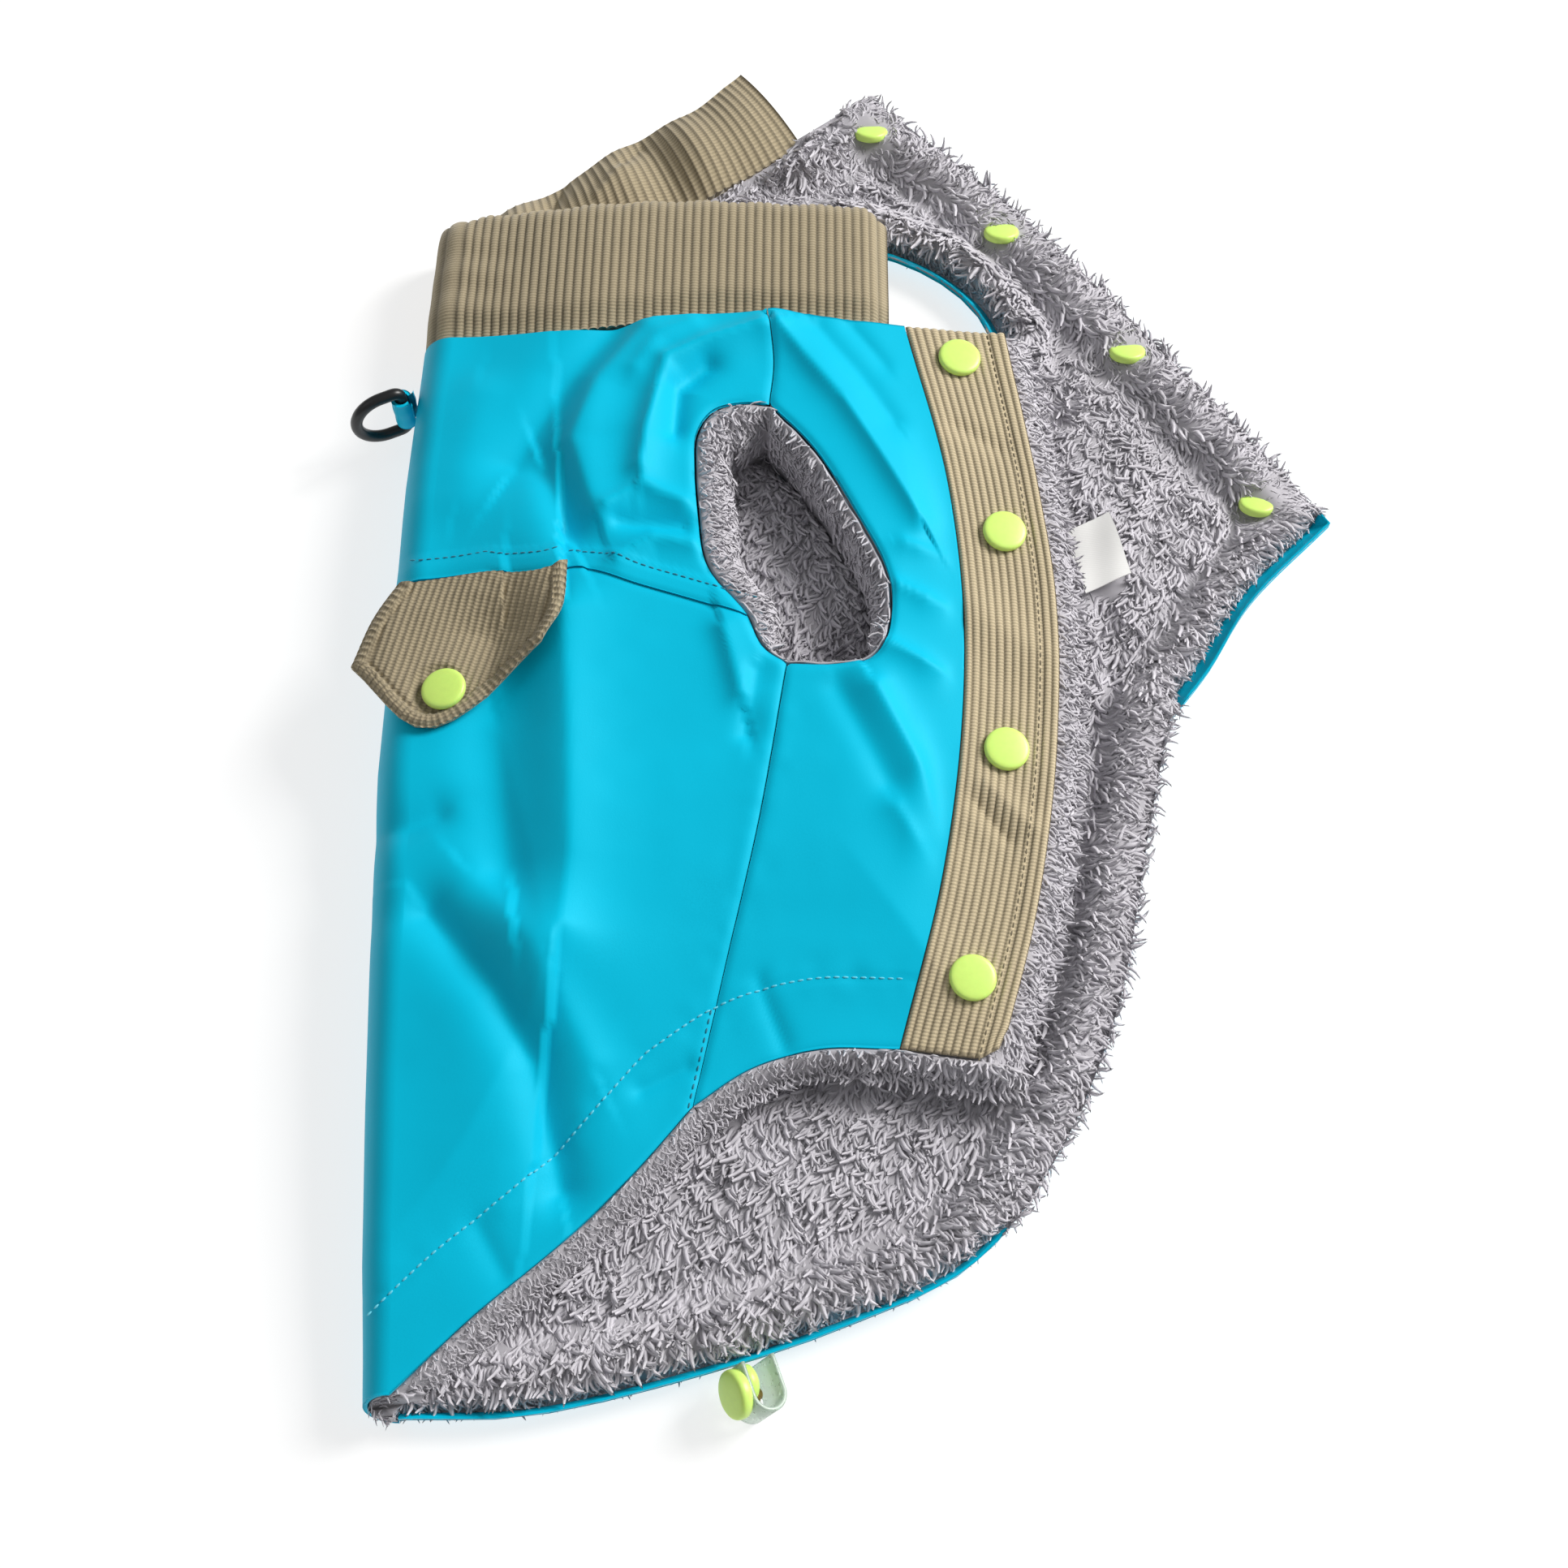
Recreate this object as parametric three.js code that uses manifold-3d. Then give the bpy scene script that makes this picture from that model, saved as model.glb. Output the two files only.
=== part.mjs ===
import * as THREE from 'three';
import { mergeVertices } from 'three/addons/utils/BufferGeometryUtils.js';
import Module from 'manifold-3d';

// A dog's winter coat, folded along its back and laid on a flat surface, in millimetres.
// The upper half lies with its softshell side up. The lower half is turned out to the
// right from under it and lies with its fur side up.
// X runs to the right across the coat, Y runs from the tail to the neck, Z is up.

const wasm = await Module();
wasm.setup();

// Driving sizes
const LAYOUT_SHIFT = { x: -19.69, y: -53.0 };
const SHELL_WALL = 1.5;
const SEAM_GAP = 0.3;
const PLACKET_WALL = 1.9;
const PLACKET_RELIEF = 2.9;
const ROLL_FLATNESS = 0.8;
const EDGE_FALL_WIDTH = 70;
const FOLD_FALL_WIDTH = 55;
const FUR_PRESSED = 10.6;
const UPPER_UNDERSIDE = 11.2;
const RIM_WIDTH = 7;
const RIM_RISE = 6;
const WALE_RELIEF = 0.35;
const COLLAR_TOP_Y = 220;
const COLLAR_DEPTH = 13;
const SNAP_RADIUS = 7.5;
const SNAP_HEIGHT = 3.1;
const FUR_SNAP_RADIUS = 6.6;
const FUR_POCKET_RADIUS = 7.8;
const RING_WIRE_RADIUS = 2.15;
const RING_HALF_HEIGHT = 10.85;
const RING_ARM = 7;
const RING_ANGLE_DEG = 204;
const RING_BAR_HEIGHT = 19;
const ROLL_COLUMNS = 6;
const TAB_HALF_WIDTH = 7;
const LABEL_WALL = 1;
const FUR_FRINGE = 6;
const FRONT_FRINGE = 8;
const FRINGE_WALL = 1.6;

// One row for each cross section of the folded half, from the collar down to the tail:
// where the fold lies, and the height at the fold, at the crown and at the free edge.
const SECTIONS = [
  { y: 222, foldX: -128.0, fold: 30, crown: 37, edge: 31 },
  { y: 172, foldX: -130.5, fold: 31, crown: 38, edge: 31 },
  { y: 110, foldX: -133.0, fold: 33, crown: 41, edge: 32 },
  { y: 60, foldX: -133.5, fold: 33, crown: 40, edge: 31 },
  { y: 0, foldX: -134.5, fold: 33, crown: 38, edge: 30 },
  { y: -60, foldX: -132.5, fold: 31, crown: 35, edge: 28 },
  { y: -110, foldX: -130.5, fold: 29, crown: 32, edge: 26 },
  { y: -160, foldX: -128.0, fold: 26, crown: 28, edge: 24 },
  { y: -206, foldX: -124.5, fold: 23, crown: 24, edge: 22 },
];

// The largest folds of the softshell: a soft ridge where rise is above zero, a trough
// where it is below, along a bent line from one end to the other.
const FOLDS = [
  { name: 'yoke trough', path: [[-61, 168], [-76, 144], [-92, 112]], width: 10, rise: -2.4 },
  { name: 'yoke ridge', path: [[-50, 167], [-65, 144], [-72, 119], [-64, 90]], width: 9, rise: 3 },
  {
    name: 'arch ridge',
    path: [[-8, 166], [-27, 158], [-40, 152], [-46, 122], [-48, 106]],
    width: 6.5,
    rise: 3.6,
  },
  { name: 'arch trough', path: [[-31, 149], [-40, 132]], width: 5, rise: -2.2 },
  { name: 'upper pucker', path: [[-52, 98], [-33, 91]], width: 4.5, rise: 2 },
  { name: 'middle pucker', path: [[-50, 87], [-33, 84]], width: 4, rise: -1.6 },
  { name: 'lower pucker', path: [[-48, 75], [-32, 78]], width: 4.5, rise: 2 },
  { name: 'yoke hollow', path: [[-80, 107], [-72, 84]], width: 10, rise: -3 },
  { name: 'shoulder ridge', path: [[-3, 164], [26, 128], [46, 90]], width: 7, rise: 2.6 },
  { name: 'belly ridge', path: [[30, 14], [42, -6], [48, -28]], width: 7, rise: 2.6 },
  { name: 'corner ridge', path: [[38, 38], [50, 34]], width: 5, rise: 2.2 },
  { name: 'upper corner ridge', path: [[40, 64], [50, 57]], width: 5, rise: 1.8 },
  { name: 'long trough', path: [[-62, 50], [-62, 9], [-60, -34], [-62, -70]], width: 12, rise: -2.6 },
  { name: 'long ridge', path: [[-88, 16], [-84, -34]], width: 12, rise: 1.8 },
  { name: 'tail trough', path: [[-113, -52], [-90, -78], [-77, -101], [-69, -136]], width: 9, rise: -3.4 },
  { name: 'tail ridge', path: [[-100, -44], [-78, -68], [-62, -96]], width: 9, rise: 2 },
  { name: 'back dent', path: [[-124, -24], [-112, -20]], width: 7, rise: -2.4 },
  { name: 'seam dent', path: [[-14, 26], [-16, 8]], width: 7, rise: -2 },
];

// Edges and seams of the upper half
const NECK_YOKE = [[-117.5, 167.5], [-76, 167], [-33, 172], [-6, 173]];
const NECK_FRONT = [[-6, 173], [18, 171], [43, 170]];
const PLACKET_LEFT = [[43, 170], [56, 106], [60, 58], [58, 10], [50, -42], [36, -95]];
const PLACKET_RIGHT = [[79, 170], [88, 105], [92, 62], [90, 10], [81, -48], [67, -99]];
const SHOULDER = [[-6, 173], [-3.5, 152], [-5, 134]];
const ARMHOLE_BACK = [
  [-5, 134], [-14, 134.5], [-24, 131.5], [-30, 122], [-30.5, 108], [-29, 88], [-26, 70], [-12, 50],
];
const ARMHOLE_FOOT = [[-12, 50], [-7, 39], [1, 33]];
const ARMHOLE_FRONT = [
  [-5, 134], [10, 116], [24, 91], [34, 70], [36, 56], [33, 40], [27, 34], [15, 32.5], [1, 33],
];
const SIDE_SEAM = [[1, 33], [-8, -22], [-19, -72], [-28, -113]];
const YOKE_SEAM = [[-100, 68], [-71, 69], [-50, 62], [-30, 56], [-12, 50]];
const HEM_BACK = [[-113.5, -199], [-93, -177], [-65, -153], [-45, -133], [-28, -113]];
const HEM_CHEST = [[-28, -113], [-10, -101], [11, -95], [36, -95]];
const ARMHOLE_SPINE = [[-12, 110], [8, 58]];

// Edges and seams of the lower half
const LOWER_NECK_YOKE = [[-116, 206], [-100, 224], [-70, 242], [-22, 256]];
const LOWER_NECK_FRONT = [[-22, 256], [5, 276], [33, 297]];
const LOWER_FRONT = [[33, 297], [88, 242], [144, 172], [194, 104]];
const LOWER_BELLY_HEM = [[131, 26], [146, 45], [163, 72], [194, 104]];
const LOWER_HEM = [
  [-113.5, -204], [-77, -203], [-28, -192], [18, -177], [58, -158],
  [85, -125], [107, -77], [122, -12], [131, 26],
];
const LOWER_ARMHOLE = { x: 23, y: 184, long: 56, short: 40, tiltDeg: -18 };
const LOWER_ARMHOLE_SHOULDER_DEG = 140;
const LOWER_ARMHOLE_YOKE_DEG = 215;
const LOWER_ARMHOLE_SIDE_DEG = 342;
const LOWER_YOKE_SEAM_Y = 70;

// Height of the fur above the surface, by its distance from the free edge
const FUR_PROFILE = [
  { from: 0, height: 8.6 },
  { from: 4, height: 12.6 },
  { from: 12, height: 14 },
  { from: 23, height: 9.6 },
  { from: 32, height: 11.4 },
  { from: 70, height: 12.2 },
];

// Soft hollows and ridges of the fur field
const FUR_FOLDS = [
  { name: 'upper hollow', path: [[80, 199], [99, 167], [95, 132]], width: 10, rise: -1.8 },
  { name: 'front swell', path: [[60, 240], [104, 196], [140, 150]], width: 12, rise: 1.2 },
  { name: 'label hollow', path: [[109, 85], [121, 44]], width: 9, rise: -1.8 },
  { name: 'tail hollow', path: [[-40, -160], [20, -150], [70, -100]], width: 9, rise: -1.2 },
];

const PLACKET_SNAPS = [[62, 156.5], [75, 85.5], [72.5, 4.5], [59, -73]];
const FUR_SNAPS = [[33.5, 277], [82, 229], [126, 175], [168.5, 111]];
const FLAP_OUTLINE = {
  top: [[-129, 63], [-99, 66.3], [-72, 67.3]],
  left: [[-129, 63], [-137, 50], [-143, 33]],
  bottom: [[-143, 33], [-117, 10], [-79, 36]],
  right: [[-72, 67.3], [-73, 50], [-79, 36]],
};
const FLAP_SNAP = [-111, 23];
const LABEL_CORNERS = { left: [98.5, 98], top: [114.5, 105], right: [121, 81], bottom: [105, 74] };

const COLOURS = {
  softshell: '#0fb4d4',
  corduroy: '#9c8f74',
  fur: '#98959a',
  lime: '#c2f53e',
  ring: '#1b1c1d',
  label: '#f1f1ee',
  strap: '#b9cdbf',
  brass: '#b7925a',
};

const coat = new THREE.Group();
const placed = new THREE.Group();
placed.position.set(LAYOUT_SHIFT.x, LAYOUT_SHIFT.y, 0);
coat.add(placed);

// Helpers for curves and distances

const vec = ([x, y]) => new THREE.Vector3(x, y, 0);
const clamp01 = (t) => Math.min(1, Math.max(0, t));
const smooth = (t) => clamp01(t) ** 2 * (3 - 2 * clamp01(t));
const range = (count) => Array.from({ length: count + 1 }, (_, i) => i / count);

function curvePoints(points, fractions) {
  const curve = points.length > 2
    ? new THREE.CatmullRomCurve3(points.map(vec), false, 'centripetal')
    : new THREE.LineCurve3(vec(points[0]), vec(points[1]));
  return fractions.map((t) => {
    const p = curve.getPointAt(t);
    return [p.x, p.y];
  });
}

function join(...lines) {
  return lines.reduce((all, line) => all.concat(line.slice(1)), [lines[0][0]]);
}

function lengthFractions(line) {
  const sums = [0];
  for (let i = 1; i < line.length; i += 1) {
    sums.push(sums[i - 1] + Math.hypot(line[i][0] - line[i - 1][0], line[i][1] - line[i - 1][1]));
  }
  return sums.map((s) => s / sums[sums.length - 1]);
}

function nearestOn(line, x, y) {
  let best = { distance: Infinity, x: 0, y: 0 };
  for (let i = 1; i < line.length; i += 1) {
    const [ax, ay] = line[i - 1];
    const dx = line[i][0] - ax;
    const dy = line[i][1] - ay;
    const t = clamp01(((x - ax) * dx + (y - ay) * dy) / (dx * dx + dy * dy));
    const px = ax + t * dx;
    const py = ay + t * dy;
    const distance = Math.hypot(x - px, y - py);
    if (distance < best.distance) best = { distance, x: px, y: py };
  }
  return best;
}

function inside(polygon, x, y) {
  let odd = false;
  for (let i = 0, j = polygon.length - 1; i < polygon.length; j = i, i += 1) {
    const [xi, yi] = polygon[i];
    const [xj, yj] = polygon[j];
    if (yi > y !== yj > y && x < ((xj - xi) * (y - yi)) / (yj - yi) + xi) odd = !odd;
  }
  return odd;
}

// The folded half's own heights

function sectionAt(y) {
  const last = SECTIONS.length - 1;
  const row = SECTIONS.findIndex((s) => s.y <= y);
  const low = row <= 0 ? (row === 0 ? 1 : last) : row;
  const a = SECTIONS[low - 1];
  const b = SECTIONS[low];
  const t = clamp01((a.y - y) / (a.y - b.y));
  const mix = (key) => a[key] + (b[key] - a[key]) * smooth(t);
  const linear = (key) => a[key] + (b[key] - a[key]) * t;
  const fold = mix('fold');
  const roll = (ROLL_FLATNESS * fold) / 2;
  return { foldX: linear('foldX'), fold, crown: mix('crown'), edge: mix('edge'), roll };
}

const placketLeftLine = curvePoints(PLACKET_LEFT, range(24));
const freeFrontLine = join(
  curvePoints(PLACKET_RIGHT, range(24)),
  [[67, -99], [36, -95]],
  curvePoints(HEM_CHEST, range(12)).reverse(),
  curvePoints(HEM_BACK, range(16)).reverse(),
);

function foldRelief(folds, x, y) {
  let rise = 0;
  for (const fold of folds) {
    const { distance } = nearestOn(fold.path, x, y);
    rise += fold.rise * Math.exp(-((distance / fold.width) ** 2));
  }
  return rise;
}

function upperHeight(x, y) {
  const s = sectionAt(y);
  const fromEdge = nearestOn(freeFrontLine, x, y).distance;
  const fromFold = Math.max(0, x - s.foldX - s.roll);
  const edgeFall = (s.crown - s.edge) * (1 - smooth(fromEdge / EDGE_FALL_WIDTH));
  const foldFall = (s.crown - s.fold) * (1 - smooth(fromFold / FOLD_FALL_WIDTH));
  const onPlacket = nearestOn(placketLeftLine, x, y);
  const pastPlacket = x > onPlacket.x && y > -100;
  const calm = pastPlacket ? 0 : smooth(onPlacket.distance / 9);
  return s.crown - Math.max(edgeFall, foldFall) + calm * foldRelief(FOLDS, x, y);
}

// Meshes from grids: a grid is a list of rows of points

function coonsPatch(top, bottom, left, right) {
  const rows = left.length - 1;
  const cols = top.length - 1;
  const across = lengthFractions(top);
  const down = lengthFractions(left);
  const acrossLow = lengthFractions(bottom);
  const downRight = lengthFractions(right);
  const corner = (a, b, c, d, u, v) => (1 - u) * (1 - v) * a + u * (1 - v) * b + (1 - u) * v * c + u * v * d;
  return Array.from({ length: rows + 1 }, (_, j) => Array.from({ length: cols + 1 }, (_, i) => {
    const v0 = down[j] + (downRight[j] - down[j]) * across[i];
    const u0 = across[i] + (acrossLow[i] - across[i]) * v0;
    return [0, 1].map((k) => (1 - v0) * top[i][k] + v0 * bottom[i][k]
      + (1 - u0) * left[j][k] + u0 * right[j][k]
      - corner(top[0][k], top[cols][k], bottom[0][k], bottom[cols][k], u0, v0));
  }));
}

// Pulls the outermost points of a flat grid inwards, so that sewn pieces stay just apart
function inset(grid, gap = SEAM_GAP / 2) {
  const rows = grid.length - 1;
  const cols = grid[0].length - 1;
  const copy = grid.map((row) => row.map((p) => [...p]));
  const pull = (j, i, jn, iN) => {
    const dx = grid[jn][iN][0] - grid[j][i][0];
    const dy = grid[jn][iN][1] - grid[j][i][1];
    const size = Math.hypot(dx, dy);
    copy[j][i][0] += (gap * dx) / size;
    copy[j][i][1] += (gap * dy) / size;
  };
  for (let i = 0; i <= cols; i += 1) {
    pull(0, i, 1, i);
    pull(rows, i, rows - 1, i);
  }
  for (let j = 0; j <= rows; j += 1) {
    pull(j, 0, j, 1);
    pull(j, cols, j, cols - 1);
  }
  return copy;
}

function gridNormals(grid) {
  const rows = grid.length - 1;
  const cols = grid[0].length - 1;
  return grid.map((row, j) => row.map((_, i) => {
    const across = grid[j][Math.min(cols, i + 1)].clone().sub(grid[j][Math.max(0, i - 1)]);
    const down = grid[Math.max(0, j - 1)][i].clone().sub(grid[Math.min(rows, j + 1)][i]);
    return across.cross(down).normalize();
  }));
}

function offsetGrid(grid, depth) {
  const normals = gridNormals(grid);
  return grid.map((row, j) => row.map((p, i) => p.clone().addScaledVector(normals[j][i], -depth)));
}

function lift(flatGrid, height) {
  return flatGrid.map((row) => row.map(([x, y]) => new THREE.Vector3(x, y, height(x, y))));
}

function geometryFrom(faces) {
  const keys = new Map();
  const positions = [];
  const index = [];
  const idOf = (p) => {
    const key = `${p.x.toFixed(4)},${p.y.toFixed(4)},${p.z.toFixed(4)}`;
    if (!keys.has(key)) {
      keys.set(key, positions.length / 3);
      positions.push(p.x, p.y, p.z);
    }
    return keys.get(key);
  };
  for (const face of faces) {
    const [a, b, c] = face.map(idOf);
    if (a !== b && b !== c && a !== c) index.push(a, b, c);
  }
  const geometry = new THREE.BufferGeometry();
  geometry.setAttribute('position', new THREE.Float32BufferAttribute(positions, 3));
  geometry.setIndex(signedVolume(positions, index) < 0 ? index.reverse() : index);
  return geometry;
}

function signedVolume(positions, index) {
  const corner = (i) => new THREE.Vector3().fromArray(positions, index[i] * 3);
  let volume = 0;
  for (let i = 0; i < index.length; i += 3) {
    volume += corner(i).dot(corner(i + 1).cross(corner(i + 2))) / 6;
  }
  return volume;
}

function quads(grid, flip) {
  const faces = [];
  for (let j = 0; j < grid.length - 1; j += 1) {
    for (let i = 0; i < grid[0].length - 1; i += 1) {
      const [a, b, c, d] = [grid[j][i], grid[j][i + 1], grid[j + 1][i + 1], grid[j + 1][i]];
      faces.push(flip ? [a, b, c] : [a, c, b], flip ? [a, c, d] : [a, d, c]);
    }
  }
  return faces;
}

// A strip of triangles between two lines of points, which may differ in number
function strip(upperLine, lowerLine, flip) {
  const faces = [];
  const a = lineFractions(upperLine);
  const b = lineFractions(lowerLine);
  let i = 0;
  let j = 0;
  while (i < a.length - 1 || j < b.length - 1) {
    const stepUpper = j === b.length - 1 || (i < a.length - 1 && a[i + 1] <= b[j + 1]);
    const third = stepUpper ? upperLine[i + 1] : lowerLine[j + 1];
    const face = [upperLine[i], lowerLine[j], third];
    faces.push(flip ? [face[0], face[2], face[1]] : face);
    if (stepUpper) i += 1;
    else j += 1;
  }
  return faces;
}

function lineFractions(line) {
  const sums = [0];
  for (let i = 1; i < line.length; i += 1) sums.push(sums[i - 1] + line[i].distanceTo(line[i - 1]));
  return sums.map((sum) => sum / sums[sums.length - 1]);
}

// The closed wall between an outer and an inner grid. The inner one may be coarser.
function slab(outer, inner) {
  const end = (grid) => grid.length - 1;
  const column = (grid, i) => grid.map((row) => row[i]);
  return geometryFrom([
    ...quads(outer, false),
    ...quads(inner, true),
    ...strip(outer[0], inner[0], true),
    ...strip(outer[end(outer)], inner[end(inner)], false),
    ...strip(column(outer, 0), column(inner, 0), false),
    ...strip(column(outer, end(outer[0])), column(inner, end(inner[0])), true),
  ]);
}

function pick(grid, rows, cols) {
  return rows.map((j) => cols.map((i) => grid[j][i]));
}

function everyIndex(list) {
  return list.map((_, i) => i);
}

// Adds rows or columns of points beyond one side of a lifted grid
function extend(grid, side, steps, direction, weight = () => 1) {
  const moved = (p, step, w) => {
    const [dx, dy] = direction(p.x, p.y);
    const z = Math.max(p.z - step.drop * w, UPPER_UNDERSIDE + FRINGE_WALL);
    return new THREE.Vector3(p.x + step.out * w * dx, p.y + step.out * w * dy, z);
  };
  if (side === 'bottom') {
    const edge = grid[grid.length - 1];
    return [...grid, ...steps.map((step) => edge.map((p, i) => moved(p, step, weight(i))))];
  }
  return grid.map((row) => [...row, ...steps.map((step) => moved(row[row.length - 1], step, 1))]);
}

// Sets out a layer at some depth below the softshell's outer face, with the columns of
// the roll at the fold to the left of it
function rolledLayer(flat, depth) {
  return lift(flat, upperHeight).map((row) => {
    const start = row[0];
    const s = sectionAt(start.y);
    const half = start.z / 2;
    const roll = [];
    for (let k = ROLL_COLUMNS; k > 0; k -= 1) {
      const turn = (k / ROLL_COLUMNS) * Math.PI;
      const x = start.x - (s.roll - depth) * Math.sin(turn);
      roll.push(new THREE.Vector3(x, start.y, half + (half - depth) * Math.cos(turn)));
    }
    return [...roll, ...lowered(row, depth)];
  });
}

function lowered(row, depth) {
  return row.map((p) => new THREE.Vector3(p.x, p.y, p.z - depth));
}

// The filled side of a rolled upper piece: straight up beside the lower half to a corner,
// then level over it
function rolledUnderside(outer, rollColumns, step = 3) {
  const corner = Math.ceil(rollColumns / 2);
  const levelRun = 8;
  const whole = outer.map((row) => {
    const start = row[0];
    const foot = row[rollColumns].x - 0.1;
    return row.map((p, i) => {
      if (i > rollColumns) return new THREE.Vector3(p.x, p.y, UPPER_UNDERSIDE);
      const rise = Math.min(1, i / corner);
      const run = Math.max(0, (i - corner) / (rollColumns - corner));
      return new THREE.Vector3(foot + levelRun * run, p.y, start.z + (UPPER_UNDERSIDE - start.z) * rise);
    });
  });
  const last = outer[0].length - 1;
  const onStep = (i) => i > rollColumns && (i - rollColumns) % step === 0;
  const level = everyIndex(outer[0]).filter((i) => i === last || onStep(i));
  return pick(whole, everyIndex(outer), [0, corner, rollColumns, ...level]);
}

function levelUnderside(outer) {
  const whole = outer.map((row) => row.map((p) => new THREE.Vector3(p.x, p.y, UPPER_UNDERSIDE)));
  const last = outer[0].length - 1;
  return pick(whole, everyIndex(outer), everyIndex(outer[0]).filter((i) => i === last || i % 3 === 0));
}

function addPiece(name, geometry, colour, finish = {}) {
  const plain = { color: colour, roughness: 0.85, metalness: 0 };
  const material = new THREE.MeshStandardMaterial({ ...plain, ...finish });
  const mesh = new THREE.Mesh(geometry, material);
  mesh.name = name;
  placed.add(mesh);
  return mesh;
}

// Panels of the upper half

const shoulderLine = curvePoints(SHOULDER, range(3));
const armholeBackLine = curvePoints(ARMHOLE_BACK, range(8));
const armholeFootLine = curvePoints(ARMHOLE_FOOT, range(2));
const armholeFrontLine = curvePoints(ARMHOLE_FRONT, range(12));
const sideSeamLine = curvePoints(SIDE_SEAM, range(11));

function foldEdge(fromY, toY, fractions) {
  return fractions.map((t) => {
    const y = fromY + (toY - fromY) * t;
    const s = sectionAt(y);
    return [s.foldX + s.roll, y];
  });
}

// Where the rows of the chest meet the placket: level with the armhole, then fanned out
// below it, so that no two rows cross
function chestFrontEdge(chestLeft) {
  const dense = curvePoints(PLACKET_LEFT, range(200));
  const fanStep = 8;
  const footRow = chestLeft.length - sideSeamLine.length;
  const heights = [];
  chestLeft.forEach(([, y], j) => {
    if (j === 0) heights.push(dense[0][1]);
    else if (j <= footRow) heights.push(Math.min(y, heights[j - 1] - fanStep));
  });
  const footY = heights[footRow];
  const lowY = dense[dense.length - 1][1];
  const down = lengthFractions(sideSeamLine);
  for (let k = 1; k < down.length; k += 1) heights.push(footY + (lowY - footY) * down[k]);
  const nearer = (y) => (best, p) => (Math.abs(p[1] - y) < Math.abs(best[1] - y) ? p : best);
  return heights.map((y) => dense.reduce(nearer(y)));
}

function upperPanels() {
  const yokeRight = join(shoulderLine, armholeBackLine);
  const yokeLeft = foldEdge(167.5, 66, lengthFractions(yokeRight).map((t) => t ** 1.1));
  const yokeCols = range(12);
  const yokeTop = curvePoints([yokeLeft[0], ...NECK_YOKE.slice(1)], yokeCols);
  const yokeFoot = curvePoints([yokeLeft[yokeLeft.length - 1], ...YOKE_SEAM], yokeCols);
  const backRight = join(armholeFootLine, sideSeamLine);
  const backLeft = foldEdge(66, -199, lengthFractions(backRight));
  const backTop = curvePoints([backLeft[0], ...YOKE_SEAM], yokeCols);
  const backFoot = curvePoints([backLeft[backLeft.length - 1], ...HEM_BACK.slice(1)], yokeCols);
  const chestLeft = join(shoulderLine, armholeFrontLine, sideSeamLine);
  const chestCols = range(7);
  return {
    yoke: inset(coonsPatch(yokeTop, yokeFoot, yokeLeft, yokeRight)),
    back: inset(coonsPatch(backTop, backFoot, backLeft, backRight)),
    chest: inset(coonsPatch(
      curvePoints(NECK_FRONT, chestCols),
      curvePoints(HEM_CHEST, chestCols),
      chestLeft,
      chestFrontEdge(chestLeft),
    )),
  };
}

function hemDirection(x) {
  const turn = smooth((30 - x) / 80);
  const dx = 0.1 + 0.62 * turn;
  return [dx, -Math.sqrt(1 - dx * dx)];
}

function buildUpperHalf() {
  const flat = upperPanels();
  const yoke = rolledLayer(flat.yoke, 0);
  const back = rolledLayer(flat.back, 0);
  const chest = lift(flat.chest, upperHeight);
  const chestAt = (depth) => chest.map((row) => lowered(row, depth));
  addPiece('yoke_top', slab(yoke, rolledLayer(flat.yoke, SHELL_WALL)), COLOURS.softshell);
  addPiece('back_top', slab(back, rolledLayer(flat.back, SHELL_WALL)), COLOURS.softshell);
  addPiece('chest_top', slab(chest, chestAt(SHELL_WALL)), COLOURS.softshell);

  const under = SHELL_WALL + SEAM_GAP;
  const fringe = [{ out: FUR_FRINGE / 2, drop: 1.5 }, { out: FUR_FRINGE, drop: 6 }];
  const furLayer = (grid) => rolledLayer(grid, under).map((row) => row.slice(1));
  const yokeFur = furLayer(flat.yoke);
  addPiece('yoke_lining_top', slab(yokeFur, rolledUnderside(yokeFur, ROLL_COLUMNS - 1)), COLOURS.fur);

  const rollWeight = (i) => clamp01((i - ROLL_COLUMNS) / 2);
  const backFur = extend(furLayer(flat.back), 'bottom', fringe, hemDirection, rollWeight);
  addPiece('back_lining_top', slab(backFur, rolledUnderside(backFur, ROLL_COLUMNS - 1)), COLOURS.fur);

  const rightLine = curvePoints(PLACKET_RIGHT, lengthFractions(flat.chest.map((row) => row[row.length - 1])));
  const plain = chestAt(under).map((row, j) => {
    const edge = row[row.length - 1];
    edge.z -= SEAM_GAP * 1.5;
    const [rx, ry] = rightLine[j];
    const below = (x, y) => new THREE.Vector3(x, y, upperHeight(x, y) - PLACKET_RELIEF);
    return [...row, below((edge.x + rx) / 2, (edge.y + ry) / 2), below(rx - 0.5, ry)];
  });
  const frontFringe = [{ out: FRONT_FRINGE / 2, drop: 2.5 }, { out: FRONT_FRINGE, drop: 9 }];
  const wide = extend(plain, 'right', frontFringe, () => [1, 0]);
  const chestFur = extend(wide, 'bottom', fringe, hemDirection);
  addPiece('chest_lining_top', slab(chestFur, levelUnderside(chestFur)), COLOURS.fur);
  return { yoke, back, chest };
}

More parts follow.
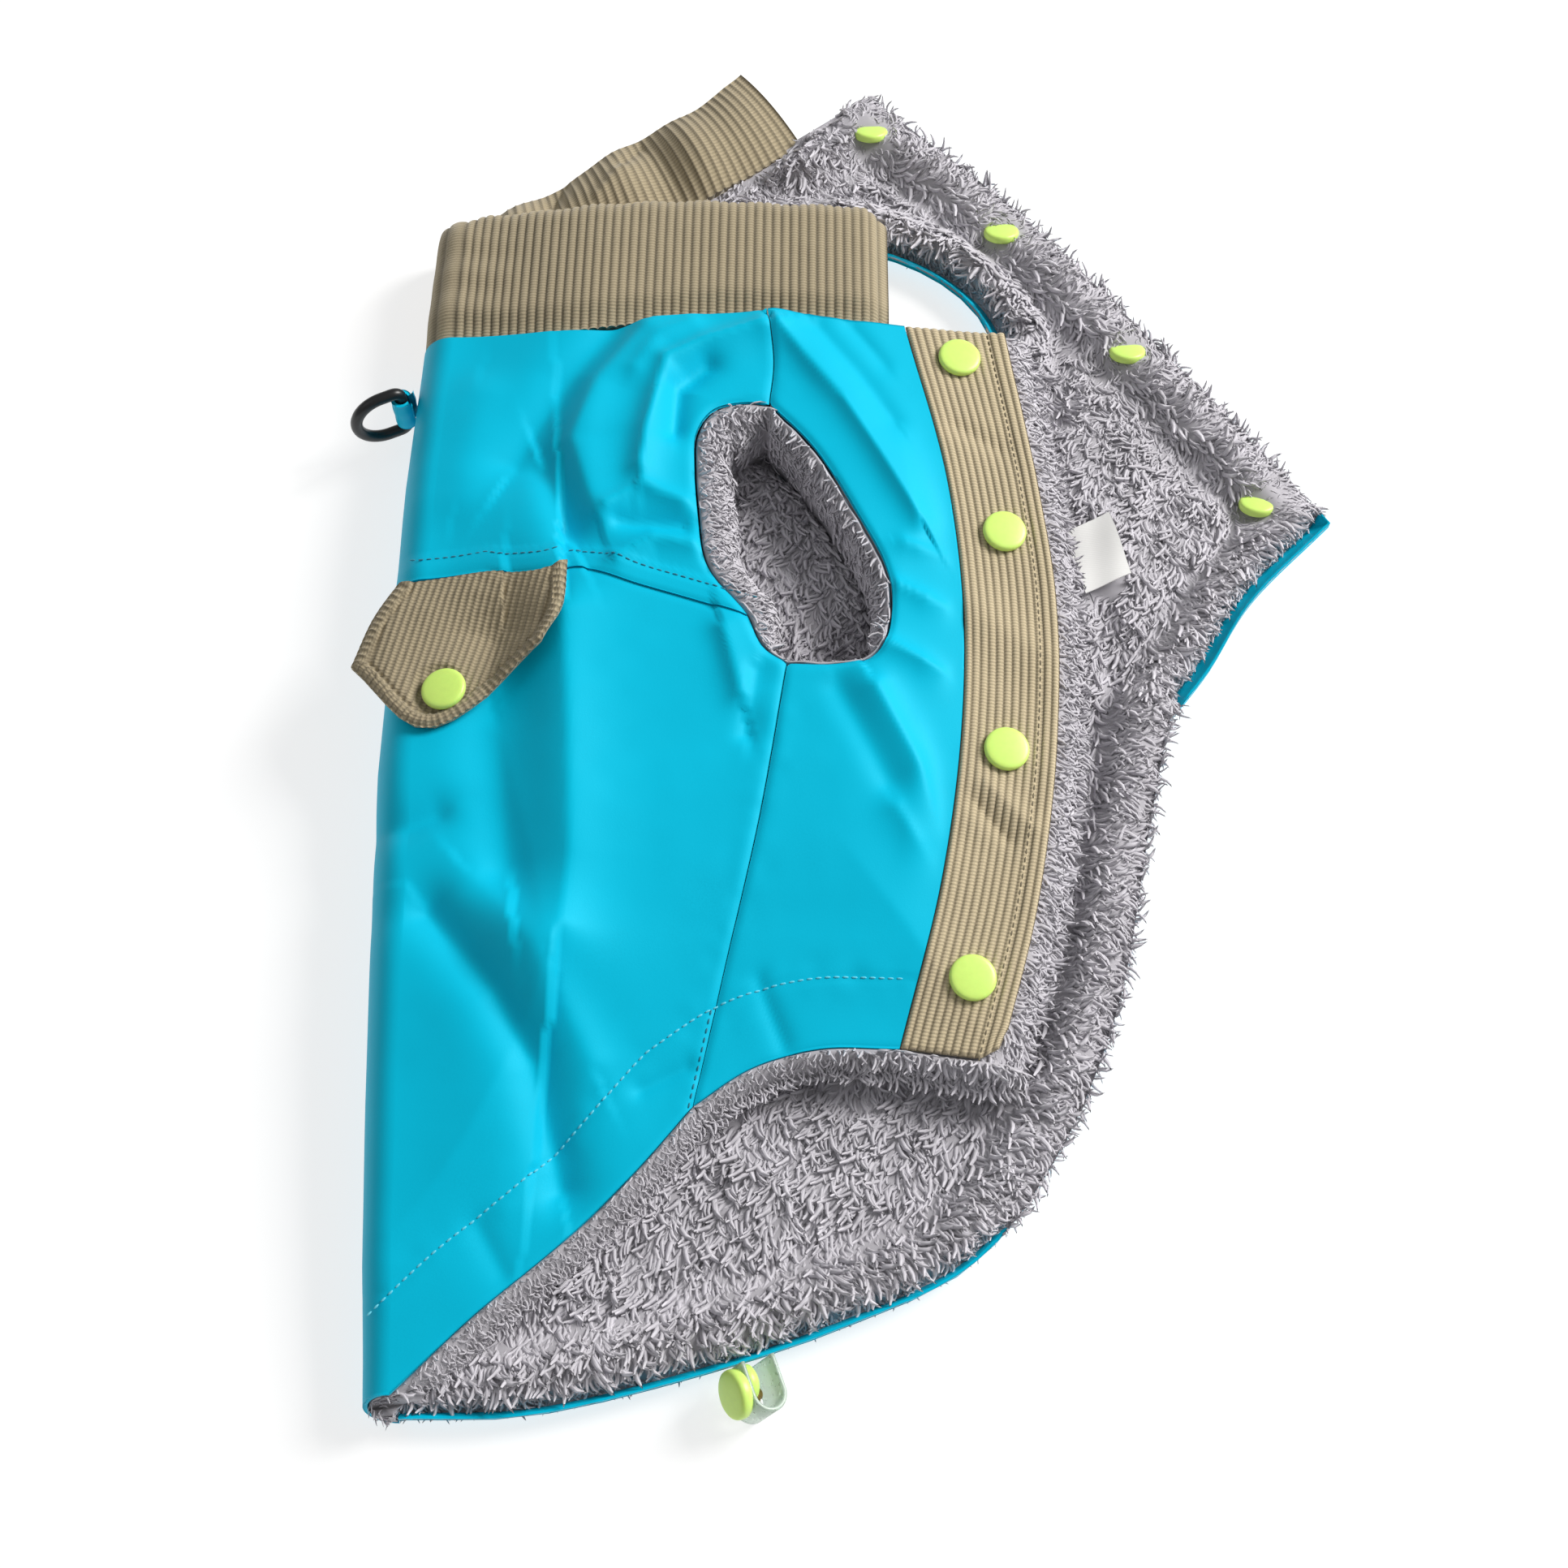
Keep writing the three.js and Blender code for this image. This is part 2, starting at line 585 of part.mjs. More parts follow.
// The fur edge that rolls out of the armhole: a ring of sections all round the opening
function buildArmholeRim() {
  const outline = join(armholeBackLine, armholeFootLine, [...armholeFrontLine].reverse()).slice(0, -1);
  const rimWidth = 12;
  const toward = ([x, y], distance) => {
    const heart = nearestOn(ARMHOLE_SPINE, x, y);
    const size = Math.hypot(heart.x - x, heart.y - y);
    return [x + ((heart.x - x) * distance) / size, y + ((heart.y - y) * distance) / size];
  };
  const profile = [
    { out: 0.45, drop: 2.6, floor: false },
    { out: 4, drop: 1.4, floor: false },
    { out: rimWidth * 0.7, drop: 5, floor: false },
    { out: rimWidth, drop: 12, floor: false },
    { out: rimWidth, drop: 0, floor: true },
    { out: 0.45, drop: 0, floor: true },
  ];
  const rings = outline.map((corner) => {
    const edgeHeight = upperHeight(corner[0], corner[1]);
    return profile.map((step) => {
      const [x, y] = toward(corner, step.out);
      return new THREE.Vector3(x, y, step.floor ? UPPER_UNDERSIDE : edgeHeight - step.drop);
    });
  });
  const closedRings = [...rings, rings[0]].map((ring) => [...ring, ring[0]]);
  addPiece('armhole_fur_rim', geometryFrom(quads(closedRings, false)), COLOURS.fur);
}

// Corduroy placket: wales run along it
function buildPlacket() {
  const wales = 12;
  const cols = range(wales * 2);
  const rows = range(15);
  const left = curvePoints(PLACKET_LEFT, rows);
  const right = curvePoints(PLACKET_RIGHT, rows);
  const flat = inset(coonsPatch(
    curvePoints([[43, 170], [79, 170]], cols),
    curvePoints([[36, -95], [67, -99]], cols),
    left,
    right,
  ), SEAM_GAP);
  const inner = lift(flat, (x, y) => upperHeight(x, y) - SHELL_WALL);
  const outer = inner.map((row) => row.map((p, i) => {
    const wale = i % 2 === 1 ? WALE_RELIEF : -WALE_RELIEF;
    return p.clone().setZ(p.z + PLACKET_WALL + wale);
  }));
  const plainColumns = everyIndex(cols).filter((i) => i % 4 === 0);
  addPiece('placket', slab(outer, pick(inner, everyIndex(rows), plainColumns)), COLOURS.corduroy);
  return outer;
}

// Upper collar: a padded corduroy band, rolled over at the fold like the coat's back
function buildUpperCollar() {
  const rollWales = 4;
  const flatWales = 48;
  const rightEnd = 37.5;
  const rows = [0, 0.1, 0.4, 0.72, 0.87, 0.96, 1];
  const neck = join(curvePoints(NECK_YOKE, range(20)), curvePoints(NECK_FRONT, range(10)));
  const neckY = (x) => {
    const next = neck.findIndex((p) => p[0] >= x);
    if (next <= 0) return neck[0][1];
    const [a, b] = [neck[next - 1], neck[next]];
    return a[1] + ((b[1] - a[1]) * (x - a[0])) / (b[0] - a[0]);
  };
  const outer = rows.map((v) => {
    const tuck = 3.2 * (1 - smooth(v / 0.2));
    const crownFall = COLLAR_DEPTH * (1 - Math.sqrt(1 - smooth((v - 0.62) / 0.38) ** 2));
    const s = sectionAt(COLLAR_TOP_Y - 50 * (1 - v));
    const start = s.foldX + s.roll;
    const row = [];
    for (let i = 0; i <= flatWales * 2; i += 1) {
      const u = i / (flatWales * 2);
      const x = start + (rightEnd - start) * u;
      const low = neckY(x) + 0.6;
      const topY = COLLAR_TOP_Y - 1.6 * Math.sin(u * 9) - 3 * smooth((u - 0.9) / 0.1) * v;
      const y = low + (topY - low) * v;
      const wale = i % 2 === 1 ? WALE_RELIEF : -WALE_RELIEF;
      const endFall = 6 * smooth((u - 0.93) / 0.07) ** 2;
      const z = upperHeight(Math.min(x, 36), 172) + 0.6 - tuck - crownFall - endFall + wale;
      row.push(new THREE.Vector3(x, y, z));
    }
    const half = row[0].z / 2;
    const roll = [];
    for (let k = rollWales * 2; k > 0; k -= 1) {
      const turn = (k / (rollWales * 2)) * Math.PI * 0.86;
      const reach = s.roll + (k % 2 === 1 ? WALE_RELIEF : 0);
      roll.push(new THREE.Vector3(start - reach * Math.sin(turn), row[0].y, half * (1 + Math.cos(turn))));
    }
    return [...roll, ...row];
  });
  const underside = rolledUnderside(outer, rollWales * 2, 8);
  const plainRows = [0, 3, rows.length - 1];
  addPiece('collar_top', slab(outer, plainRows.map((j) => underside[j])), COLOURS.corduroy);
}

// Lower collar: the same band behind, wrinkled, with its wales across it
function buildLowerCollar() {
  const wales = 34;
  const cols = range(wales * 2);
  const rows = [0, 0.06, 0.3, 0.6, 0.86, 1];
  const apart = 1.3;
  const neckLine = [[-101, 223], ...LOWER_NECK_YOKE.slice(2), ...LOWER_NECK_FRONT.slice(1, 2)];
  const seam = curvePoints(neckLine, cols).map(([x, y]) => [x - 0.52 * apart, y + 0.86 * apart]);
  const far = curvePoints([[-108, 240], [-83, 256], [-60, 275], [-36, 290], [-17, 311]], cols);
  const outer = rows.map((v) => cols.map((u, i) => {
    const x = seam[i][0] + (far[i][0] - seam[i][0]) * v;
    const y = seam[i][1] + (far[i][1] - seam[i][1]) * v;
    const puff = 9.5 + 2.4 * Math.sin(u * 19 + 0.6) + 1.2 * Math.sin(u * 31);
    const dome = Math.sin(Math.PI * (0.12 + 0.76 * v)) ** 0.7;
    const endFall = 1 - 0.45 * smooth((u - 0.9) / 0.1);
    const wale = i % 2 === 1 ? WALE_RELIEF : -WALE_RELIEF;
    return new THREE.Vector3(x, y, 2 + puff * dome * endFall + wale);
  }));
  const inner = outer.map((row) => row.map((p) => p.clone().setZ(0)));
  const plainColumns = everyIndex(cols).filter((i) => i % 4 === 0);
  addPiece('collar_bottom', slab(outer, pick(inner, [0, rows.length - 1], plainColumns)), COLOURS.corduroy);
}

// Panels of the lower half

function armholePoint(deg) {
  const turn = THREE.MathUtils.degToRad(deg);
  const tilt = THREE.MathUtils.degToRad(LOWER_ARMHOLE.tiltDeg);
  const along = LOWER_ARMHOLE.long * Math.cos(turn);
  const across = LOWER_ARMHOLE.short * Math.sin(turn);
  return [
    LOWER_ARMHOLE.x + along * Math.cos(tilt) - across * Math.sin(tilt),
    LOWER_ARMHOLE.y + along * Math.sin(tilt) + across * Math.cos(tilt),
  ];
}

function armholeArc(fromDeg, toDeg, count) {
  return range(count).map((t) => armholePoint(fromDeg + (toDeg - fromDeg) * t));
}

const EDGE_CLUSTER = [0, 0.17, 0.34, 0.5, 0.64, 0.76, 0.85, 0.92, 0.965, 0.987, 1];

function lowerPanels() {
  const clearOfRoll = 0.45;
  const foldSide = (fromY, toY, fractions) => {
    const edge = foldEdge(fromY, toY, fractions);
    return edge.map(([x, y]) => [x + clearOfRoll, y]);
  };
  const shoulderTop = LOWER_NECK_YOKE[3];
  const shoulder = curvePoints([shoulderTop, armholePoint(LOWER_ARMHOLE_SHOULDER_DEG)], [0, 0.4, 0.8, 1]);
  const yokeArc = armholeArc(LOWER_ARMHOLE_SHOULDER_DEG, LOWER_ARMHOLE_YOKE_DEG, 6);
  const footArc = armholeArc(LOWER_ARMHOLE_YOKE_DEG, LOWER_ARMHOLE_SIDE_DEG, 6);
  const frontArc = armholeArc(LOWER_ARMHOLE_SHOULDER_DEG, LOWER_ARMHOLE_SIDE_DEG - 360, 8);
  const sideLine = curvePoints([armholePoint(LOWER_ARMHOLE_SIDE_DEG), [93, 105], [131, 26]], EDGE_CLUSTER);

  const yokeRight = join(shoulder, yokeArc);
  const yokeLeft = foldSide(206, LOWER_YOKE_SEAM_Y, lengthFractions(yokeRight));
  const yokeCols = [0, 0.25, 0.5, 0.7, 0.85, 0.94, 1];
  const yokeTop = curvePoints([yokeLeft[0], ...LOWER_NECK_YOKE.slice(1)], yokeCols);
  const yokeSeamEnd = armholePoint(LOWER_ARMHOLE_YOKE_DEG);
  const yokeFootStart = yokeLeft[yokeLeft.length - 1];

  const backRight = join(footArc, sideLine);
  const backRows = [
    0, 0.08, 0.16, 0.25, 0.34, 0.43, 0.5, 0.57, 0.64, 0.72, 0.8, 0.87, 0.93, 0.965, 0.985, 0.994, 1,
  ];
  const backLeft = foldSide(LOWER_YOKE_SEAM_Y, -204, backRows);
  const backCols = range(14);
  const chestLeft = join(shoulder, frontArc, sideLine);
  const chestCols = [0, 0.07, 0.16, 0.34, 0.54, 0.72, 0.84, 0.92, 0.97, 1];
  const chestRight = lengthFractions(chestLeft);
  const yokeFoot = curvePoints([yokeFootStart, yokeSeamEnd], yokeCols);
  return {
    yoke: inset(coonsPatch(yokeTop, yokeFoot, yokeLeft, yokeRight)),
    back: inset(coonsPatch(
      curvePoints([yokeFootStart, yokeSeamEnd], backCols),
      curvePoints([backLeft[backLeft.length - 1], ...LOWER_HEM.slice(1)], backCols),
      backLeft,
      backRight,
    )),
    chest: inset(coonsPatch(
      curvePoints(LOWER_NECK_FRONT, chestCols),
      curvePoints(LOWER_BELLY_HEM, chestCols),
      chestLeft,
      curvePoints(LOWER_FRONT, chestRight),
    )),
  };
}

const lowerFreeLines = [
  join(curvePoints(LOWER_HEM, range(40)), curvePoints(LOWER_BELLY_HEM, range(10))),
  curvePoints(LOWER_FRONT, range(20)),
  curvePoints([[5, 276], [33, 297]], range(4)),
  armholeArc(0, 360, 48),
];

function fromFreeEdge(x, y) {
  return Math.min(...lowerFreeLines.map((line) => nearestOn(line, x, y).distance));
}

function rimLift(x, y) {
  return RIM_RISE * (1 - clamp01(fromFreeEdge(x, y) / RIM_WIDTH)) ** 2;
}

function furHeight(x, y) {
  const d = fromFreeEdge(x, y);
  const row = FUR_PROFILE.findIndex((p) => p.from > d);
  const last = FUR_PROFILE[FUR_PROFILE.length - 1].height;
  if (row === -1) return last + foldRelief(FUR_FOLDS, x, y);
  const a = FUR_PROFILE[row - 1];
  const b = FUR_PROFILE[row];
  const base = a.height + (b.height - a.height) * smooth((d - a.from) / (b.from - a.from));
  return base + foldRelief(FUR_FOLDS, x, y) * smooth((d - 12) / 20);
}

// Where the upper half lies on the fur and presses it down
const upperFootprint = [
  [-135, 224], [44, 224], [44, 176], [90, 174],
  ...curvePoints(PLACKET_RIGHT, range(12)).map(([x, y]) => [x + FRONT_FRINGE + 3, y]),
  [76, -112], [36, -108],
  ...curvePoints(HEM_CHEST, range(6)).reverse().map(([x, y]) => [x + 2, y - FUR_FRINGE - 4]),
  ...curvePoints(HEM_BACK, range(8)).reverse().map(([x, y]) => [x + 7, y - 7]),
  [-135, -215],
];

function pressedGrid(flat) {
  const probes = range(5);
  const pressed = flat.map((row) => row.map(() => false));
  for (let j = 0; j < flat.length - 1; j += 1) {
    for (let i = 0; i < flat[0].length - 1; i += 1) {
      const at = (u, v, k) => (1 - v) * ((1 - u) * flat[j][i][k] + u * flat[j][i + 1][k])
        + v * ((1 - u) * flat[j + 1][i][k] + u * flat[j + 1][i + 1][k]);
      const under = (u, v) => inside(upperFootprint, at(u, v, 0), at(u, v, 1));
      const touched = probes.some((u) => probes.some((v) => under(u, v)));
      if (touched) {
        for (const [dj, di] of [[0, 0], [0, 1], [1, 0], [1, 1]]) pressed[j + dj][i + di] = true;
      }
    }
  }
  return pressed;
}

function buildLowerHalf() {
  const flat = lowerPanels();
  const linings = {};
  for (const [key, grid] of Object.entries(flat)) {
    const outside = lift(grid, rimLift);
    const insideFace = outside.map((row) => row.map((p) => p.clone().setZ(p.z + SHELL_WALL)));
    addPiece(`${key}_bottom`, slab(insideFace, outside), COLOURS.softshell);
    const pressed = pressedGrid(grid);
    const furFoot = outside.map((row) => row.map((p) => p.clone().setZ(p.z + SHELL_WALL + SEAM_GAP)));
    const furTop = furFoot.map((row, j) => row.map((p, i) => {
      const full = furHeight(p.x, p.y);
      return p.clone().setZ(pressed[j][i] ? Math.min(full, FUR_PRESSED) : full);
    }));
    linings[key] = { furTop, solid: slab(furTop, furFoot) };
  }
  return linings;
}

// Solids that are cut out of others

function asSolid(geometry) {
  const bare = geometry.clone();
  bare.deleteAttribute('normal');
  bare.deleteAttribute('uv');
  const merged = mergeVertices(bare, 1e-4);
  return new wasm.Manifold(new wasm.Mesh({
    numProp: 3,
    vertProperties: new Float32Array(merged.attributes.position.array),
    triVerts: new Uint32Array(merged.index.array),
  }));
}

function asGeometry(solid) {
  const mesh = solid.getMesh();
  const geometry = new THREE.BufferGeometry();
  geometry.setAttribute('position', new THREE.BufferAttribute(new Float32Array(mesh.vertProperties), 3));
  geometry.setIndex(new THREE.BufferAttribute(new Uint32Array(mesh.triVerts), 1));
  return geometry;
}

function turned(profile, sides) {
  const outline = profile.map(([r, z]) => new THREE.Vector2(r, z));
  return new THREE.LatheGeometry(outline, sides).rotateX(Math.PI / 2);
}

// Round press-stud caps

function capGeometry(radius, height, sides = 16) {
  return turned([
    [0, 0],
    [radius * 0.93, 0],
    [radius, height * 0.3],
    [radius * 0.95, height * 0.66],
    [radius * 0.66, height * 0.93],
    [0, height],
  ], sides);
}

// Sets a cap flat on the faces below it, tilted as they are and just clear of them
function seatOn(grid, [x, y], radius) {
  const probeTurns = 24;
  const turns = Array.from({ length: probeTurns }, (_, i) => (i / probeTurns) * Math.PI * 2);
  const probes = turns.flatMap((turn) => [0.45, 0.98].map((part) => {
    const dx = radius * part * Math.cos(turn);
    const dy = radius * part * Math.sin(turn);
    return new THREE.Vector3(dx, dy, gridHeight([grid], x + dx, y + dy));
  }));
  const sum = (read) => probes.reduce((total, p) => total + read(p), 0);
  const slopeX = sum((p) => p.x * p.z) / sum((p) => p.x * p.x);
  const slopeY = sum((p) => p.y * p.z) / sum((p) => p.y * p.y);
  const normal = new THREE.Vector3(-slopeX, -slopeY, 1).normalize();
  const top = Math.max(...probes.map((p) => p.dot(normal)));
  return { centre: new THREE.Vector3(x, y, (top + 0.3) / normal.z), normal };
}

function addCap(name, seat, radius = SNAP_RADIUS, height = SNAP_HEIGHT) {
  const cap = addPiece(name, capGeometry(radius, height), COLOURS.lime, { roughness: 0.42 });
  cap.position.copy(seat.centre);
  cap.quaternion.setFromUnitVectors(new THREE.Vector3(0, 0, 1), seat.normal);
}

function buildPlacketSnaps(placketTop) {
  PLACKET_SNAPS.forEach((spot, i) => addCap(`placket_snap_${i + 1}`, seatOn(placketTop, spot, SNAP_RADIUS)));
}

// The lower chest lining with the four studs sunk in its fur
function buildLinings(linings) {
  let chestSolid = asSolid(linings.chest.solid);
  FUR_SNAPS.forEach(([x, y], i) => {
    const floor = furHeight(x, y) - 4.2;
    const pocket = turned([[0, floor], [FUR_POCKET_RADIUS, floor], [FUR_POCKET_RADIUS, 30], [0, 30]], 16);
    chestSolid = chestSolid.subtract(asSolid(pocket.translate(x, y, 0)));
    const seat = { centre: new THREE.Vector3(x, y, floor + SEAM_GAP), normal: new THREE.Vector3(0, 0, 1) };
    addCap(`lining_snap_${i + 1}`, seat, FUR_SNAP_RADIUS, 3.6);
  });
  addPiece('chest_lining_bottom', asGeometry(chestSolid), COLOURS.fur);
  addPiece('yoke_lining_bottom', linings.yoke.solid, COLOURS.fur);
  addPiece('back_lining_bottom', linings.back.solid, COLOURS.fur);
}

// Height of a faceted grid under a point
function gridHeight(grids, x, y) {
  let best = -Infinity;
  const within = (a, b, c) => {
    const det = (b.y - c.y) * (a.x - c.x) + (c.x - b.x) * (a.y - c.y);
    const u = ((b.y - c.y) * (x - c.x) + (c.x - b.x) * (y - c.y)) / det;
    const v = ((c.y - a.y) * (x - c.x) + (a.x - c.x) * (y - c.y)) / det;
    const w = 1 - u - v;
    if (u >= 0 && v >= 0 && w >= 0) best = Math.max(best, u * a.z + v * b.z + w * c.z);
  };
  for (const grid of grids) {
    for (let j = 0; j < grid.length - 1; j += 1) {
      for (let i = 0; i < grid[0].length - 1; i += 1) {
        within(grid[j][i], grid[j + 1][i + 1], grid[j][i + 1]);
        within(grid[j][i], grid[j + 1][i], grid[j + 1][i + 1]);
      }
    }
  }
  return best;
}

// Corduroy flap over the leash slit: it lies on the back and its outer corner stands free
function buildFlap(upper) {
  const wales = 18;
  const cols = range(wales * 2);
  const rows = [0, 0.04, 0.25, 0.5, 0.75, 0.93, 0.97, 1];
  const flat = coonsPatch(
    curvePoints(FLAP_OUTLINE.top, cols),
    curvePoints(FLAP_OUTLINE.bottom, cols),
    curvePoints(FLAP_OUTLINE.left, rows),
    curvePoints(FLAP_OUTLINE.right, rows),
  );
  const s = sectionAt(40);
  const onBack = (x, y) => gridHeight([upper.yoke, upper.back], Math.max(x, s.foldX + s.roll + 1), y);
  const spread = [[0, 0], [-2.5, 0], [2.5, 0], [0, 4], [0, -4]];
  const inner = flat.map((row, j) => row.map(([x, y], i) => {
    const rest = Math.max(...spread.map(([dx, dy]) => onBack(x + dx, y + dy)));
    const curl = 5 * smooth((cols[i] - 0.45) / 0.4) * smooth((rows[j] - 0.45) / 0.55);
    const droop = 2.5 * smooth((s.foldX + 6 - x) / 16);
    return new THREE.Vector3(x, y, rest + SEAM_GAP + 0.15 + curl - droop);
  }));
  const outer = inner.map((row, j) => row.map((p, i) => {
    const rim = rows[j] > 0.92 || i < 2 || i > wales * 2 - 2 ? 0.7 : 0;
    const wale = rim > 0 ? 0 : (i % 2 === 1 ? WALE_RELIEF : -WALE_RELIEF);
    return p.clone().setZ(p.z + 2.4 + rim + wale);
  }));
  const plainColumns = everyIndex(cols).filter((i) => i % 3 === 0);
  addPiece('pocket_flap', slab(outer, pick(inner, everyIndex(rows), plainColumns)), COLOURS.corduroy);
  addCap('flap_snap', seatOn(outer, FLAP_SNAP, SNAP_RADIUS));
}

// Leash ring: a D of round wire that swings on its straight bar in the webbing tab
const ringFold = sectionAt(145);
const ringBar = { x: ringFold.foldX - SEAM_GAP - 4.1, y: 145, z: RING_BAR_HEIGHT };

function closedTube(path, radius, sides) {
  const count = path.length;
  const rings = path.map((p, i) => {
    const ahead = path[(i + 1) % count].clone().sub(path[(i + count - 1) % count]).normalize();
    const side = new THREE.Vector3(0, 1, 0);
    const up = ahead.clone().cross(side).normalize();
    return range(sides).map((t) => {
      const turn = t * Math.PI * 2;
      const at = p.clone().addScaledVector(side, radius * Math.cos(turn));
      return at.addScaledVector(up, radius * Math.sin(turn));
    });
  });
  return geometryFrom(quads([...rings, rings[0]], true));
}

function buildRing() {
  const path = [];
  const corner = 3;
  const arc = (cx, cz, radius, fromDeg, toDeg, count) => range(count).forEach((t) => {
    const turn = THREE.MathUtils.degToRad(fromDeg + (toDeg - fromDeg) * t);
    path.push(new THREE.Vector3(cx + radius * Math.cos(turn), 0, cz + radius * Math.sin(turn)));
  });
  arc(corner, RING_HALF_HEIGHT - corner, corner, 180, 90, 3);
  arc(RING_ARM, 0, RING_HALF_HEIGHT, 90, -90, 14);
  arc(corner, corner - RING_HALF_HEIGHT, corner, 270, 180, 3);
  const ring = addPiece('ring', closedTube(path, RING_WIRE_RADIUS, 10), COLOURS.ring, { roughness: 0.45 });
  ring.position.set(ringBar.x, ringBar.y, ringBar.z);
  ring.rotation.z = THREE.MathUtils.degToRad(RING_ANGLE_DEG);
}

function buildRingTab() {
  const bore = RING_WIRE_RADIUS + 0.45;
  const outside = bore + 1.3;
  const neck = 1.6;
  const start = Math.asin(neck / outside);
  const tail = ringFold.foldX - SEAM_GAP - ringBar.x;
  const shape = new THREE.Shape();
  shape.moveTo(tail, -neck - 2);
  shape.lineTo(tail, neck + 2);
  shape.lineTo(outside * Math.cos(start), neck);
  shape.absarc(0, 0, outside, start, Math.PI * 2 - start, false);
  shape.lineTo(tail, -neck - 2);
  const hole = new THREE.Path();
  hole.absarc(0, 0, bore, 0, Math.PI * 2, true);
  shape.holes.push(hole);
  const settings = { depth: TAB_HALF_WIDTH * 2, bevelEnabled: false, curveSegments: 14 };
  const tab = new THREE.ExtrudeGeometry(shape, settings);
  const mesh = addPiece('ring_tab', tab, COLOURS.softshell);
  mesh.position.set(ringBar.x, ringBar.y, ringBar.z - TAB_HALF_WIDTH);
}

// Care label, left blank: a stiff little flag over the fur at the side seam
function buildLabel(linings) {
  const { left, top, right, bottom } = LABEL_CORNERS;
  const flat = coonsPatch(
    curvePoints([left, top], range(4)),
    curvePoints([bottom, right], range(4)),
    curvePoints([left, bottom], range(5)),
    curvePoints([top, right], range(5)),
  );
  const fields = [linings.back.furTop, linings.chest.furTop];
  const reach = 3;
  const probes = [[0, 0], [reach, 0], [-reach, 0], [0, reach], [0, -reach]];
  const inner = flat.map((row, j) => row.map(([x, y], i) => {
    const below = Math.max(...probes.map(([dx, dy]) => gridHeight(fields, x + dx, y + dy)));
    const lifted = (0.6 + 0.3 * Math.sin(j * 1.1)) * i;
    return new THREE.Vector3(x, y, below + SEAM_GAP + lifted);
  }));
  addPiece('label', slab(offsetGrid(inner, -LABEL_WALL), inner), COLOURS.label);
}

// Clear elastic leg strap: its end loop stands on edge at the hem, with its press stud
function buildStrap() {
  const root = new THREE.Vector2(-11.1, -187.5);
  const strapAngle = THREE.MathUtils.degToRad(-70);
  const wall = 1.4;
  const halfLoop = 4.6;
  const length = 17;
  const height = 14;
  const bend = halfLoop + wall;
  const shape = new THREE.Shape();
  shape.moveTo(0, bend);
  shape.lineTo(length - bend, bend);
  shape.absarc(length - bend, 0, bend, Math.PI / 2, -Math.PI / 2, true);
  shape.lineTo(0, -bend);
  shape.lineTo(0, -halfLoop);
  shape.lineTo(length - bend, -halfLoop);
  shape.absarc(length - bend, 0, halfLoop, -Math.PI / 2, Math.PI / 2, false);
  shape.lineTo(0, halfLoop);
  shape.lineTo(0, bend);
  const group = new THREE.Group();
  group.position.set(root.x, root.y, 0);
  group.rotation.z = strapAngle;
  placed.add(group);
  const put = (name, geometry, colour, finish, x, y, z) => {
    const mesh = addPiece(name, geometry, colour, finish);
    mesh.position.set(x, y, z);
    group.add(mesh);
    return mesh;
  };
  const band = new THREE.ExtrudeGeometry(shape, { depth: height, bevelEnabled: false, curveSegments: 8 });
  put('strap', band, COLOURS.strap, { roughness: 0.3 }, 0, 0, 0.5);
  const middle = 8.2;
  const satin = { roughness: 0.42 };
  const disc = capGeometry(SNAP_RADIUS, 4.2);
  const cap = put('strap_cap', disc, COLOURS.lime, satin, middle, -bend - SEAM_GAP, 7.9);
  cap.rotation.x = Math.PI / 2;
  const stud = turned([[0, 0], [5.3, 0], [5.5, 0.6], [5.5, 3], [4.9, 3.6], [0, 3.6]], 16);
  const socket = put('strap_stud', stud, COLOURS.lime, satin, middle - 2.5, -halfLoop + SEAM_GAP, 7.6);
  socket.rotation.x = -Math.PI / 2;
  const pin = turned([[0, 0], [3.2, 0], [3.4, 0.5], [3.2, 1], [1.7, 1.2], [1.7, 2.9], [0, 3.2]], 14);
  const metal = { roughness: 0.3, metalness: 1 };
  const post = put('strap_pin', pin, COLOURS.brass, metal, middle + 1, -0.4, 5.4);
  post.rotation.x = -Math.PI / 2;
}

const upper = buildUpperHalf();
buildArmholeRim();
buildPlacketSnaps(buildPlacket());
buildUpperCollar();
buildLowerCollar();
const linings = buildLowerHalf();
buildLinings(linings);
buildFlap(upper);
buildRing();
buildRingTab();
buildLabel(linings);
buildStrap();

export default coat;
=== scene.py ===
import math

import bpy
import numpy as np
from bpy.props import FloatProperty, FloatVectorProperty, PointerProperty
from mathutils import Matrix, Vector


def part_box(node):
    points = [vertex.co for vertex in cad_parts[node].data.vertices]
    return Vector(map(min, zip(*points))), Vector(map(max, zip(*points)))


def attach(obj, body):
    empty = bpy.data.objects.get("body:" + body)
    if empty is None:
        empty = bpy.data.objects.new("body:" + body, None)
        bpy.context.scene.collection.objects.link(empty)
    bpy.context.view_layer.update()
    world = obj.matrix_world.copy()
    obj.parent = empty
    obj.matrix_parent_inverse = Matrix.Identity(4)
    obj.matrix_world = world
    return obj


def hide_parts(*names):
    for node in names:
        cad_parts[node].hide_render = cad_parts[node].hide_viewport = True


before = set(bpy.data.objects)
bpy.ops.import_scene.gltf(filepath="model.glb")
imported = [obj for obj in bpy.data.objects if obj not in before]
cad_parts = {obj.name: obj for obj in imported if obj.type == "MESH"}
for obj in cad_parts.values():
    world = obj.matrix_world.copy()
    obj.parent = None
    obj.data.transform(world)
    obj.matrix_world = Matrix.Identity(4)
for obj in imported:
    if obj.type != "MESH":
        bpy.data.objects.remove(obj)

bl_info = {
    "name": "Folded dog winter coat",
    "version": (1, 0, 0),
    "blender": (4, 5, 0),
    "location": "View3D > Sidebar > Coat",
    "description": "Makes the cloth, fur, sewing and fittings of a folded dog coat",
    "category": "Add Mesh",
}

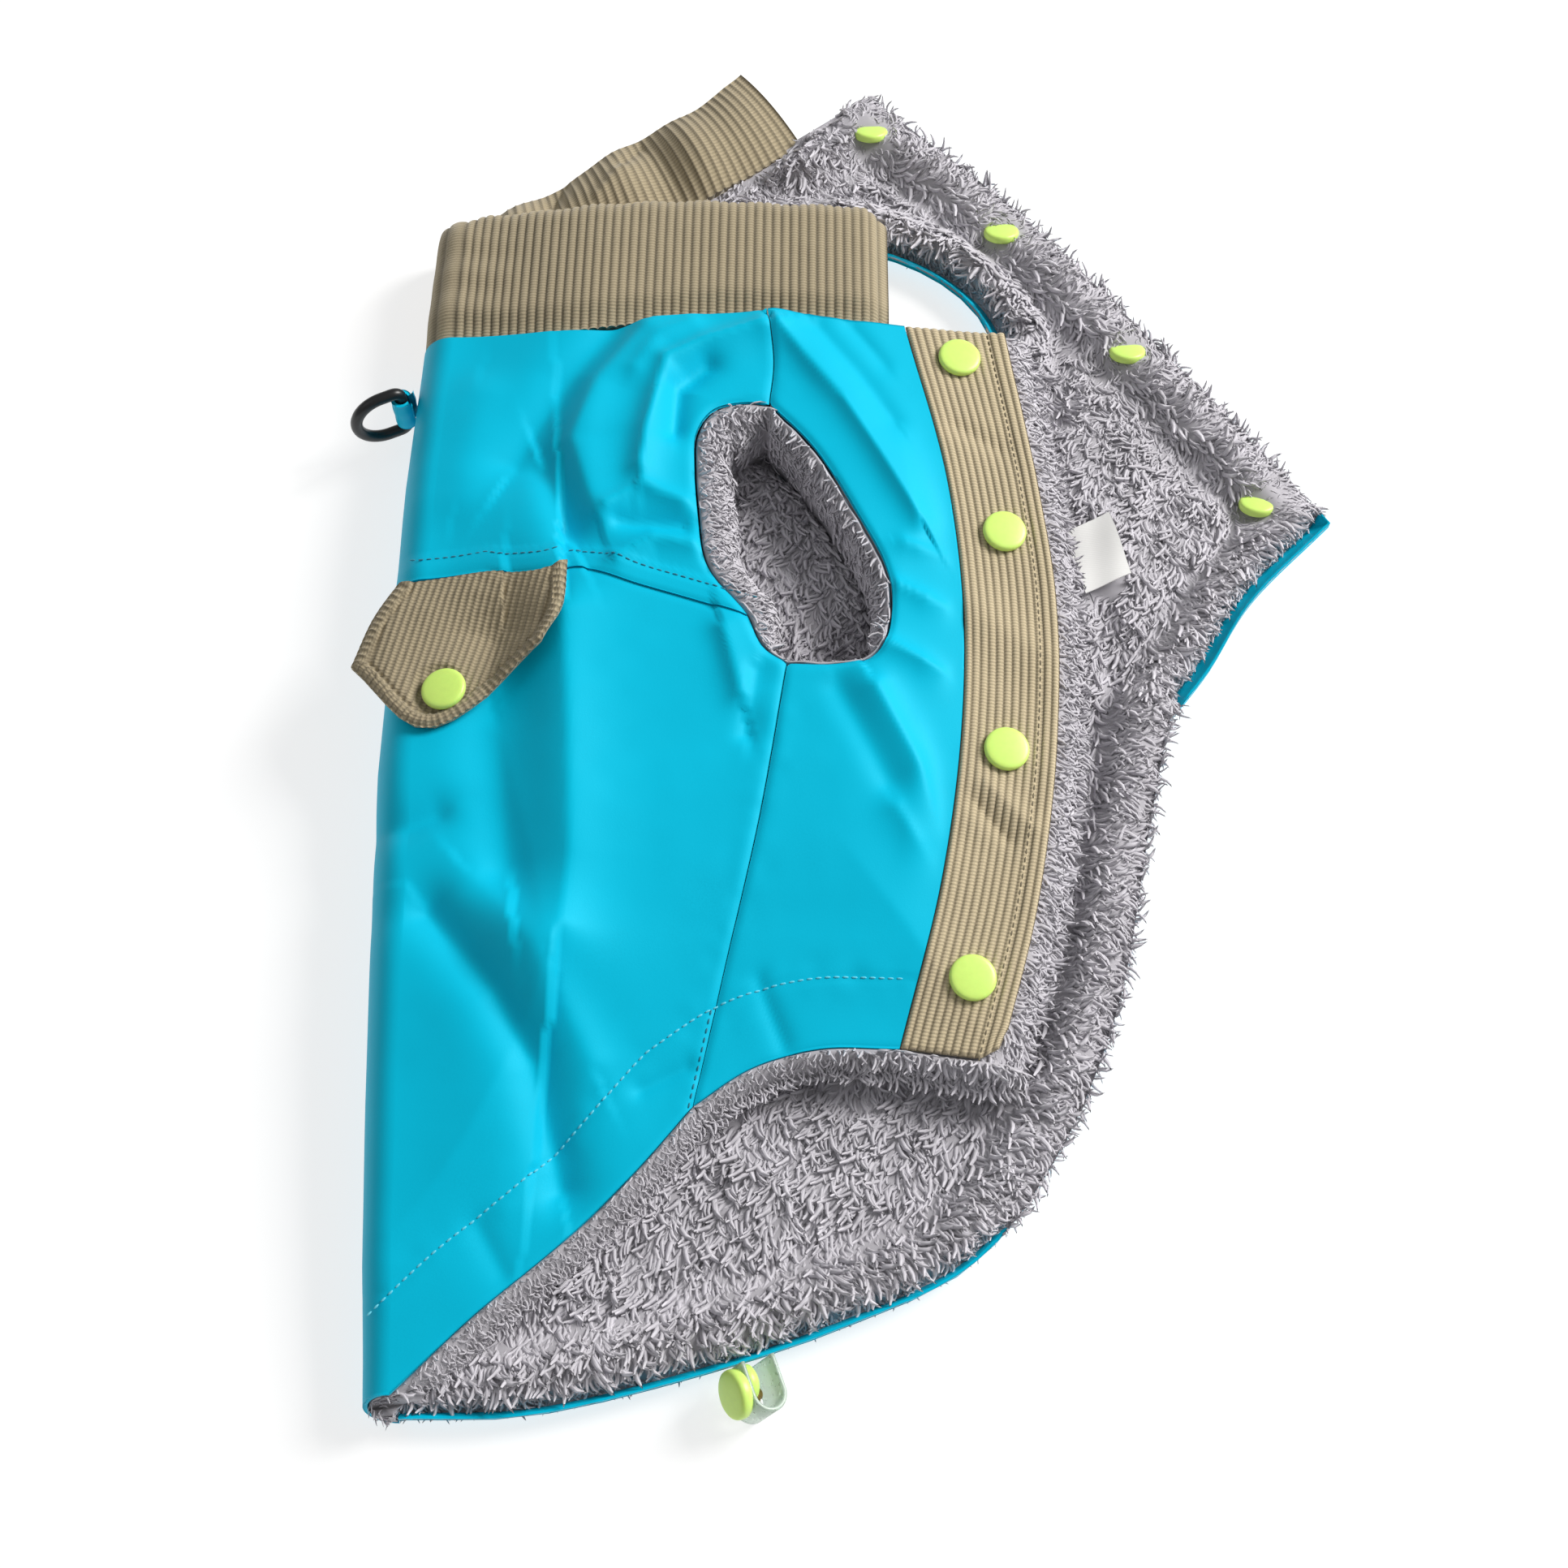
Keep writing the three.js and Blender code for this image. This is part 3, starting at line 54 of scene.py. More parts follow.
# Driving sizes of the layout, in millimetres. X runs to the right across the coat, Y from
# the tail to the neck, Z up. The layout's own origin lies under the middle of the picture.
LAYOUT_SHIFT = np.array([-19.69, -53.0, 0.0])
MM = 0.001
SEAM_GAP = 0.3
SHELL_WALL = 1.5
PLACKET_WALL = 1.9
PLACKET_RELIEF = 2.9
ROLL_FLATNESS = 0.8
EDGE_FALL_WIDTH = 70
FOLD_FALL_WIDTH = 55
FUR_PRESSED = 10.6
UPPER_UNDERSIDE = 11.2
RIM_WIDTH = 7
RIM_RISE = 6
COLLAR_TOP_Y = 220
COLLAR_DEPTH = 13
SNAP_RADIUS = 7.5
SNAP_CAP_HEIGHT = 2.9
STRAP_CAP_HEIGHT = 4.2
FUR_SNAP_RADIUS = 6.6
FUR_SNAP_HEIGHT = 3.4
PLACKET_WIDTH = 34
PLACKET_LENGTH = 268
PLACKET_STITCH_INSET = 6.6
WALE_ROUNDNESS = 0.62
FLOOR_CLEARANCE = 0.02
LINING_DROP = 1.6
FUR_FRINGE = 6
FRONT_FRINGE = 8
FRINGE_WALL = 1.6

# One row for each cross section of the folded half, from the tail up to the collar:
# where the fold lies, and the height at the fold, at the crown and at the free edge.
SECTION_COLUMNS = ("y", "fold_x", "fold", "crown", "edge")
SECTIONS = np.array([
    (-206, -124.5, 23, 24, 22),
    (-160, -128.0, 26, 28, 24),
    (-110, -130.5, 29, 32, 26),
    (-60, -132.5, 31, 35, 28),
    (0, -134.5, 33, 38, 30),
    (60, -133.5, 33, 40, 31),
    (110, -133.0, 33, 41, 32),
    (172, -130.5, 31, 38, 31),
    (222, -128.0, 30, 37, 31),
])


def fold(name, path, reach, rise, point):
    """A fold: its bent line, its reach to the left and to the right of that line, its rise,
    and how pointed its section is (2 is soft, 1 is a crease)."""
    return {"name": name, "path": path, "reach": reach, "rise": rise, "point": point}


# Folds of the softshell
FOLDS = [
    fold("yoke trough", [(-60, 168), (-76, 144), (-92, 112)], (14, 9), -4.8, 1.6),
    fold("yoke ridge", [(-49, 167), (-65, 144), (-73, 119), (-64, 90)], (10, 7), 4.6, 1.5),
    fold("arch ridge", [(-8, 166), (-27, 159), (-41, 151), (-47, 122), (-49, 106)], (7, 5), 5.4, 1.25),
    fold("arch trough", [(-27, 150), (-37, 140), (-38, 122)], (4.5, 4), -4.2, 1.5),
    fold("arch shoulder", [(-33, 168), (-44, 162), (-52, 148)], (5, 4), 2.0, 1.5),
    fold("upper pucker", [(-60, 91), (-48, 99), (-34, 93)], (3.4, 4.5), 3.2, 1.2),
    fold("middle pucker", [(-56, 86), (-34, 84)], (4, 3), -2.4, 1.5),
    fold("lower pucker", [(-56, 72), (-44, 79), (-31, 77)], (3.4, 4.5), 3.2, 1.2),
    fold("yoke hollow", [(-82, 108), (-72, 82)], (13, 6), -4.2, 1.6),
    fold("yoke side swell", [(-108, 140), (-112, 100)], (10, 12), 2.0, 2),
    fold("shoulder ridge", [(-2, 166), (20, 135), (34, 110), (46, 88)], (12, 4.5), 4.2, 1.2),
    fold("shoulder crease", [(12, 167), (26, 148), (38, 128)], (4, 6), -1.6, 1.5),
    fold("neck crease", [(24, 168), (36, 152)], (3, 5), -1.2, 1.4),
    fold("front pucker", [(38, 62), (54, 55)], (3, 4.5), 2.6, 1.2),
    fold("upper front pucker", [(41, 78), (55, 74)], (3, 4), 1.8, 1.3),
    fold("corner pucker", [(33, 41), (52, 31)], (3.5, 5), 3.0, 1.2),
    fold("belly ridge", [(30, 24), (44, -4), (50, -26)], (5, 9), 4.2, 1.2),
    fold("belly trough", [(18, 24), (34, -8)], (6, 5), -1.8, 1.8),
    fold("belly crease", [(36, -18), (52, -44)], (3, 5), 1.4, 1.3),
    fold("foot ridge", [(-20, 45), (-14, 22)], (9, 4), 3.2, 1.3),
    fold("foot trough", [(-9, 30), (-12, 8)], (5, 3), -1.8, 1.6),
    fold("long step", [(-73, 50), (-70, 9), (-68, -34), (-70, -58)], (13, 46), 8.0, 1.25),
    fold("step foot", [(-93, 44), (-92, 5), (-87, -36)], (20, 14), -8.5, 1.8),
    fold("slant step", [(-92, 10), (-82, -26), (-74, -60)], (15, 9), 1.6, 1.5),
    fold("tail trough", [(-112, -52), (-90, -78), (-77, -101), (-68, -138)], (9, 7), -5.4, 1.5),
    fold("tail ridge", [(-98, -42), (-78, -66), (-60, -100)], (7, 12), 2.4, 1.7),
    fold("back dent", [(-127, -26), (-112, -19)], (7, 6), -3.6, 1.5),
    fold("hem crease", [(-44, -108), (-30, -101)], (3, 3), -1.3, 1.5),
    fold("front hem crease", [(-8, -74), (0, -94)], (3, 3), -1.3, 1.5),
    fold("tail hem crease", [(-92, -150), (-84, -164)], (4, 4), -1.2, 1.5),
]

# Edges and seams of the upper half
NECK_YOKE = [(-117.5, 167.5), (-76, 167), (-33, 172), (-6, 173)]
NECK_FRONT = [(-6, 173), (18, 171), (43, 170)]
PLACKET_LEFT = [(43, 170), (56, 106), (60, 58), (58, 10), (50, -42), (36, -95)]
PLACKET_RIGHT = [(79, 170), (88, 105), (92, 62), (90, 10), (81, -48), (67, -99)]
SHOULDER = [(-6, 173), (-3.5, 152), (-5, 134)]
ARMHOLE_BACK = [
    (-5, 134), (-14, 134.5), (-24, 131.5), (-30, 122), (-30.5, 108), (-29, 88), (-26, 70), (-12, 50),
]
ARMHOLE_FOOT = [(-12, 50), (-7, 39), (1, 33)]
ARMHOLE_FRONT = [
    (-5, 134), (10, 116), (24, 91), (34, 70), (36, 56), (33, 40), (27, 34), (15, 32.5), (1, 33),
]
SIDE_SEAM = [(1, 33), (-8, -22), (-19, -72), (-28, -113)]
YOKE_SEAM = [(-100, 67), (-80, 65.8), (-69, 68), (-50, 62), (-30, 56), (-12, 50)]
HEM_BACK = [(-113.5, -199), (-93, -177), (-65, -153), (-45, -133), (-28, -113)]
HEM_CHEST = [(-28, -113), (-10, -101), (11, -95), (36, -95)]
ARMHOLE_SPINE = [(-12, 110), (8, 58)]

# Edges and seams of the lower half
LOWER_NECK_YOKE = [(-116, 206), (-100, 224), (-70, 242), (-22, 256)]
LOWER_NECK_FRONT = [(-22, 256), (5, 276), (33, 297)]
LOWER_FRONT = [(33, 297), (88, 242), (144, 172), (194, 104)]
LOWER_BELLY_HEM = [(131, 26), (146, 45), (163, 72), (194, 104)]
LOWER_HEM = [
    (-113.5, -204), (-77, -203), (-28, -192), (18, -177), (58, -158),
    (85, -125), (107, -77), (122, -12), (131, 26),
]
LOWER_ARMHOLE = {"x": 23, "y": 184, "long": 56, "short": 40, "tilt": -18}
LOWER_ARMHOLE_SHOULDER = 140
LOWER_ARMHOLE_YOKE = 215
LOWER_ARMHOLE_SIDE = 342
LOWER_YOKE_SEAM_Y = 70

# Height of the fur above the surface by its distance from the free edge
FUR_PROFILE = np.array([(0, 8.2), (4, 12.0), (12, 13.4), (23, 9.2), (32, 10.8), (70, 11.4)])
FUR_FOLDS = [
    fold("upper hollow", [(80, 205), (95, 176), (92, 132)], (8, 8), -3.6, 1.7),
    fold("front swell", [(60, 240), (104, 196), (140, 150)], (12, 12), 1.2, 2),
    fold("label hollow", [(112, 70), (116, 30)], (6, 6), -3.6, 1.7),
    fold("front hollow", [(101, 112), (97, 70), (100, 20)], (5, 5), -2.6, 1.7),
    fold("tail hollow", [(-40, -160), (20, -150), (70, -100)], (9, 9), -1.2, 2),
]

# The fur holds its studs at a lean, so that each shows as a lens
STUD_LEAN = 26
FUR_SNAPS = [(33.5, 277), (82, 229), (126, 175), (168.5, 111)]
FLAP_OUTLINE = {
    "top": [(-129, 63), (-99, 65.2), (-80, 64.2), (-72, 67.3)],
    "left": [(-129, 63), (-137, 50), (-143, 33)],
    "bottom": [(-143, 33), (-117, 10), (-79, 36)],
    "right": [(-72, 67.3), (-73, 50), (-79, 36)],
}
LABEL_CORNERS = {"left": (98.5, 98), "top": (114.5, 105), "right": (121, 81), "bottom": (105, 74)}

# The leash ring's straight bar, its wire and its turn about the bar
RING_Y = 145
RING_BAR_HEIGHT = 19
RING_WIRE_RADIUS = 2.15
RING_HALF_HEIGHT = 10.85
RING_ARM = 7
RING_TURN = 204
TAB_HALF_WIDTH = 7

# The leg strap's end loop
STRAP_ROOT = (-11.1, -187.5)
STRAP_TURN = -70
STRAP_WALL = 1.4
STRAP_HALF_LOOP = 4.6
STRAP_LENGTH = 17
STRAP_HEIGHT = 14
STRAP_LEAN = 28
STRAP_LIFT = 1.9

# The camera of the picture: its field and tilt, and the point that it looks at
PICTURE_LENS = 50
CAMERA_TILT = 66
CAMERA_DISTANCE = 724.5
CAMERA_TARGET = (0, 0, 15)

RANDOM_SEED = 7


# Curves, distances and noise

def clamp01(t):
    return np.clip(t, 0, 1)


def smooth(t):
    t = clamp01(t)
    return t * t * (3 - 2 * t)


def length_fractions(line):
    steps = np.linalg.norm(np.diff(line, axis=0), axis=1)
    sums = np.concatenate([[0], np.cumsum(steps)])
    return sums / sums[-1]


def at_fractions(line, fractions):
    line = np.asarray(line, float)
    known = length_fractions(line)
    return np.stack([np.interp(fractions, known, line[:, k]) for k in range(line.shape[1])], axis=1)


def curve_points(points, fractions):
    """Points on a centripetal Catmull-Rom curve, at fractions of its length."""
    points = np.asarray(points, float)
    if len(points) == 2:
        return at_fractions(points, fractions)
    ends = np.vstack([2 * points[0] - points[1], points, 2 * points[-1] - points[-2]])
    dense = []
    for i in range(len(points) - 1):
        p0, p1, p2, p3 = ends[i:i + 4]
        d0, d1, d2 = (np.sqrt(np.linalg.norm(b - a)) for a, b in ((p0, p1), (p1, p2), (p2, p3)))
        start = ((p1 - p0) / d0 - (p2 - p0) / (d0 + d1) + (p2 - p1) / d1) * d1
        end = ((p2 - p1) / d1 - (p3 - p1) / (d1 + d2) + (p3 - p2) / d2) * d1
        t = np.linspace(0, 1, 40, endpoint=False)[:, None]
        cubic = 2 * p1 - 2 * p2 + start + end
        square = -3 * p1 + 3 * p2 - 2 * start - end
        dense.append(p1 + t * (start + t * (square + t * cubic)))
    dense.append(points[-1:])
    return at_fractions(np.vstack(dense), fractions)


def join(*lines):
    return np.vstack([lines[0]] + [line[1:] for line in lines[1:]])


def dense_curve(points, count=160):
    return curve_points(points, np.linspace(0, 1, count + 1))


def nearest_on(line, x, y):
    """Distance to a bent line, the side that a point lies on (1 is left) and the nearest point."""
    line = np.asarray(line, float)
    x, y = np.broadcast_arrays(np.asarray(x, float), np.asarray(y, float))
    best = np.full(x.shape, np.inf)
    side, near_x, near_y = np.zeros(x.shape), np.zeros(x.shape), np.zeros(x.shape)
    for (ax, ay), (bx, by) in zip(line[:-1], line[1:]):
        dx, dy = bx - ax, by - ay
        t = clamp01(((x - ax) * dx + (y - ay) * dy) / (dx * dx + dy * dy + 1e-12))
        px, py = ax + t * dx, ay + t * dy
        distance = np.hypot(x - px, y - py)
        closer = distance < best
        best = np.where(closer, distance, best)
        near_x, near_y = np.where(closer, px, near_x), np.where(closer, py, near_y)
        side = np.where(closer, np.sign(dx * (y - ay) - dy * (x - ax)), side)
    return best, side, near_x, near_y


def inside(polygon, x, y):
    polygon = np.asarray(polygon, float)
    odd = np.zeros(np.shape(x), bool)
    for (xi, yi), (xj, yj) in zip(polygon, np.roll(polygon, 1, axis=0)):
        crosses = (yi > y) != (yj > y)
        reach = (xj - xi) * (y - yi) / np.where(yj == yi, 1e-9, yj - yi) + xi
        odd ^= crosses & (x < reach)
    return odd


def soft_noise(x, y, size, seed):
    """Smooth noise from -1 to 1 with soft lumps of the given size."""
    lattice = np.random.default_rng(seed).uniform(-1, 1, (256, 256))
    turn = 0.7 + 1.9 * seed
    u = (np.cos(turn) * np.asarray(x) - np.sin(turn) * np.asarray(y)) / size + 128
    v = (np.sin(turn) * np.asarray(x) + np.cos(turn) * np.asarray(y)) / size + 128
    i, j = np.floor(u).astype(int), np.floor(v).astype(int)
    s, t = smooth(u - i), smooth(v - j)
    at = lambda a, b: lattice[a % 256, b % 256]
    low = at(i, j) + (at(i + 1, j) - at(i, j)) * s
    high = at(i, j + 1) + (at(i + 1, j + 1) - at(i, j + 1)) * s
    return low + (high - low) * t


# Heights of the folded half

def section_at(y, column):
    known = SECTIONS[:, 0]
    i = np.clip(np.searchsorted(known, y, side="right") - 1, 0, len(known) - 2)
    t = clamp01((y - known[i]) / (known[i + 1] - known[i]))
    if column != "fold_x":
        t = smooth(t)
    values = SECTIONS[:, SECTION_COLUMNS.index(column)]
    return values[i] + (values[i + 1] - values[i]) * t


def roll_at(y):
    return ROLL_FLATNESS * section_at(y, "fold") / 2


def fold_start(y):
    return section_at(y, "fold_x") + roll_at(y)


def fold_relief(folds, x, y):
    rise = 0
    for fold in folds:
        distance, side, _, _ = nearest_on(fold["path"], x, y)
        reach = np.where(side > 0, fold["reach"][0], fold["reach"][1])
        rise = rise + fold["rise"] * np.exp(-((distance / reach) ** fold["point"]))
    return rise


PLACKET_LEFT_LINE = dense_curve(PLACKET_LEFT, 24)
FREE_FRONT_LINE = join(
    dense_curve(PLACKET_RIGHT, 24),
    np.array([(67, -99), (36, -95)]),
    dense_curve(HEM_CHEST, 12)[::-1],
    dense_curve(HEM_BACK, 16)[::-1],
)


def upper_height(x, y, folds=True):
    x, y = np.asarray(x, float), np.asarray(y, float)
    crown, edge, fold = (section_at(y, key) for key in ("crown", "edge", "fold"))
    from_edge = nearest_on(FREE_FRONT_LINE, x, y)[0]
    from_fold = np.maximum(0, x - fold_start(y))
    edge_fall = (crown - edge) * (1 - smooth(from_edge / EDGE_FALL_WIDTH))
    fold_fall = (crown - fold) * (1 - smooth(from_fold / FOLD_FALL_WIDTH))
    if not folds:
        return crown - np.maximum(edge_fall, fold_fall)
    to_placket, _, near_x, _ = nearest_on(PLACKET_LEFT_LINE, x, y)
    past_placket = (x > near_x) & (y > -100)
    calm = np.where(past_placket, 0, smooth(to_placket / 15))
    return crown - np.maximum(edge_fall, fold_fall) + calm * fold_relief(FOLDS, x, y)


# Grids of points: arrays with a row and a column number, then x, y and z

def coons_patch(top, bottom, left, right):
    across, across_low = length_fractions(top)[None, :], length_fractions(bottom)[None, :]
    down, down_right = length_fractions(left)[:, None], length_fractions(right)[:, None]
    v = down + (down_right - down) * across
    u = across + (across_low - across) * v
    u, v = u[..., None], v[..., None]
    corners = ((1 - u) * (1 - v) * top[0] + u * (1 - v) * top[-1]
               + (1 - u) * v * bottom[0] + u * v * bottom[-1])
    return ((1 - v) * top[None] + v * bottom[None]
            + (1 - u) * left[:, None] + u * right[:, None] - corners)


def inset(grid, gap=SEAM_GAP / 2):
    copy = grid.copy()

    def pull(edge, inner):
        step = grid[inner] - grid[edge]
        copy[edge] += gap * step / np.linalg.norm(step, axis=-1, keepdims=True)

    pull(np.s_[0, :], np.s_[1, :])
    pull(np.s_[-1, :], np.s_[-2, :])
    pull(np.s_[:, 0], np.s_[:, 1])
    pull(np.s_[:, -1], np.s_[:, -2])
    return copy


def lifted(flat, height):
    return np.concatenate([flat, height(flat[..., 0], flat[..., 1])[..., None]], axis=-1)


def lowered(grid, depth):
    return grid - np.array([0, 0, 1]) * np.reshape(depth, np.shape(depth) + (1,))


def with_edge(count, first=0.004):
    """Even fractions from 0 to 1 with a closer one next to each end."""
    inner = np.linspace(0, 1, count + 1)
    return np.concatenate([[0, first], inner[1:-1], [1 - first, 1]])


def rim_steps(length, step):
    """Fractions of a length: even in the middle, and close together near both ends."""
    near = np.array([0, 0.5, 1.2, 2.0, 2.8, 3.6, 4.4, 5.2, 6.2]) / length
    middle = np.linspace(near[-1], 1 - near[-1], max(2, round((length - 12.4) / step)) + 1)
    return np.concatenate([near[:-1], middle, 1 - near[:-1][::-1]])


def coarser(grid, row_step, col_step):
    rows = sorted({*range(0, grid.shape[0], row_step), grid.shape[0] - 1})
    cols = sorted({*range(0, grid.shape[1], col_step), grid.shape[1] - 1})
    return grid[np.ix_(rows, cols)]


def rolled(grid, depth, columns):
    """Adds the columns of the roll at the fold to the left of a lifted grid."""
    start = grid[:, :1]
    half = start[..., 2] / 2
    turn = np.linspace(math.pi, 0, columns + 1)[:-1][None, :]
    reach = roll_at(start[..., 1]) - depth
    x = start[..., 0] - reach * np.sin(turn)
    z = half + (half - depth) * np.cos(turn)
    tail_end = smooth(1 - (start[..., 1] + 199) / 14) * smooth(turn / math.pi)
    y = start[..., 1] - 5.2 * tail_end
    return np.concatenate([np.stack([x, y, z], axis=-1), lowered(grid, depth)], axis=1)


# Panels of the upper half

def armhole_line(*names):
    return join(*(dense_curve(points) for points in names))


def fold_edge(from_y, to_y, fractions):
    y = from_y + (to_y - from_y) * np.asarray(fractions)
    return np.stack([fold_start(y), y], axis=1)


def chest_front_edge(rows_left):
    """Where the rows of the chest meet the placket: level with the armhole, fanned out below."""
    shoulder_rows, front_rows, side_rows = 3, 12, 11
    coarse = join(
        curve_points(SHOULDER, np.linspace(0, 1, shoulder_rows + 1)),
        curve_points(ARMHOLE_FRONT, np.linspace(0, 1, front_rows + 1)),
        curve_points(SIDE_SEAM, np.linspace(0, 1, side_rows + 1)),
    )
    foot = shoulder_rows + front_rows
    fan_step = 8
    heights = [PLACKET_LEFT[0][1]]
    for y in coarse[1:foot + 1, 1]:
        heights.append(min(y, heights[-1] - fan_step))
    low = PLACKET_LEFT[-1][1]
    down = length_fractions(coarse[foot:])
    heights += [heights[-1] + (low - heights[-1]) * t for t in down[1:]]
    y_at = np.interp(rows_left, length_fractions(coarse), heights)
    front = dense_curve(PLACKET_LEFT, 400)
    x_at = np.interp(y_at, front[::-1, 1], front[::-1, 0])
    return np.stack([x_at, y_at], axis=1)


def upper_panels(step):
    """Flat grids of yoke, back and chest, with points about as far apart as the step."""
    counts = {"yoke": (112, 100), "back": (265, 110), "chest": (270, 78)}
    rows, cols = {}, {}
    for name, (down, across) in counts.items():
        rows[name], cols[name] = with_edge(round(down / step)), with_edge(round(across / step))
    yoke_right = at_fractions(armhole_line(SHOULDER, ARMHOLE_BACK), rows["yoke"])
    yoke_left = fold_edge(167.5, 66, rows["yoke"] ** 1.1)
    back_right = at_fractions(armhole_line(ARMHOLE_FOOT, SIDE_SEAM), rows["back"])
    back_left = fold_edge(66, -199, rows["back"])
    chest_left = at_fractions(armhole_line(SHOULDER, ARMHOLE_FRONT, SIDE_SEAM), rows["chest"])
    return {
        "yoke": inset(coons_patch(
            curve_points([yoke_left[0], *NECK_YOKE[1:]], cols["yoke"]),
            curve_points([yoke_left[-1], *YOKE_SEAM], cols["yoke"]),
            yoke_left,
            yoke_right,
        )),
        "back": inset(coons_patch(
            curve_points([back_left[0], *YOKE_SEAM], cols["back"]),
            curve_points([back_left[-1], *HEM_BACK[1:]], cols["back"]),
            back_left,
            back_right,
        )),
        "chest": inset(coons_patch(
            curve_points(NECK_FRONT, cols["chest"]),
            curve_points(HEM_CHEST, cols["chest"]),
            chest_left,
            chest_front_edge(rows["chest"]),
        )),
    }


YOKE_SEAM_LINE = join(np.array([(-125.0, 66.5), (-100.0, 68.0)]), dense_curve(YOKE_SEAM, 40))
HEM_LINE = join(dense_curve(HEM_BACK, 30), dense_curve(HEM_CHEST, 20))
UPPER_SEAMS = [dense_curve(SHOULDER, 12), dense_curve(SIDE_SEAM, 24)]
ARMHOLE_RING = join(
    dense_curve(ARMHOLE_BACK, 40), dense_curve(ARMHOLE_FOOT, 12), dense_curve(ARMHOLE_FRONT, 50)[::-1],
)
YOKE_BAND = 7.0
HEM_BAND = 22.0


def sewn_relief(x, y, panel):
    """Grooves at seams and stitch lines, and the small puckers that the thread draws in."""
    rise = 0
    for seam in UPPER_SEAMS:
        distance = nearest_on(seam, x, y)[0]
        rise = rise - 0.75 * np.exp(-((distance / 1.1) ** 1.5))
        rise = rise + 0.22 * soft_noise(x, y, 5, 3) * np.exp(-((distance / 6) ** 2))
    hem = nearest_on(HEM_LINE, x, y)[0]
    rise = rise - 0.32 * np.exp(-(((hem - HEM_BAND) / 0.9) ** 2))
    rise = rise + 0.25 * soft_noise(x, y, 6, 5) * np.exp(-(((hem - HEM_BAND) / 7) ** 2))
    rise = rise - 0.5 * np.exp(-((hem / 1.0) ** 2))
    ring = nearest_on(ARMHOLE_RING, x, y)[0]
    rise = rise - 0.8 * np.exp(-((ring / 1.3) ** 2))
    band = nearest_on(YOKE_SEAM_LINE, x, y)[0]
    if panel == "yoke":
        rise = rise + 0.9 * smooth(1 - (band - YOKE_BAND) / 3) - 0.45 * np.exp(-((band / 0.8) ** 2))
        rise = rise - 0.45 * np.exp(-(((band - YOKE_BAND) / 0.9) ** 2))
        pucker = np.sin(x * 2 * math.pi / 3.4 + 1.5 * soft_noise(x, y, 9, 8))
        rise = rise + 0.16 * pucker * np.exp(-(((band - YOKE_BAND - 1.6) / 1.8) ** 2))
    if panel == "back":
        rise = rise - 0.35 * np.exp(-((band / 1.6) ** 2))
    return rise


def shell_height(panel):
    def height(x, y):
        waves = 0.30 * soft_noise(x, y, 26, 11) + 0.08 * soft_noise(x, y, 9, 12)
        return upper_height(x, y) + sewn_relief(x, y, panel) + waves
    return height


# Panels of the lower half

def armhole_point(degrees):
    turn = np.radians(degrees)
    tilt = math.radians(LOWER_ARMHOLE["tilt"])
    along, across = LOWER_ARMHOLE["long"] * np.cos(turn), LOWER_ARMHOLE["short"] * np.sin(turn)
    return np.stack([
        LOWER_ARMHOLE["x"] + along * math.cos(tilt) - across * math.sin(tilt),
        LOWER_ARMHOLE["y"] + along * math.sin(tilt) + across * math.cos(tilt),
    ], axis=-1)


def armhole_arc(start, end, count=60):
    return armhole_point(np.linspace(start, end, count + 1))


def lower_panels(step):
    lengths = {"yoke": (138, 110), "back": (280, 190), "chest": (250, 150)}
    rows, cols = {}, {}
    for name, (down, across) in lengths.items():
        rows[name], cols[name] = rim_steps(down, step), rim_steps(across, step)
    clear_of_roll = np.array([0.45, 0])
    shoulder = dense_curve([LOWER_NECK_YOKE[3], armhole_point(LOWER_ARMHOLE_SHOULDER)])
    side = dense_curve([armhole_point(LOWER_ARMHOLE_SIDE), (93, 105), (131, 26)])
    yoke_arc = armhole_arc(LOWER_ARMHOLE_SHOULDER, LOWER_ARMHOLE_YOKE)
    foot_arc = armhole_arc(LOWER_ARMHOLE_YOKE, LOWER_ARMHOLE_SIDE)
    front_arc = armhole_arc(LOWER_ARMHOLE_SHOULDER, LOWER_ARMHOLE_SIDE - 360)
    yoke_left = fold_edge(206, LOWER_YOKE_SEAM_Y, rows["yoke"]) + clear_of_roll
    back_left = fold_edge(LOWER_YOKE_SEAM_Y, -204, rows["back"]) + clear_of_roll
    seam = [yoke_left[-1], armhole_point(LOWER_ARMHOLE_YOKE)]
    return {
        "yoke": inset(coons_patch(
            curve_points([yoke_left[0], *LOWER_NECK_YOKE[1:]], cols["yoke"]),
            curve_points(seam, cols["yoke"]),
            yoke_left,
            at_fractions(join(shoulder, yoke_arc), rows["yoke"]),
        )),
        "back": inset(coons_patch(
            curve_points(seam, cols["back"]),
            curve_points([back_left[-1], *LOWER_HEM[1:]], cols["back"]),
            back_left,
            at_fractions(join(foot_arc, side), rows["back"]),
        )),
        "chest": inset(coons_patch(
            curve_points(LOWER_NECK_FRONT, cols["chest"]),
            curve_points(LOWER_BELLY_HEM, cols["chest"]),
            at_fractions(join(shoulder, front_arc, side), rows["chest"]),
            curve_points(LOWER_FRONT, rows["chest"]),
        )),
    }


LOWER_HEM_LINE = join(dense_curve(LOWER_HEM, 60), dense_curve(LOWER_BELLY_HEM, 14))
LOWER_FREE_LINES = [
    LOWER_HEM_LINE,
    dense_curve(LOWER_FRONT, 30),
    dense_curve([(5, 276), (33, 297)], 4),
    armhole_arc(0, 360, 48),
]


def from_free_edge(x, y):
    return np.minimum.reduce([nearest_on(line, x, y)[0] for line in LOWER_FREE_LINES])


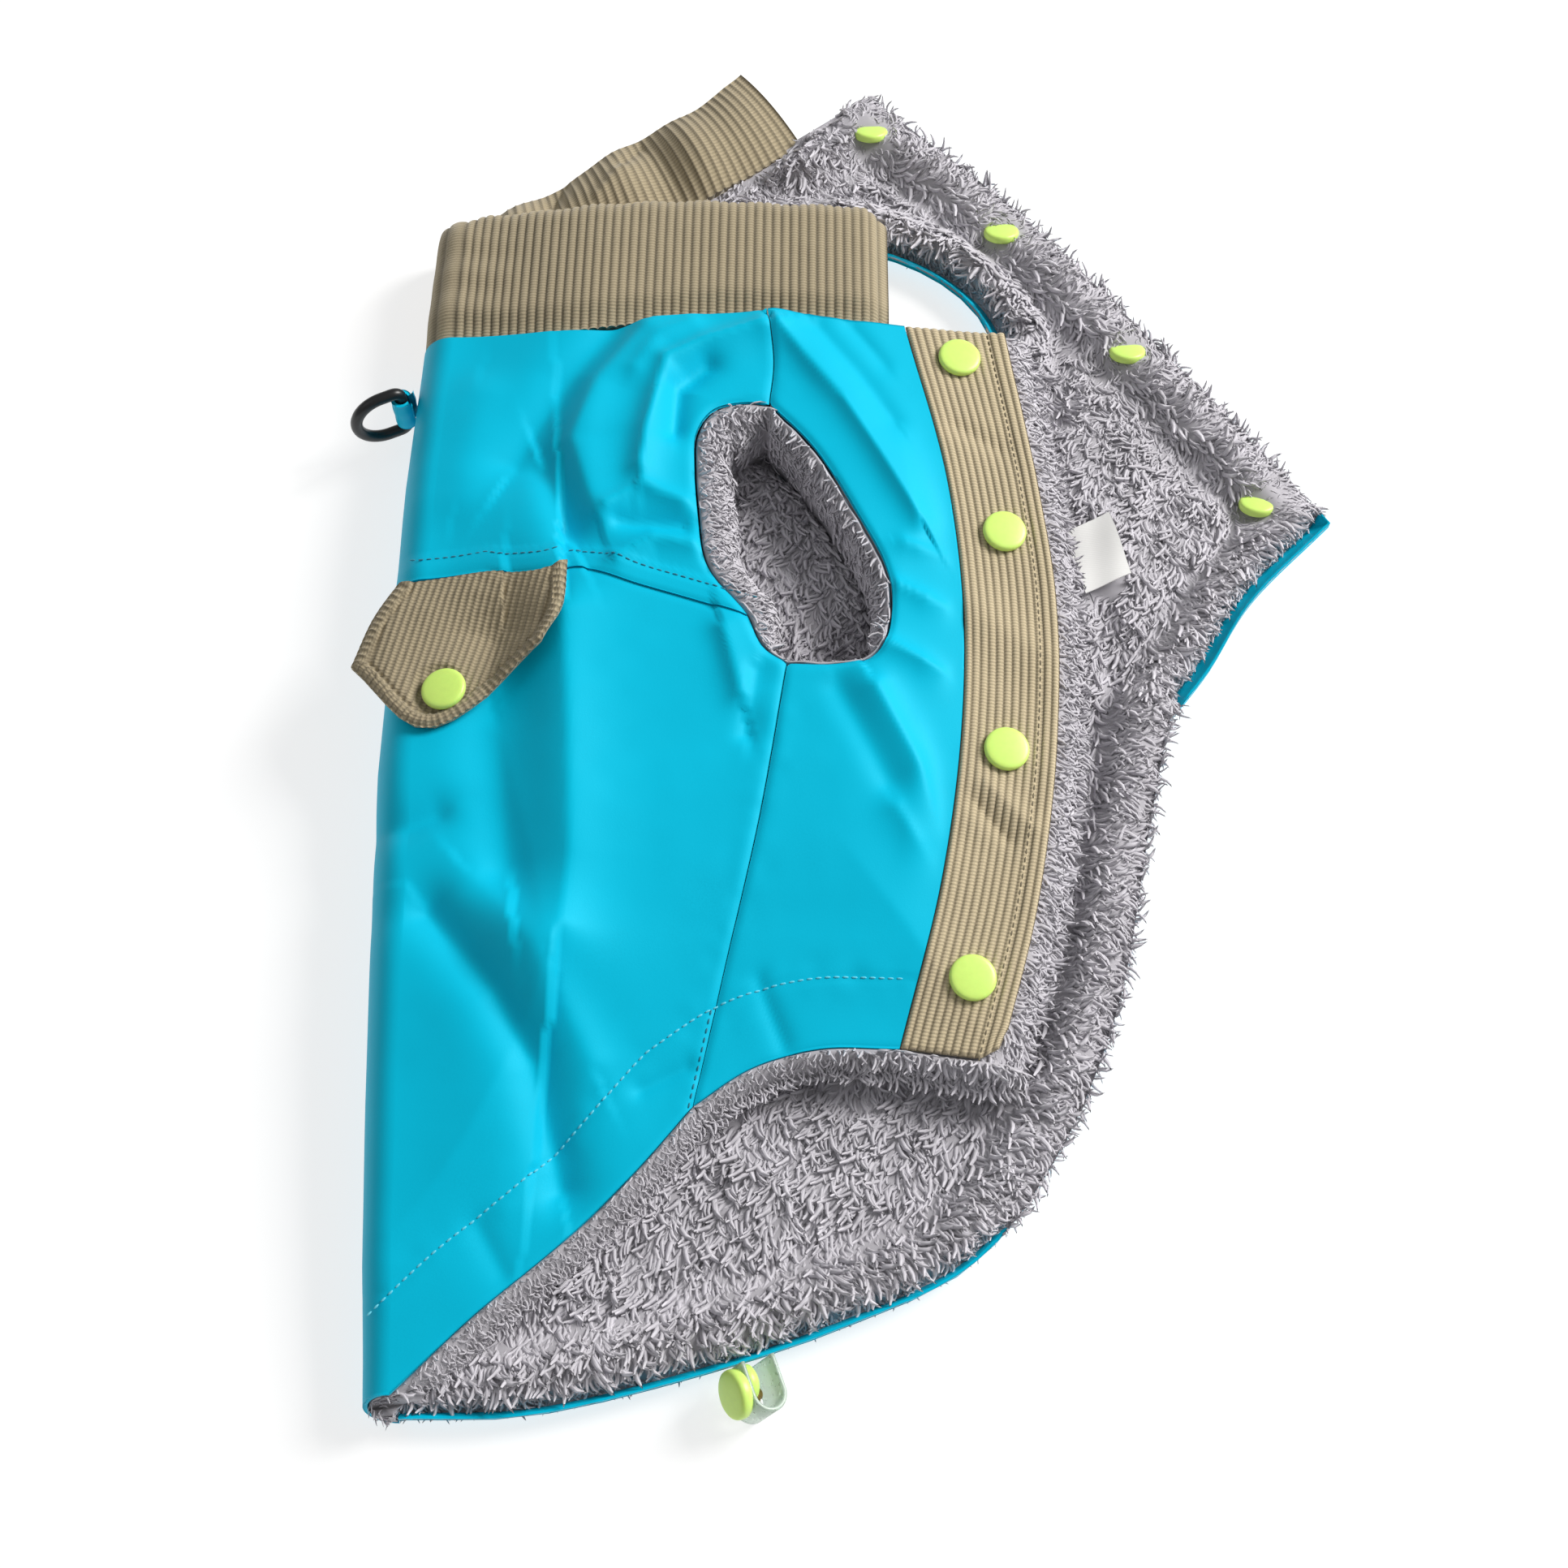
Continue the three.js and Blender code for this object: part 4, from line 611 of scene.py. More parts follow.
BARE_RIMS = [
    (2.6, dense_curve(LOWER_HEM, 60)[:31]),
    (5.4, dense_curve(LOWER_BELLY_HEM, 14)[2:]),
    (4.6, armhole_arc(0, 360, 48)),
]
REAR_COLLAR_SEAM = [(-104, 214), (-70, 228), (-34, 245), (-13, 259.5), (7, 275.5)]
REAR_COLLAR_EDGE = [(-108, 240), (-83, 256), (-60, 275), (-36, 290), (-17, 311)]
REAR_COLLAR = np.vstack([dense_curve(REAR_COLLAR_SEAM, 12), dense_curve(REAR_COLLAR_EDGE, 12)[::-1]])


def set_back(x, y):
    """How near a point is to a rim where the softshell shows beyond the fur (1 is on it)."""
    near = np.minimum.reduce([nearest_on(line, x, y)[0] for _, line in BARE_RIMS])
    return smooth(1 - (near - 6) / 9)


def bare_band(x, y):
    """How far inside the bare band of a rim a point lies, in mm (below zero outside it)."""
    return np.maximum.reduce([width - nearest_on(line, x, y)[0] for width, line in BARE_RIMS])


def rim_lift(x, y):
    return RIM_RISE * (1 - clamp01(from_free_edge(x, y) / RIM_WIDTH)) ** 2


def fur_height(x, y):
    edge = from_free_edge(x, y)
    i = np.clip(np.searchsorted(FUR_PROFILE[:, 0], edge, side="right") - 1, 0, len(FUR_PROFILE) - 2)
    start, end = FUR_PROFILE[i], FUR_PROFILE[i + 1]
    t = smooth((edge - start[..., 0]) / (end[..., 0] - start[..., 0]))
    base = start[..., 1] + (end[..., 1] - start[..., 1]) * t
    return base + fold_relief(FUR_FOLDS, x, y) * smooth((edge - 12) / 20)


UPPER_FOOTPRINT = np.vstack([
    [(-135, 224), (44, 224), (44, 176), (90, 174)],
    dense_curve(PLACKET_RIGHT, 12) + (FRONT_FRINGE + 3, 0),
    [(76, -112), (36, -108)],
    dense_curve(HEM_CHEST, 6)[::-1] + (2, -FUR_FRINGE - 4),
    dense_curve(HEM_BACK, 8)[::-1] + (7, -7),
    [(-135, -215)],
])


# Meshes

def to_frame(points):
    return (np.asarray(points, float).reshape(-1, 3) + LAYOUT_SHIFT) * MM


def grid_faces(ids):
    return np.stack([ids[:-1, :-1], ids[1:, :-1], ids[1:, 1:], ids[:-1, 1:]], axis=-1).reshape(-1, 4)


def bridge(line_a, line_b, points):
    """Triangles between two lines of points, which may differ in number."""
    a, b = length_fractions(points[line_a]), length_fractions(points[line_b])
    faces, i, j = [], 0, 0
    while i < len(a) - 1 or j < len(b) - 1:
        step_a = j == len(b) - 1 or (i < len(a) - 1 and a[i + 1] <= b[j + 1])
        faces.append((line_a[i], line_b[j], line_a[i + 1] if step_a else line_b[j + 1]))
        i, j = (i + 1, j) if step_a else (i, j + 1)
    return faces


def closed_wall(outer, inner):
    """Points and faces of the closed wall between two grids. The inner one may be coarser."""
    points = np.vstack([outer.reshape(-1, 3), inner.reshape(-1, 3)])
    top = np.arange(outer.shape[0] * outer.shape[1]).reshape(outer.shape[:2])
    low = top.size + np.arange(inner.shape[0] * inner.shape[1]).reshape(inner.shape[:2])
    faces = grid_faces(top).tolist() + grid_faces(low)[:, ::-1].tolist()
    faces += bridge(top[0], low[0], points)
    faces += [face[::-1] for face in bridge(top[-1], low[-1], points)]
    faces += [face[::-1] for face in bridge(top[:, 0], low[:, 0], points)]
    faces += bridge(top[:, -1], low[:, -1], points)
    return points, faces


def points_outwards(points, faces):
    volume = 0.0
    for face in faces:
        a = points[face[0]]
        for k in range(1, len(face) - 1):
            volume += a @ np.cross(points[face[k]], points[face[k + 1]])
    return volume > 0


def store_fields(mesh, fields):
    """Stores a number or a vector for each point of a mesh, under the field's name."""
    for field, values in fields.items():
        values = np.asarray(values, np.float32)
        wide = values.ndim > 1
        layer = mesh.attributes.new(field, "FLOAT_VECTOR" if wide else "FLOAT", "POINT")
        layer.data.foreach_set("vector" if wide else "value", values.ravel())


def linked_object(name, data):
    item = bpy.data.objects.new(name, data)
    bpy.context.collection.objects.link(item)
    return item


def wrapped(ids, rows=False):
    """Closes a grid of point numbers round its columns, and round its rows too if asked."""
    if rows:
        ids = np.vstack([ids, ids[:1]])
    return np.hstack([ids, ids[:, :1]])


def mesh_piece(name, points, faces, fields=None):
    """A smooth mesh object from layout points, with its named point fields."""
    if not points_outwards(points, faces):
        faces = [list(face)[::-1] for face in faces]
    mesh = bpy.data.meshes.new(name)
    mesh.from_pydata(to_frame(points).tolist(), [], [list(map(int, face)) for face in faces])
    mesh.validate()
    mesh.shade_smooth()
    store_fields(mesh, fields or {})
    return linked_object(name, mesh)


def cloth_piece(name, outer, inner, fields=None):
    """A closed cloth wall. Fields are given on the outer grid, and are zero on the inner one."""
    points, faces = closed_wall(outer, inner)
    spare = len(points) - outer.shape[0] * outer.shape[1]
    padded_fields = {"face": np.concatenate([np.ones(len(points) - spare), np.zeros(spare)])}
    for field, values in (fields or {}).items():
        flat = np.asarray(values, float).reshape(len(points) - spare, -1)
        values = np.vstack([flat, np.zeros((spare, flat.shape[1]))])
        padded_fields[field] = values[:, 0] if values.shape[1] == 1 else values
    return mesh_piece(name, points, faces, padded_fields)


def turned_piece(name, profile, sides, place):
    """A solid of revolution from (radius, height) rows, moved into place by a matrix in mm."""
    turn = np.linspace(0, 2 * math.pi, sides, endpoint=False)
    rings = [(r * np.cos(turn), r * np.sin(turn), np.full(sides, z)) for r, z in profile[1:-1]]
    points = [(0, 0, profile[0][1])] + [p for ring in rings for p in zip(*ring)] + [(0, 0, profile[-1][1])]
    ids = wrapped(1 + np.arange(len(rings) * sides).reshape(len(rings), sides))
    faces = grid_faces(ids).tolist()
    last = len(points) - 1
    faces += [(0, ids[0, k], ids[0, k + 1]) for k in range(sides)]
    faces += [(last, ids[-1, k + 1], ids[-1, k]) for k in range(sides)]
    points = np.array([tuple(place @ Vector(p)) for p in points])
    return mesh_piece(name, points, faces)


def swept_points(path, sides, radius, side_axis):
    """Rings of points round a closed path that lies in a plane across the side axis."""
    ahead = np.roll(path, -1, axis=0) - np.roll(path, 1, axis=0)
    ahead /= np.linalg.norm(ahead, axis=1, keepdims=True)
    up = np.cross(ahead, side_axis)
    turn = np.linspace(0, 2 * math.pi, sides, endpoint=False)
    sideways, upwards = radius * np.cos(turn), radius * np.sin(turn)
    ring = sideways[None, :, None] * side_axis + upwards[None, :, None] * up[:, None]
    return path[:, None] + ring


def dress(piece, material, nodes=(), body="coat"):
    """Gives a finished piece its material, lets it ride on its body, and hides the CAD parts that it stands
    for.
    """
    piece.data.materials.clear()
    piece.data.materials.append(material)
    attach(piece, body)
    if nodes:
        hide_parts(*nodes)
    return piece


# Colours and node trees

def linear(code):
    """The linear colour of an sRGB hex value."""
    parts = [int(code[i:i + 2], 16) / 255 for i in (1, 3, 5)]
    return tuple(c / 12.92 if c <= 0.04045 else ((c + 0.055) / 1.055) ** 2.4 for c in parts)


def shaded(colour, factor):
    return tuple(min(1, c * factor) for c in colour[:3]) + (1,)


def add_node(tree, kind, settings=None, inputs=None):
    """Adds a node, sets its properties and fills its inputs. An input takes a plain value, a
    socket to link, or a node, whose first output is then linked."""
    node = tree.nodes.new(kind)
    for name, value in (settings or {}).items():
        setattr(node, name, value)
    for name, value in (inputs or {}).items():
        if isinstance(value, bpy.types.Node):
            value = value.outputs[0]
        if isinstance(value, bpy.types.NodeSocket):
            tree.links.new(value, node.inputs[name])
        else:
            node.inputs[name].default_value = value
    return node


def new_material(name):
    material = bpy.data.materials.new(name)
    material.use_nodes = True
    tree = material.node_tree
    tree.nodes.clear()
    place = add_node(tree, "ShaderNodeTexCoord").outputs["Object"]
    return material, tree, place


def close_material(tree, inputs):
    surface = add_node(tree, "ShaderNodeBsdfPrincipled", inputs=inputs)
    add_node(tree, "ShaderNodeOutputMaterial", inputs={"Surface": surface})


# The Mix node's sockets when it mixes colours: its factor, its two colours and its result
FACTOR, FIRST, SECOND, RESULT = 0, 6, 7, 2
BLENDED = {"data_type": "RGBA"}
MULTIPLIED = {"data_type": "RGBA", "blend_type": "MULTIPLY"}


def softshell_material(name, colour):
    """Woven polyester softshell: a close plain weave whose face gives a soft satin sheen."""
    material, tree, place = new_material(name)
    # Such a weave usually has threads about 0.25 mm apart. It is drawn coarser, so that it shows.
    weave_mm, cloud_mm = 0.55, 30
    grain = add_node(tree, "ShaderNodeTexNoise", inputs={
        "Vector": place, "Scale": 1 / (weave_mm * MM), "Detail": 1.5, "Roughness": 0.6})
    cloud = add_node(tree, "ShaderNodeTexNoise", inputs={
        "Vector": place, "Scale": 1 / (cloud_mm * MM), "Detail": 3, "Roughness": 0.55})
    speck = add_node(tree, "ShaderNodeMapRange", inputs={
        "Value": grain, "From Min": 0.3, "From Max": 0.7})
    clouded = add_node(tree, "ShaderNodeMix", BLENDED, {
        FACTOR: cloud, FIRST: shaded(colour, 0.88), SECOND: shaded(colour, 1.1)})
    base = add_node(tree, "ShaderNodeMix", BLENDED, {
        FACTOR: speck, FIRST: clouded.outputs[RESULT], SECOND: shaded(colour, 1.0)})
    rough = add_node(tree, "ShaderNodeMapRange", inputs={
        "Value": grain, "To Min": 0.46, "To Max": 0.60})
    bump = add_node(tree, "ShaderNodeBump", inputs={
        "Strength": 0.22, "Distance": 0.0001, "Height": grain})
    close_material(tree, {
        "Base Color": base.outputs[RESULT], "Roughness": rough, "Normal": bump,
        "Sheen Weight": 0.05, "Sheen Roughness": 0.4, "Sheen Tint": (0.1, 0.85, 1, 1),
        "Specular IOR Level": 0.34, "Specular Tint": (0.2, 0.9, 1, 1)})
    return material


def corduroy_material(name, colour):
    """Cotton corduroy, medium wale: brushed pile ribs, with painted shade darkening their grooves and painted
    light on their crests, and dusty on top.
    """
    material, tree, place = new_material(name)
    tuft_mm, fuzz_mm, wear_mm = 1.15, 0.35, 22
    wale = add_node(tree, "ShaderNodeAttribute", {"attribute_name": "wale"}).outputs["Fac"]
    along = add_node(tree, "ShaderNodeAttribute", {"attribute_name": "along"}).outputs["Fac"]
    half_turn = add_node(tree, "ShaderNodeMath", {"operation": "MULTIPLY"}, {0: wale, 1: math.pi})
    wave = add_node(tree, "ShaderNodeMath", {"operation": "SINE"}, {0: half_turn})
    crest = add_node(tree, "ShaderNodeMath", {"operation": "ABSOLUTE"}, {0: wave})
    rib = add_node(tree, "ShaderNodeMath", {"operation": "FLOOR"}, {0: wale})
    offset = add_node(tree, "ShaderNodeTexWhiteNoise", {"noise_dimensions": "1D"}, {"W": rib})
    phase = add_node(tree, "ShaderNodeMath", {"operation": "MULTIPLY"}, {
        0: along, 1: 2 * math.pi / tuft_mm})
    shifted = add_node(tree, "ShaderNodeMath", {"operation": "MULTIPLY_ADD"}, {
        0: offset.outputs["Value"], 1: 6.28, 2: phase})
    tufts = add_node(tree, "ShaderNodeMath", {"operation": "SINE"}, {0: shifted})
    fuzz = add_node(tree, "ShaderNodeTexNoise", inputs={
        "Vector": place, "Scale": 1 / (fuzz_mm * MM), "Detail": 2, "Roughness": 0.7})
    worn = add_node(tree, "ShaderNodeTexNoise", inputs={
        "Vector": place, "Scale": 1 / (wear_mm * MM), "Detail": 3, "Roughness": 0.6})
    # Painted shade and light: the colour darkens into each groove between the raised ribs and lightens on
    # their crests.
    groove = add_node(tree, "ShaderNodeMapRange", inputs={
        "Value": crest, "From Min": 0.1, "From Max": 0.85})
    ribbed = add_node(tree, "ShaderNodeMix", BLENDED, {
        FACTOR: groove, FIRST: shaded(colour, 0.52), SECOND: shaded(colour, 1.12)})
    dust = add_node(tree, "ShaderNodeMath", {"operation": "MULTIPLY"}, {0: worn, 1: 0.4})
    dusty = add_node(tree, "ShaderNodeMix", BLENDED, {
        FACTOR: dust, FIRST: ribbed.outputs[RESULT], SECOND: shaded(colour, 1.28)})
    dashes = add_node(tree, "ShaderNodeMapRange", inputs={
        "Value": tufts, "From Min": -1, "From Max": 1, "To Min": 0.80, "To Max": 1.07})
    flecks = add_node(tree, "ShaderNodeMapRange", inputs={
        "Value": fuzz, "From Min": 0.3, "From Max": 0.7, "To Min": 0.84, "To Max": 1.12})
    tone = add_node(tree, "ShaderNodeMath", {"operation": "MULTIPLY"}, {0: dashes, 1: flecks})
    base = add_node(tree, "ShaderNodeMix", MULTIPLIED, {
        FACTOR: 1.0, FIRST: dusty.outputs[RESULT], SECOND: tone})
    height = add_node(tree, "ShaderNodeMath", {"operation": "MULTIPLY_ADD"}, {
        0: tufts, 1: 0.5, 2: fuzz})
    bump = add_node(tree, "ShaderNodeBump", inputs={
        "Strength": 0.45, "Distance": 0.00025, "Height": height})
    close_material(tree, {
        "Base Color": base.outputs[RESULT], "Roughness": 0.92, "Normal": bump,
        "Sheen Weight": 0.3, "Sheen Roughness": 0.5, "Sheen Tint": (1, 0.96, 0.86, 1),
        "Specular IOR Level": 0.2})
    return material


def fur_material(name, colour):
    """Polyester plush, long curly pile: painted shade darkens it towards its roots, and it is paler and
    slightly shiny at its tips.
    """
    material, tree, place = new_material(name)
    cloud_mm = 14
    tip = add_node(tree, "ShaderNodeAttribute", {"attribute_name": "tip"}).outputs["Fac"]
    tone = add_node(tree, "ShaderNodeAttribute", {"attribute_name": "tone"}).outputs["Fac"]
    strand = add_node(tree, "ShaderNodeAttribute", {"attribute_name": "strand"}).outputs["Fac"]
    cloud = add_node(tree, "ShaderNodeTexNoise", inputs={
        "Vector": place, "Scale": 1 / (cloud_mm * MM), "Detail": 3, "Roughness": 0.6})
    # The fibres are streaks along a lock, and each lock's tone gives it streaks of its own
    fibre_place = add_node(tree, "ShaderNodeCombineXYZ", inputs={
        "X": add_node(tree, "ShaderNodeMath", {"operation": "MULTIPLY"}, {0: strand, 1: 2.6}),
        "Y": add_node(tree, "ShaderNodeMath", {"operation": "MULTIPLY"}, {0: tip, 1: 1.6}),
        "Z": add_node(tree, "ShaderNodeMath", {"operation": "MULTIPLY"}, {0: tone, 1: 60})})
    fibre = add_node(tree, "ShaderNodeTexNoise", inputs={
        "Vector": fibre_place, "Scale": 1.3, "Detail": 1.5, "Roughness": 0.7})
    # Painted shade deep in the pile: each lock darkens towards its root, and the base between the locks,
    # which has no tip value, takes the darkest colour.
    ramp = add_node(tree, "ShaderNodeMapRange", inputs={"Value": tip, "From Min": 0, "From Max": 0.7})
    rooted = add_node(tree, "ShaderNodeMix", BLENDED, {
        FACTOR: ramp, FIRST: shaded(colour, 0.68), SECOND: shaded(colour, 0.95)})
    by_lock = add_node(tree, "ShaderNodeMapRange", inputs={
        "Value": tone, "To Min": 0.92, "To Max": 1.05})
    by_patch = add_node(tree, "ShaderNodeMapRange", inputs={
        "Value": cloud, "From Min": 0.3, "From Max": 0.7, "To Min": 0.88, "To Max": 1.06})
    by_fibre = add_node(tree, "ShaderNodeMapRange", inputs={
        "Value": fibre, "From Min": 0.3, "From Max": 0.7, "To Min": 0.86, "To Max": 1.08})
    shade = add_node(tree, "ShaderNodeMath", {"operation": "MULTIPLY"}, {0: by_lock, 1: by_patch})
    shade = add_node(tree, "ShaderNodeMath", {"operation": "MULTIPLY"}, {0: shade, 1: by_fibre})
    base = add_node(tree, "ShaderNodeMix", MULTIPLIED, {
        FACTOR: 1.0, FIRST: rooted.outputs[RESULT], SECOND: shade})
    bump = add_node(tree, "ShaderNodeBump", inputs={
        "Strength": 0.5, "Distance": 0.0003, "Height": fibre})
    close_material(tree, {
        "Base Color": base.outputs[RESULT], "Roughness": 0.72, "Normal": bump,
        "Sheen Weight": 0.2, "Sheen Roughness": 0.5, "Sheen Tint": (0.95, 0.94, 1, 1),
        "Specular IOR Level": 0.14})
    return material


def smooth_material(name, colour, roughness, extra=None):
    """Smooth plastic, coated steel, elastic or brass: even colour with a faint ripple."""
    material, tree, place = new_material(name)
    ripple_mm = 1.6
    ripple = add_node(tree, "ShaderNodeTexNoise", inputs={
        "Vector": place, "Scale": 1 / (ripple_mm * MM), "Detail": 2, "Roughness": 0.5})
    base = add_node(tree, "ShaderNodeMix", BLENDED, {
        FACTOR: ripple, FIRST: shaded(colour, 0.95), SECOND: shaded(colour, 1.05)})
    rough = add_node(tree, "ShaderNodeMapRange", inputs={
        "Value": ripple, "To Min": roughness - 0.05, "To Max": roughness + 0.07})
    bump = add_node(tree, "ShaderNodeBump", inputs={
        "Strength": 0.08, "Distance": 0.0001, "Height": ripple})
    close_material(tree, {
        "Base Color": base.outputs[RESULT], "Roughness": rough, "Normal": bump, **(extra or {})})
    return material


def satin_material(name, colour):
    """Woven satin tape: white filament yarn with a faint crosswise rib."""
    material, tree, place = new_material(name)
    # Such a tape usually has a rib about every 0.2 mm. It is drawn coarser, so that it shows.
    rib_mm = 0.5
    rib = add_node(tree, "ShaderNodeTexWave", {"wave_type": "BANDS", "bands_direction": "Y"}, {
        "Vector": place, "Scale": 1 / (rib_mm * MM * 2 * math.pi) * 2, "Distortion": 0.6, "Detail": 1})
    bump = add_node(tree, "ShaderNodeBump", inputs={
        "Strength": 0.25, "Distance": 0.00008, "Height": rib.outputs["Fac"]})
    base = add_node(tree, "ShaderNodeMix", BLENDED, {
        FACTOR: rib.outputs["Fac"], FIRST: shaded(colour, 0.95), SECOND: shaded(colour, 1.0)})
    close_material(tree, {
        "Base Color": base.outputs[RESULT], "Roughness": 0.5, "Normal": bump, "Sheen Weight": 0.2})
    return material


def thread_material(name, colour):
    """Twisted polyester sewing thread, a little brighter than the cloth."""
    material, tree, place = new_material(name)
    twist_mm = 0.25
    twist = add_node(tree, "ShaderNodeTexNoise", inputs={
        "Vector": place, "Scale": 1 / (twist_mm * MM), "Detail": 1})
    base = add_node(tree, "ShaderNodeMix", BLENDED, {
        FACTOR: twist, FIRST: shaded(colour, 0.85), SECOND: shaded(colour, 1.1)})
    close_material(tree, {
        "Base Color": base.outputs[RESULT], "Roughness": 0.6, "Sheen Weight": 0.2})
    return material


def floor_material(name, colour):
    """Matt white paper sweep, lit through from behind so that shadows stay faint."""
    material, tree, place = new_material(name)
    tooth_mm = 2.5
    tooth = add_node(tree, "ShaderNodeTexNoise", inputs={
        "Vector": place, "Scale": 1 / (tooth_mm * MM), "Detail": 2})
    base = add_node(tree, "ShaderNodeMix", BLENDED, {
        FACTOR: tooth, FIRST: shaded(colour, 0.995), SECOND: shaded(colour, 1.0)})
    close_material(tree, {
        "Base Color": base.outputs[RESULT], "Roughness": 0.9, "Specular IOR Level": 0.1,
        "Emission Color": (1, 1, 1, 1), "Emission Strength": 0.72})
    return material


# Geometry node trees

def new_geometry_tree(name, inputs):
    """A geometry tree with named inputs, given as rows of name and socket kind."""
    tree = bpy.data.node_groups.new(name, "GeometryNodeTree")
    tree.interface.new_socket("Geometry", in_out="OUTPUT", socket_type="NodeSocketGeometry")
    for label, kind in inputs:
        tree.interface.new_socket(label, in_out="INPUT", socket_type=f"NodeSocket{kind}")
    return tree, tree.nodes.new("NodeGroupInput").outputs


def end_geometry_tree(tree, geometry, material):
    """Ends a tree: every instance made real, then one material on all of it."""
    real = add_node(tree, "GeometryNodeRealizeInstances", inputs={"Geometry": geometry})
    coated = add_node(tree, "GeometryNodeSetMaterial", inputs={"Geometry": real, "Material": material})
    add_node(tree, "NodeGroupOutput", inputs={0: coated})


def grown_piece(piece, tree, values):
    """Runs a geometry tree on a piece and keeps the result as the piece's own plain mesh."""
    modifier = piece.modifiers.new(tree.name, "NODES")
    modifier.node_group = tree
    for item in tree.interface.items_tree:
        if item.item_type == "SOCKET" and item.in_out == "INPUT" and item.name in values:
            modifier[item.identifier] = values[item.name]
    ready = piece.evaluated_get(bpy.context.evaluated_depsgraph_get())
    mesh = bpy.data.meshes.new_from_object(ready)
    piece.modifiers.remove(modifier)
    old = piece.data
    piece.data = mesh
    mesh.name = piece.name
    bpy.data.meshes.remove(old)
    mesh.shade_smooth()
    return piece


def wale_tree():
    """Raises the ribs of corduroy from the wale field: round crests and narrow grooves."""
    tree, given = new_geometry_tree("Corduroy Wales", [
        ("Geometry", "Geometry"), ("Relief", "Float"), ("Roundness", "Float"), ("Material", "Material")])
    wale = add_node(tree, "GeometryNodeInputNamedAttribute", {"data_type": "FLOAT"}, {"Name": "wale"})
    face = add_node(tree, "GeometryNodeInputNamedAttribute", {"data_type": "FLOAT"}, {"Name": "face"})
    turn = add_node(tree, "ShaderNodeMath", {"operation": "MULTIPLY"}, {0: wale, 1: math.pi})
    wave = add_node(tree, "ShaderNodeMath", {"operation": "SINE"}, {0: turn})
    arch = add_node(tree, "ShaderNodeMath", {"operation": "ABSOLUTE"}, {0: wave})
    crest = add_node(tree, "ShaderNodeMath", {"operation": "POWER"}, {0: arch, 1: given["Roundness"]})
    level = add_node(tree, "ShaderNodeMath", {"operation": "SUBTRACT"}, {0: crest, 1: 0.5})
    rise = add_node(tree, "ShaderNodeMath", {"operation": "MULTIPLY"}, {0: level, 1: given["Relief"]})
    rise = add_node(tree, "ShaderNodeMath", {"operation": "MULTIPLY"}, {0: rise, 1: face})
    push = add_node(tree, "ShaderNodeVectorMath", {"operation": "SCALE"}, {
        0: add_node(tree, "GeometryNodeInputNormal"), "Scale": rise})
    moved = add_node(tree, "GeometryNodeSetPosition", inputs={
        "Geometry": given["Geometry"], "Offset": push})
    end_geometry_tree(tree, moved, given["Material"])
    return tree


def stitch_tree():
    """Lays short thread stitches end to end along a line, with a gap where the thread dives."""
    tree, given = new_geometry_tree("Stitch Row", [
        ("Geometry", "Geometry"), ("Spacing", "Float"), ("Stitch Length", "Float"),
        ("Thread Radius", "Float"), ("Material", "Material")])
    path = add_node(tree, "GeometryNodeMeshToCurve", inputs={"Mesh": given["Geometry"]})
    spots = add_node(tree, "GeometryNodeCurveToPoints", {"mode": "LENGTH"}, {
        "Curve": path, "Length": given["Spacing"]})
    ball = add_node(tree, "GeometryNodeMeshUVSphere", inputs={"Segments": 8, "Rings": 5, "Radius": 1.0})
    half = add_node(tree, "ShaderNodeMath", {"operation": "MULTIPLY"}, {0: given["Stitch Length"], 1: 0.5})
    size = add_node(tree, "ShaderNodeCombineXYZ", inputs={
        "X": half, "Y": given["Thread Radius"], "Z": given["Thread Radius"]})
    turn = add_node(tree, "FunctionNodeAlignRotationToVector", {"axis": "X"}, {
        "Vector": spots.outputs["Tangent"]})
    laid = add_node(tree, "GeometryNodeInstanceOnPoints", inputs={
        "Points": spots.outputs["Points"], "Instance": ball.outputs["Mesh"],
        "Rotation": turn, "Scale": size})
    end_geometry_tree(tree, laid, given["Material"])
    return tree


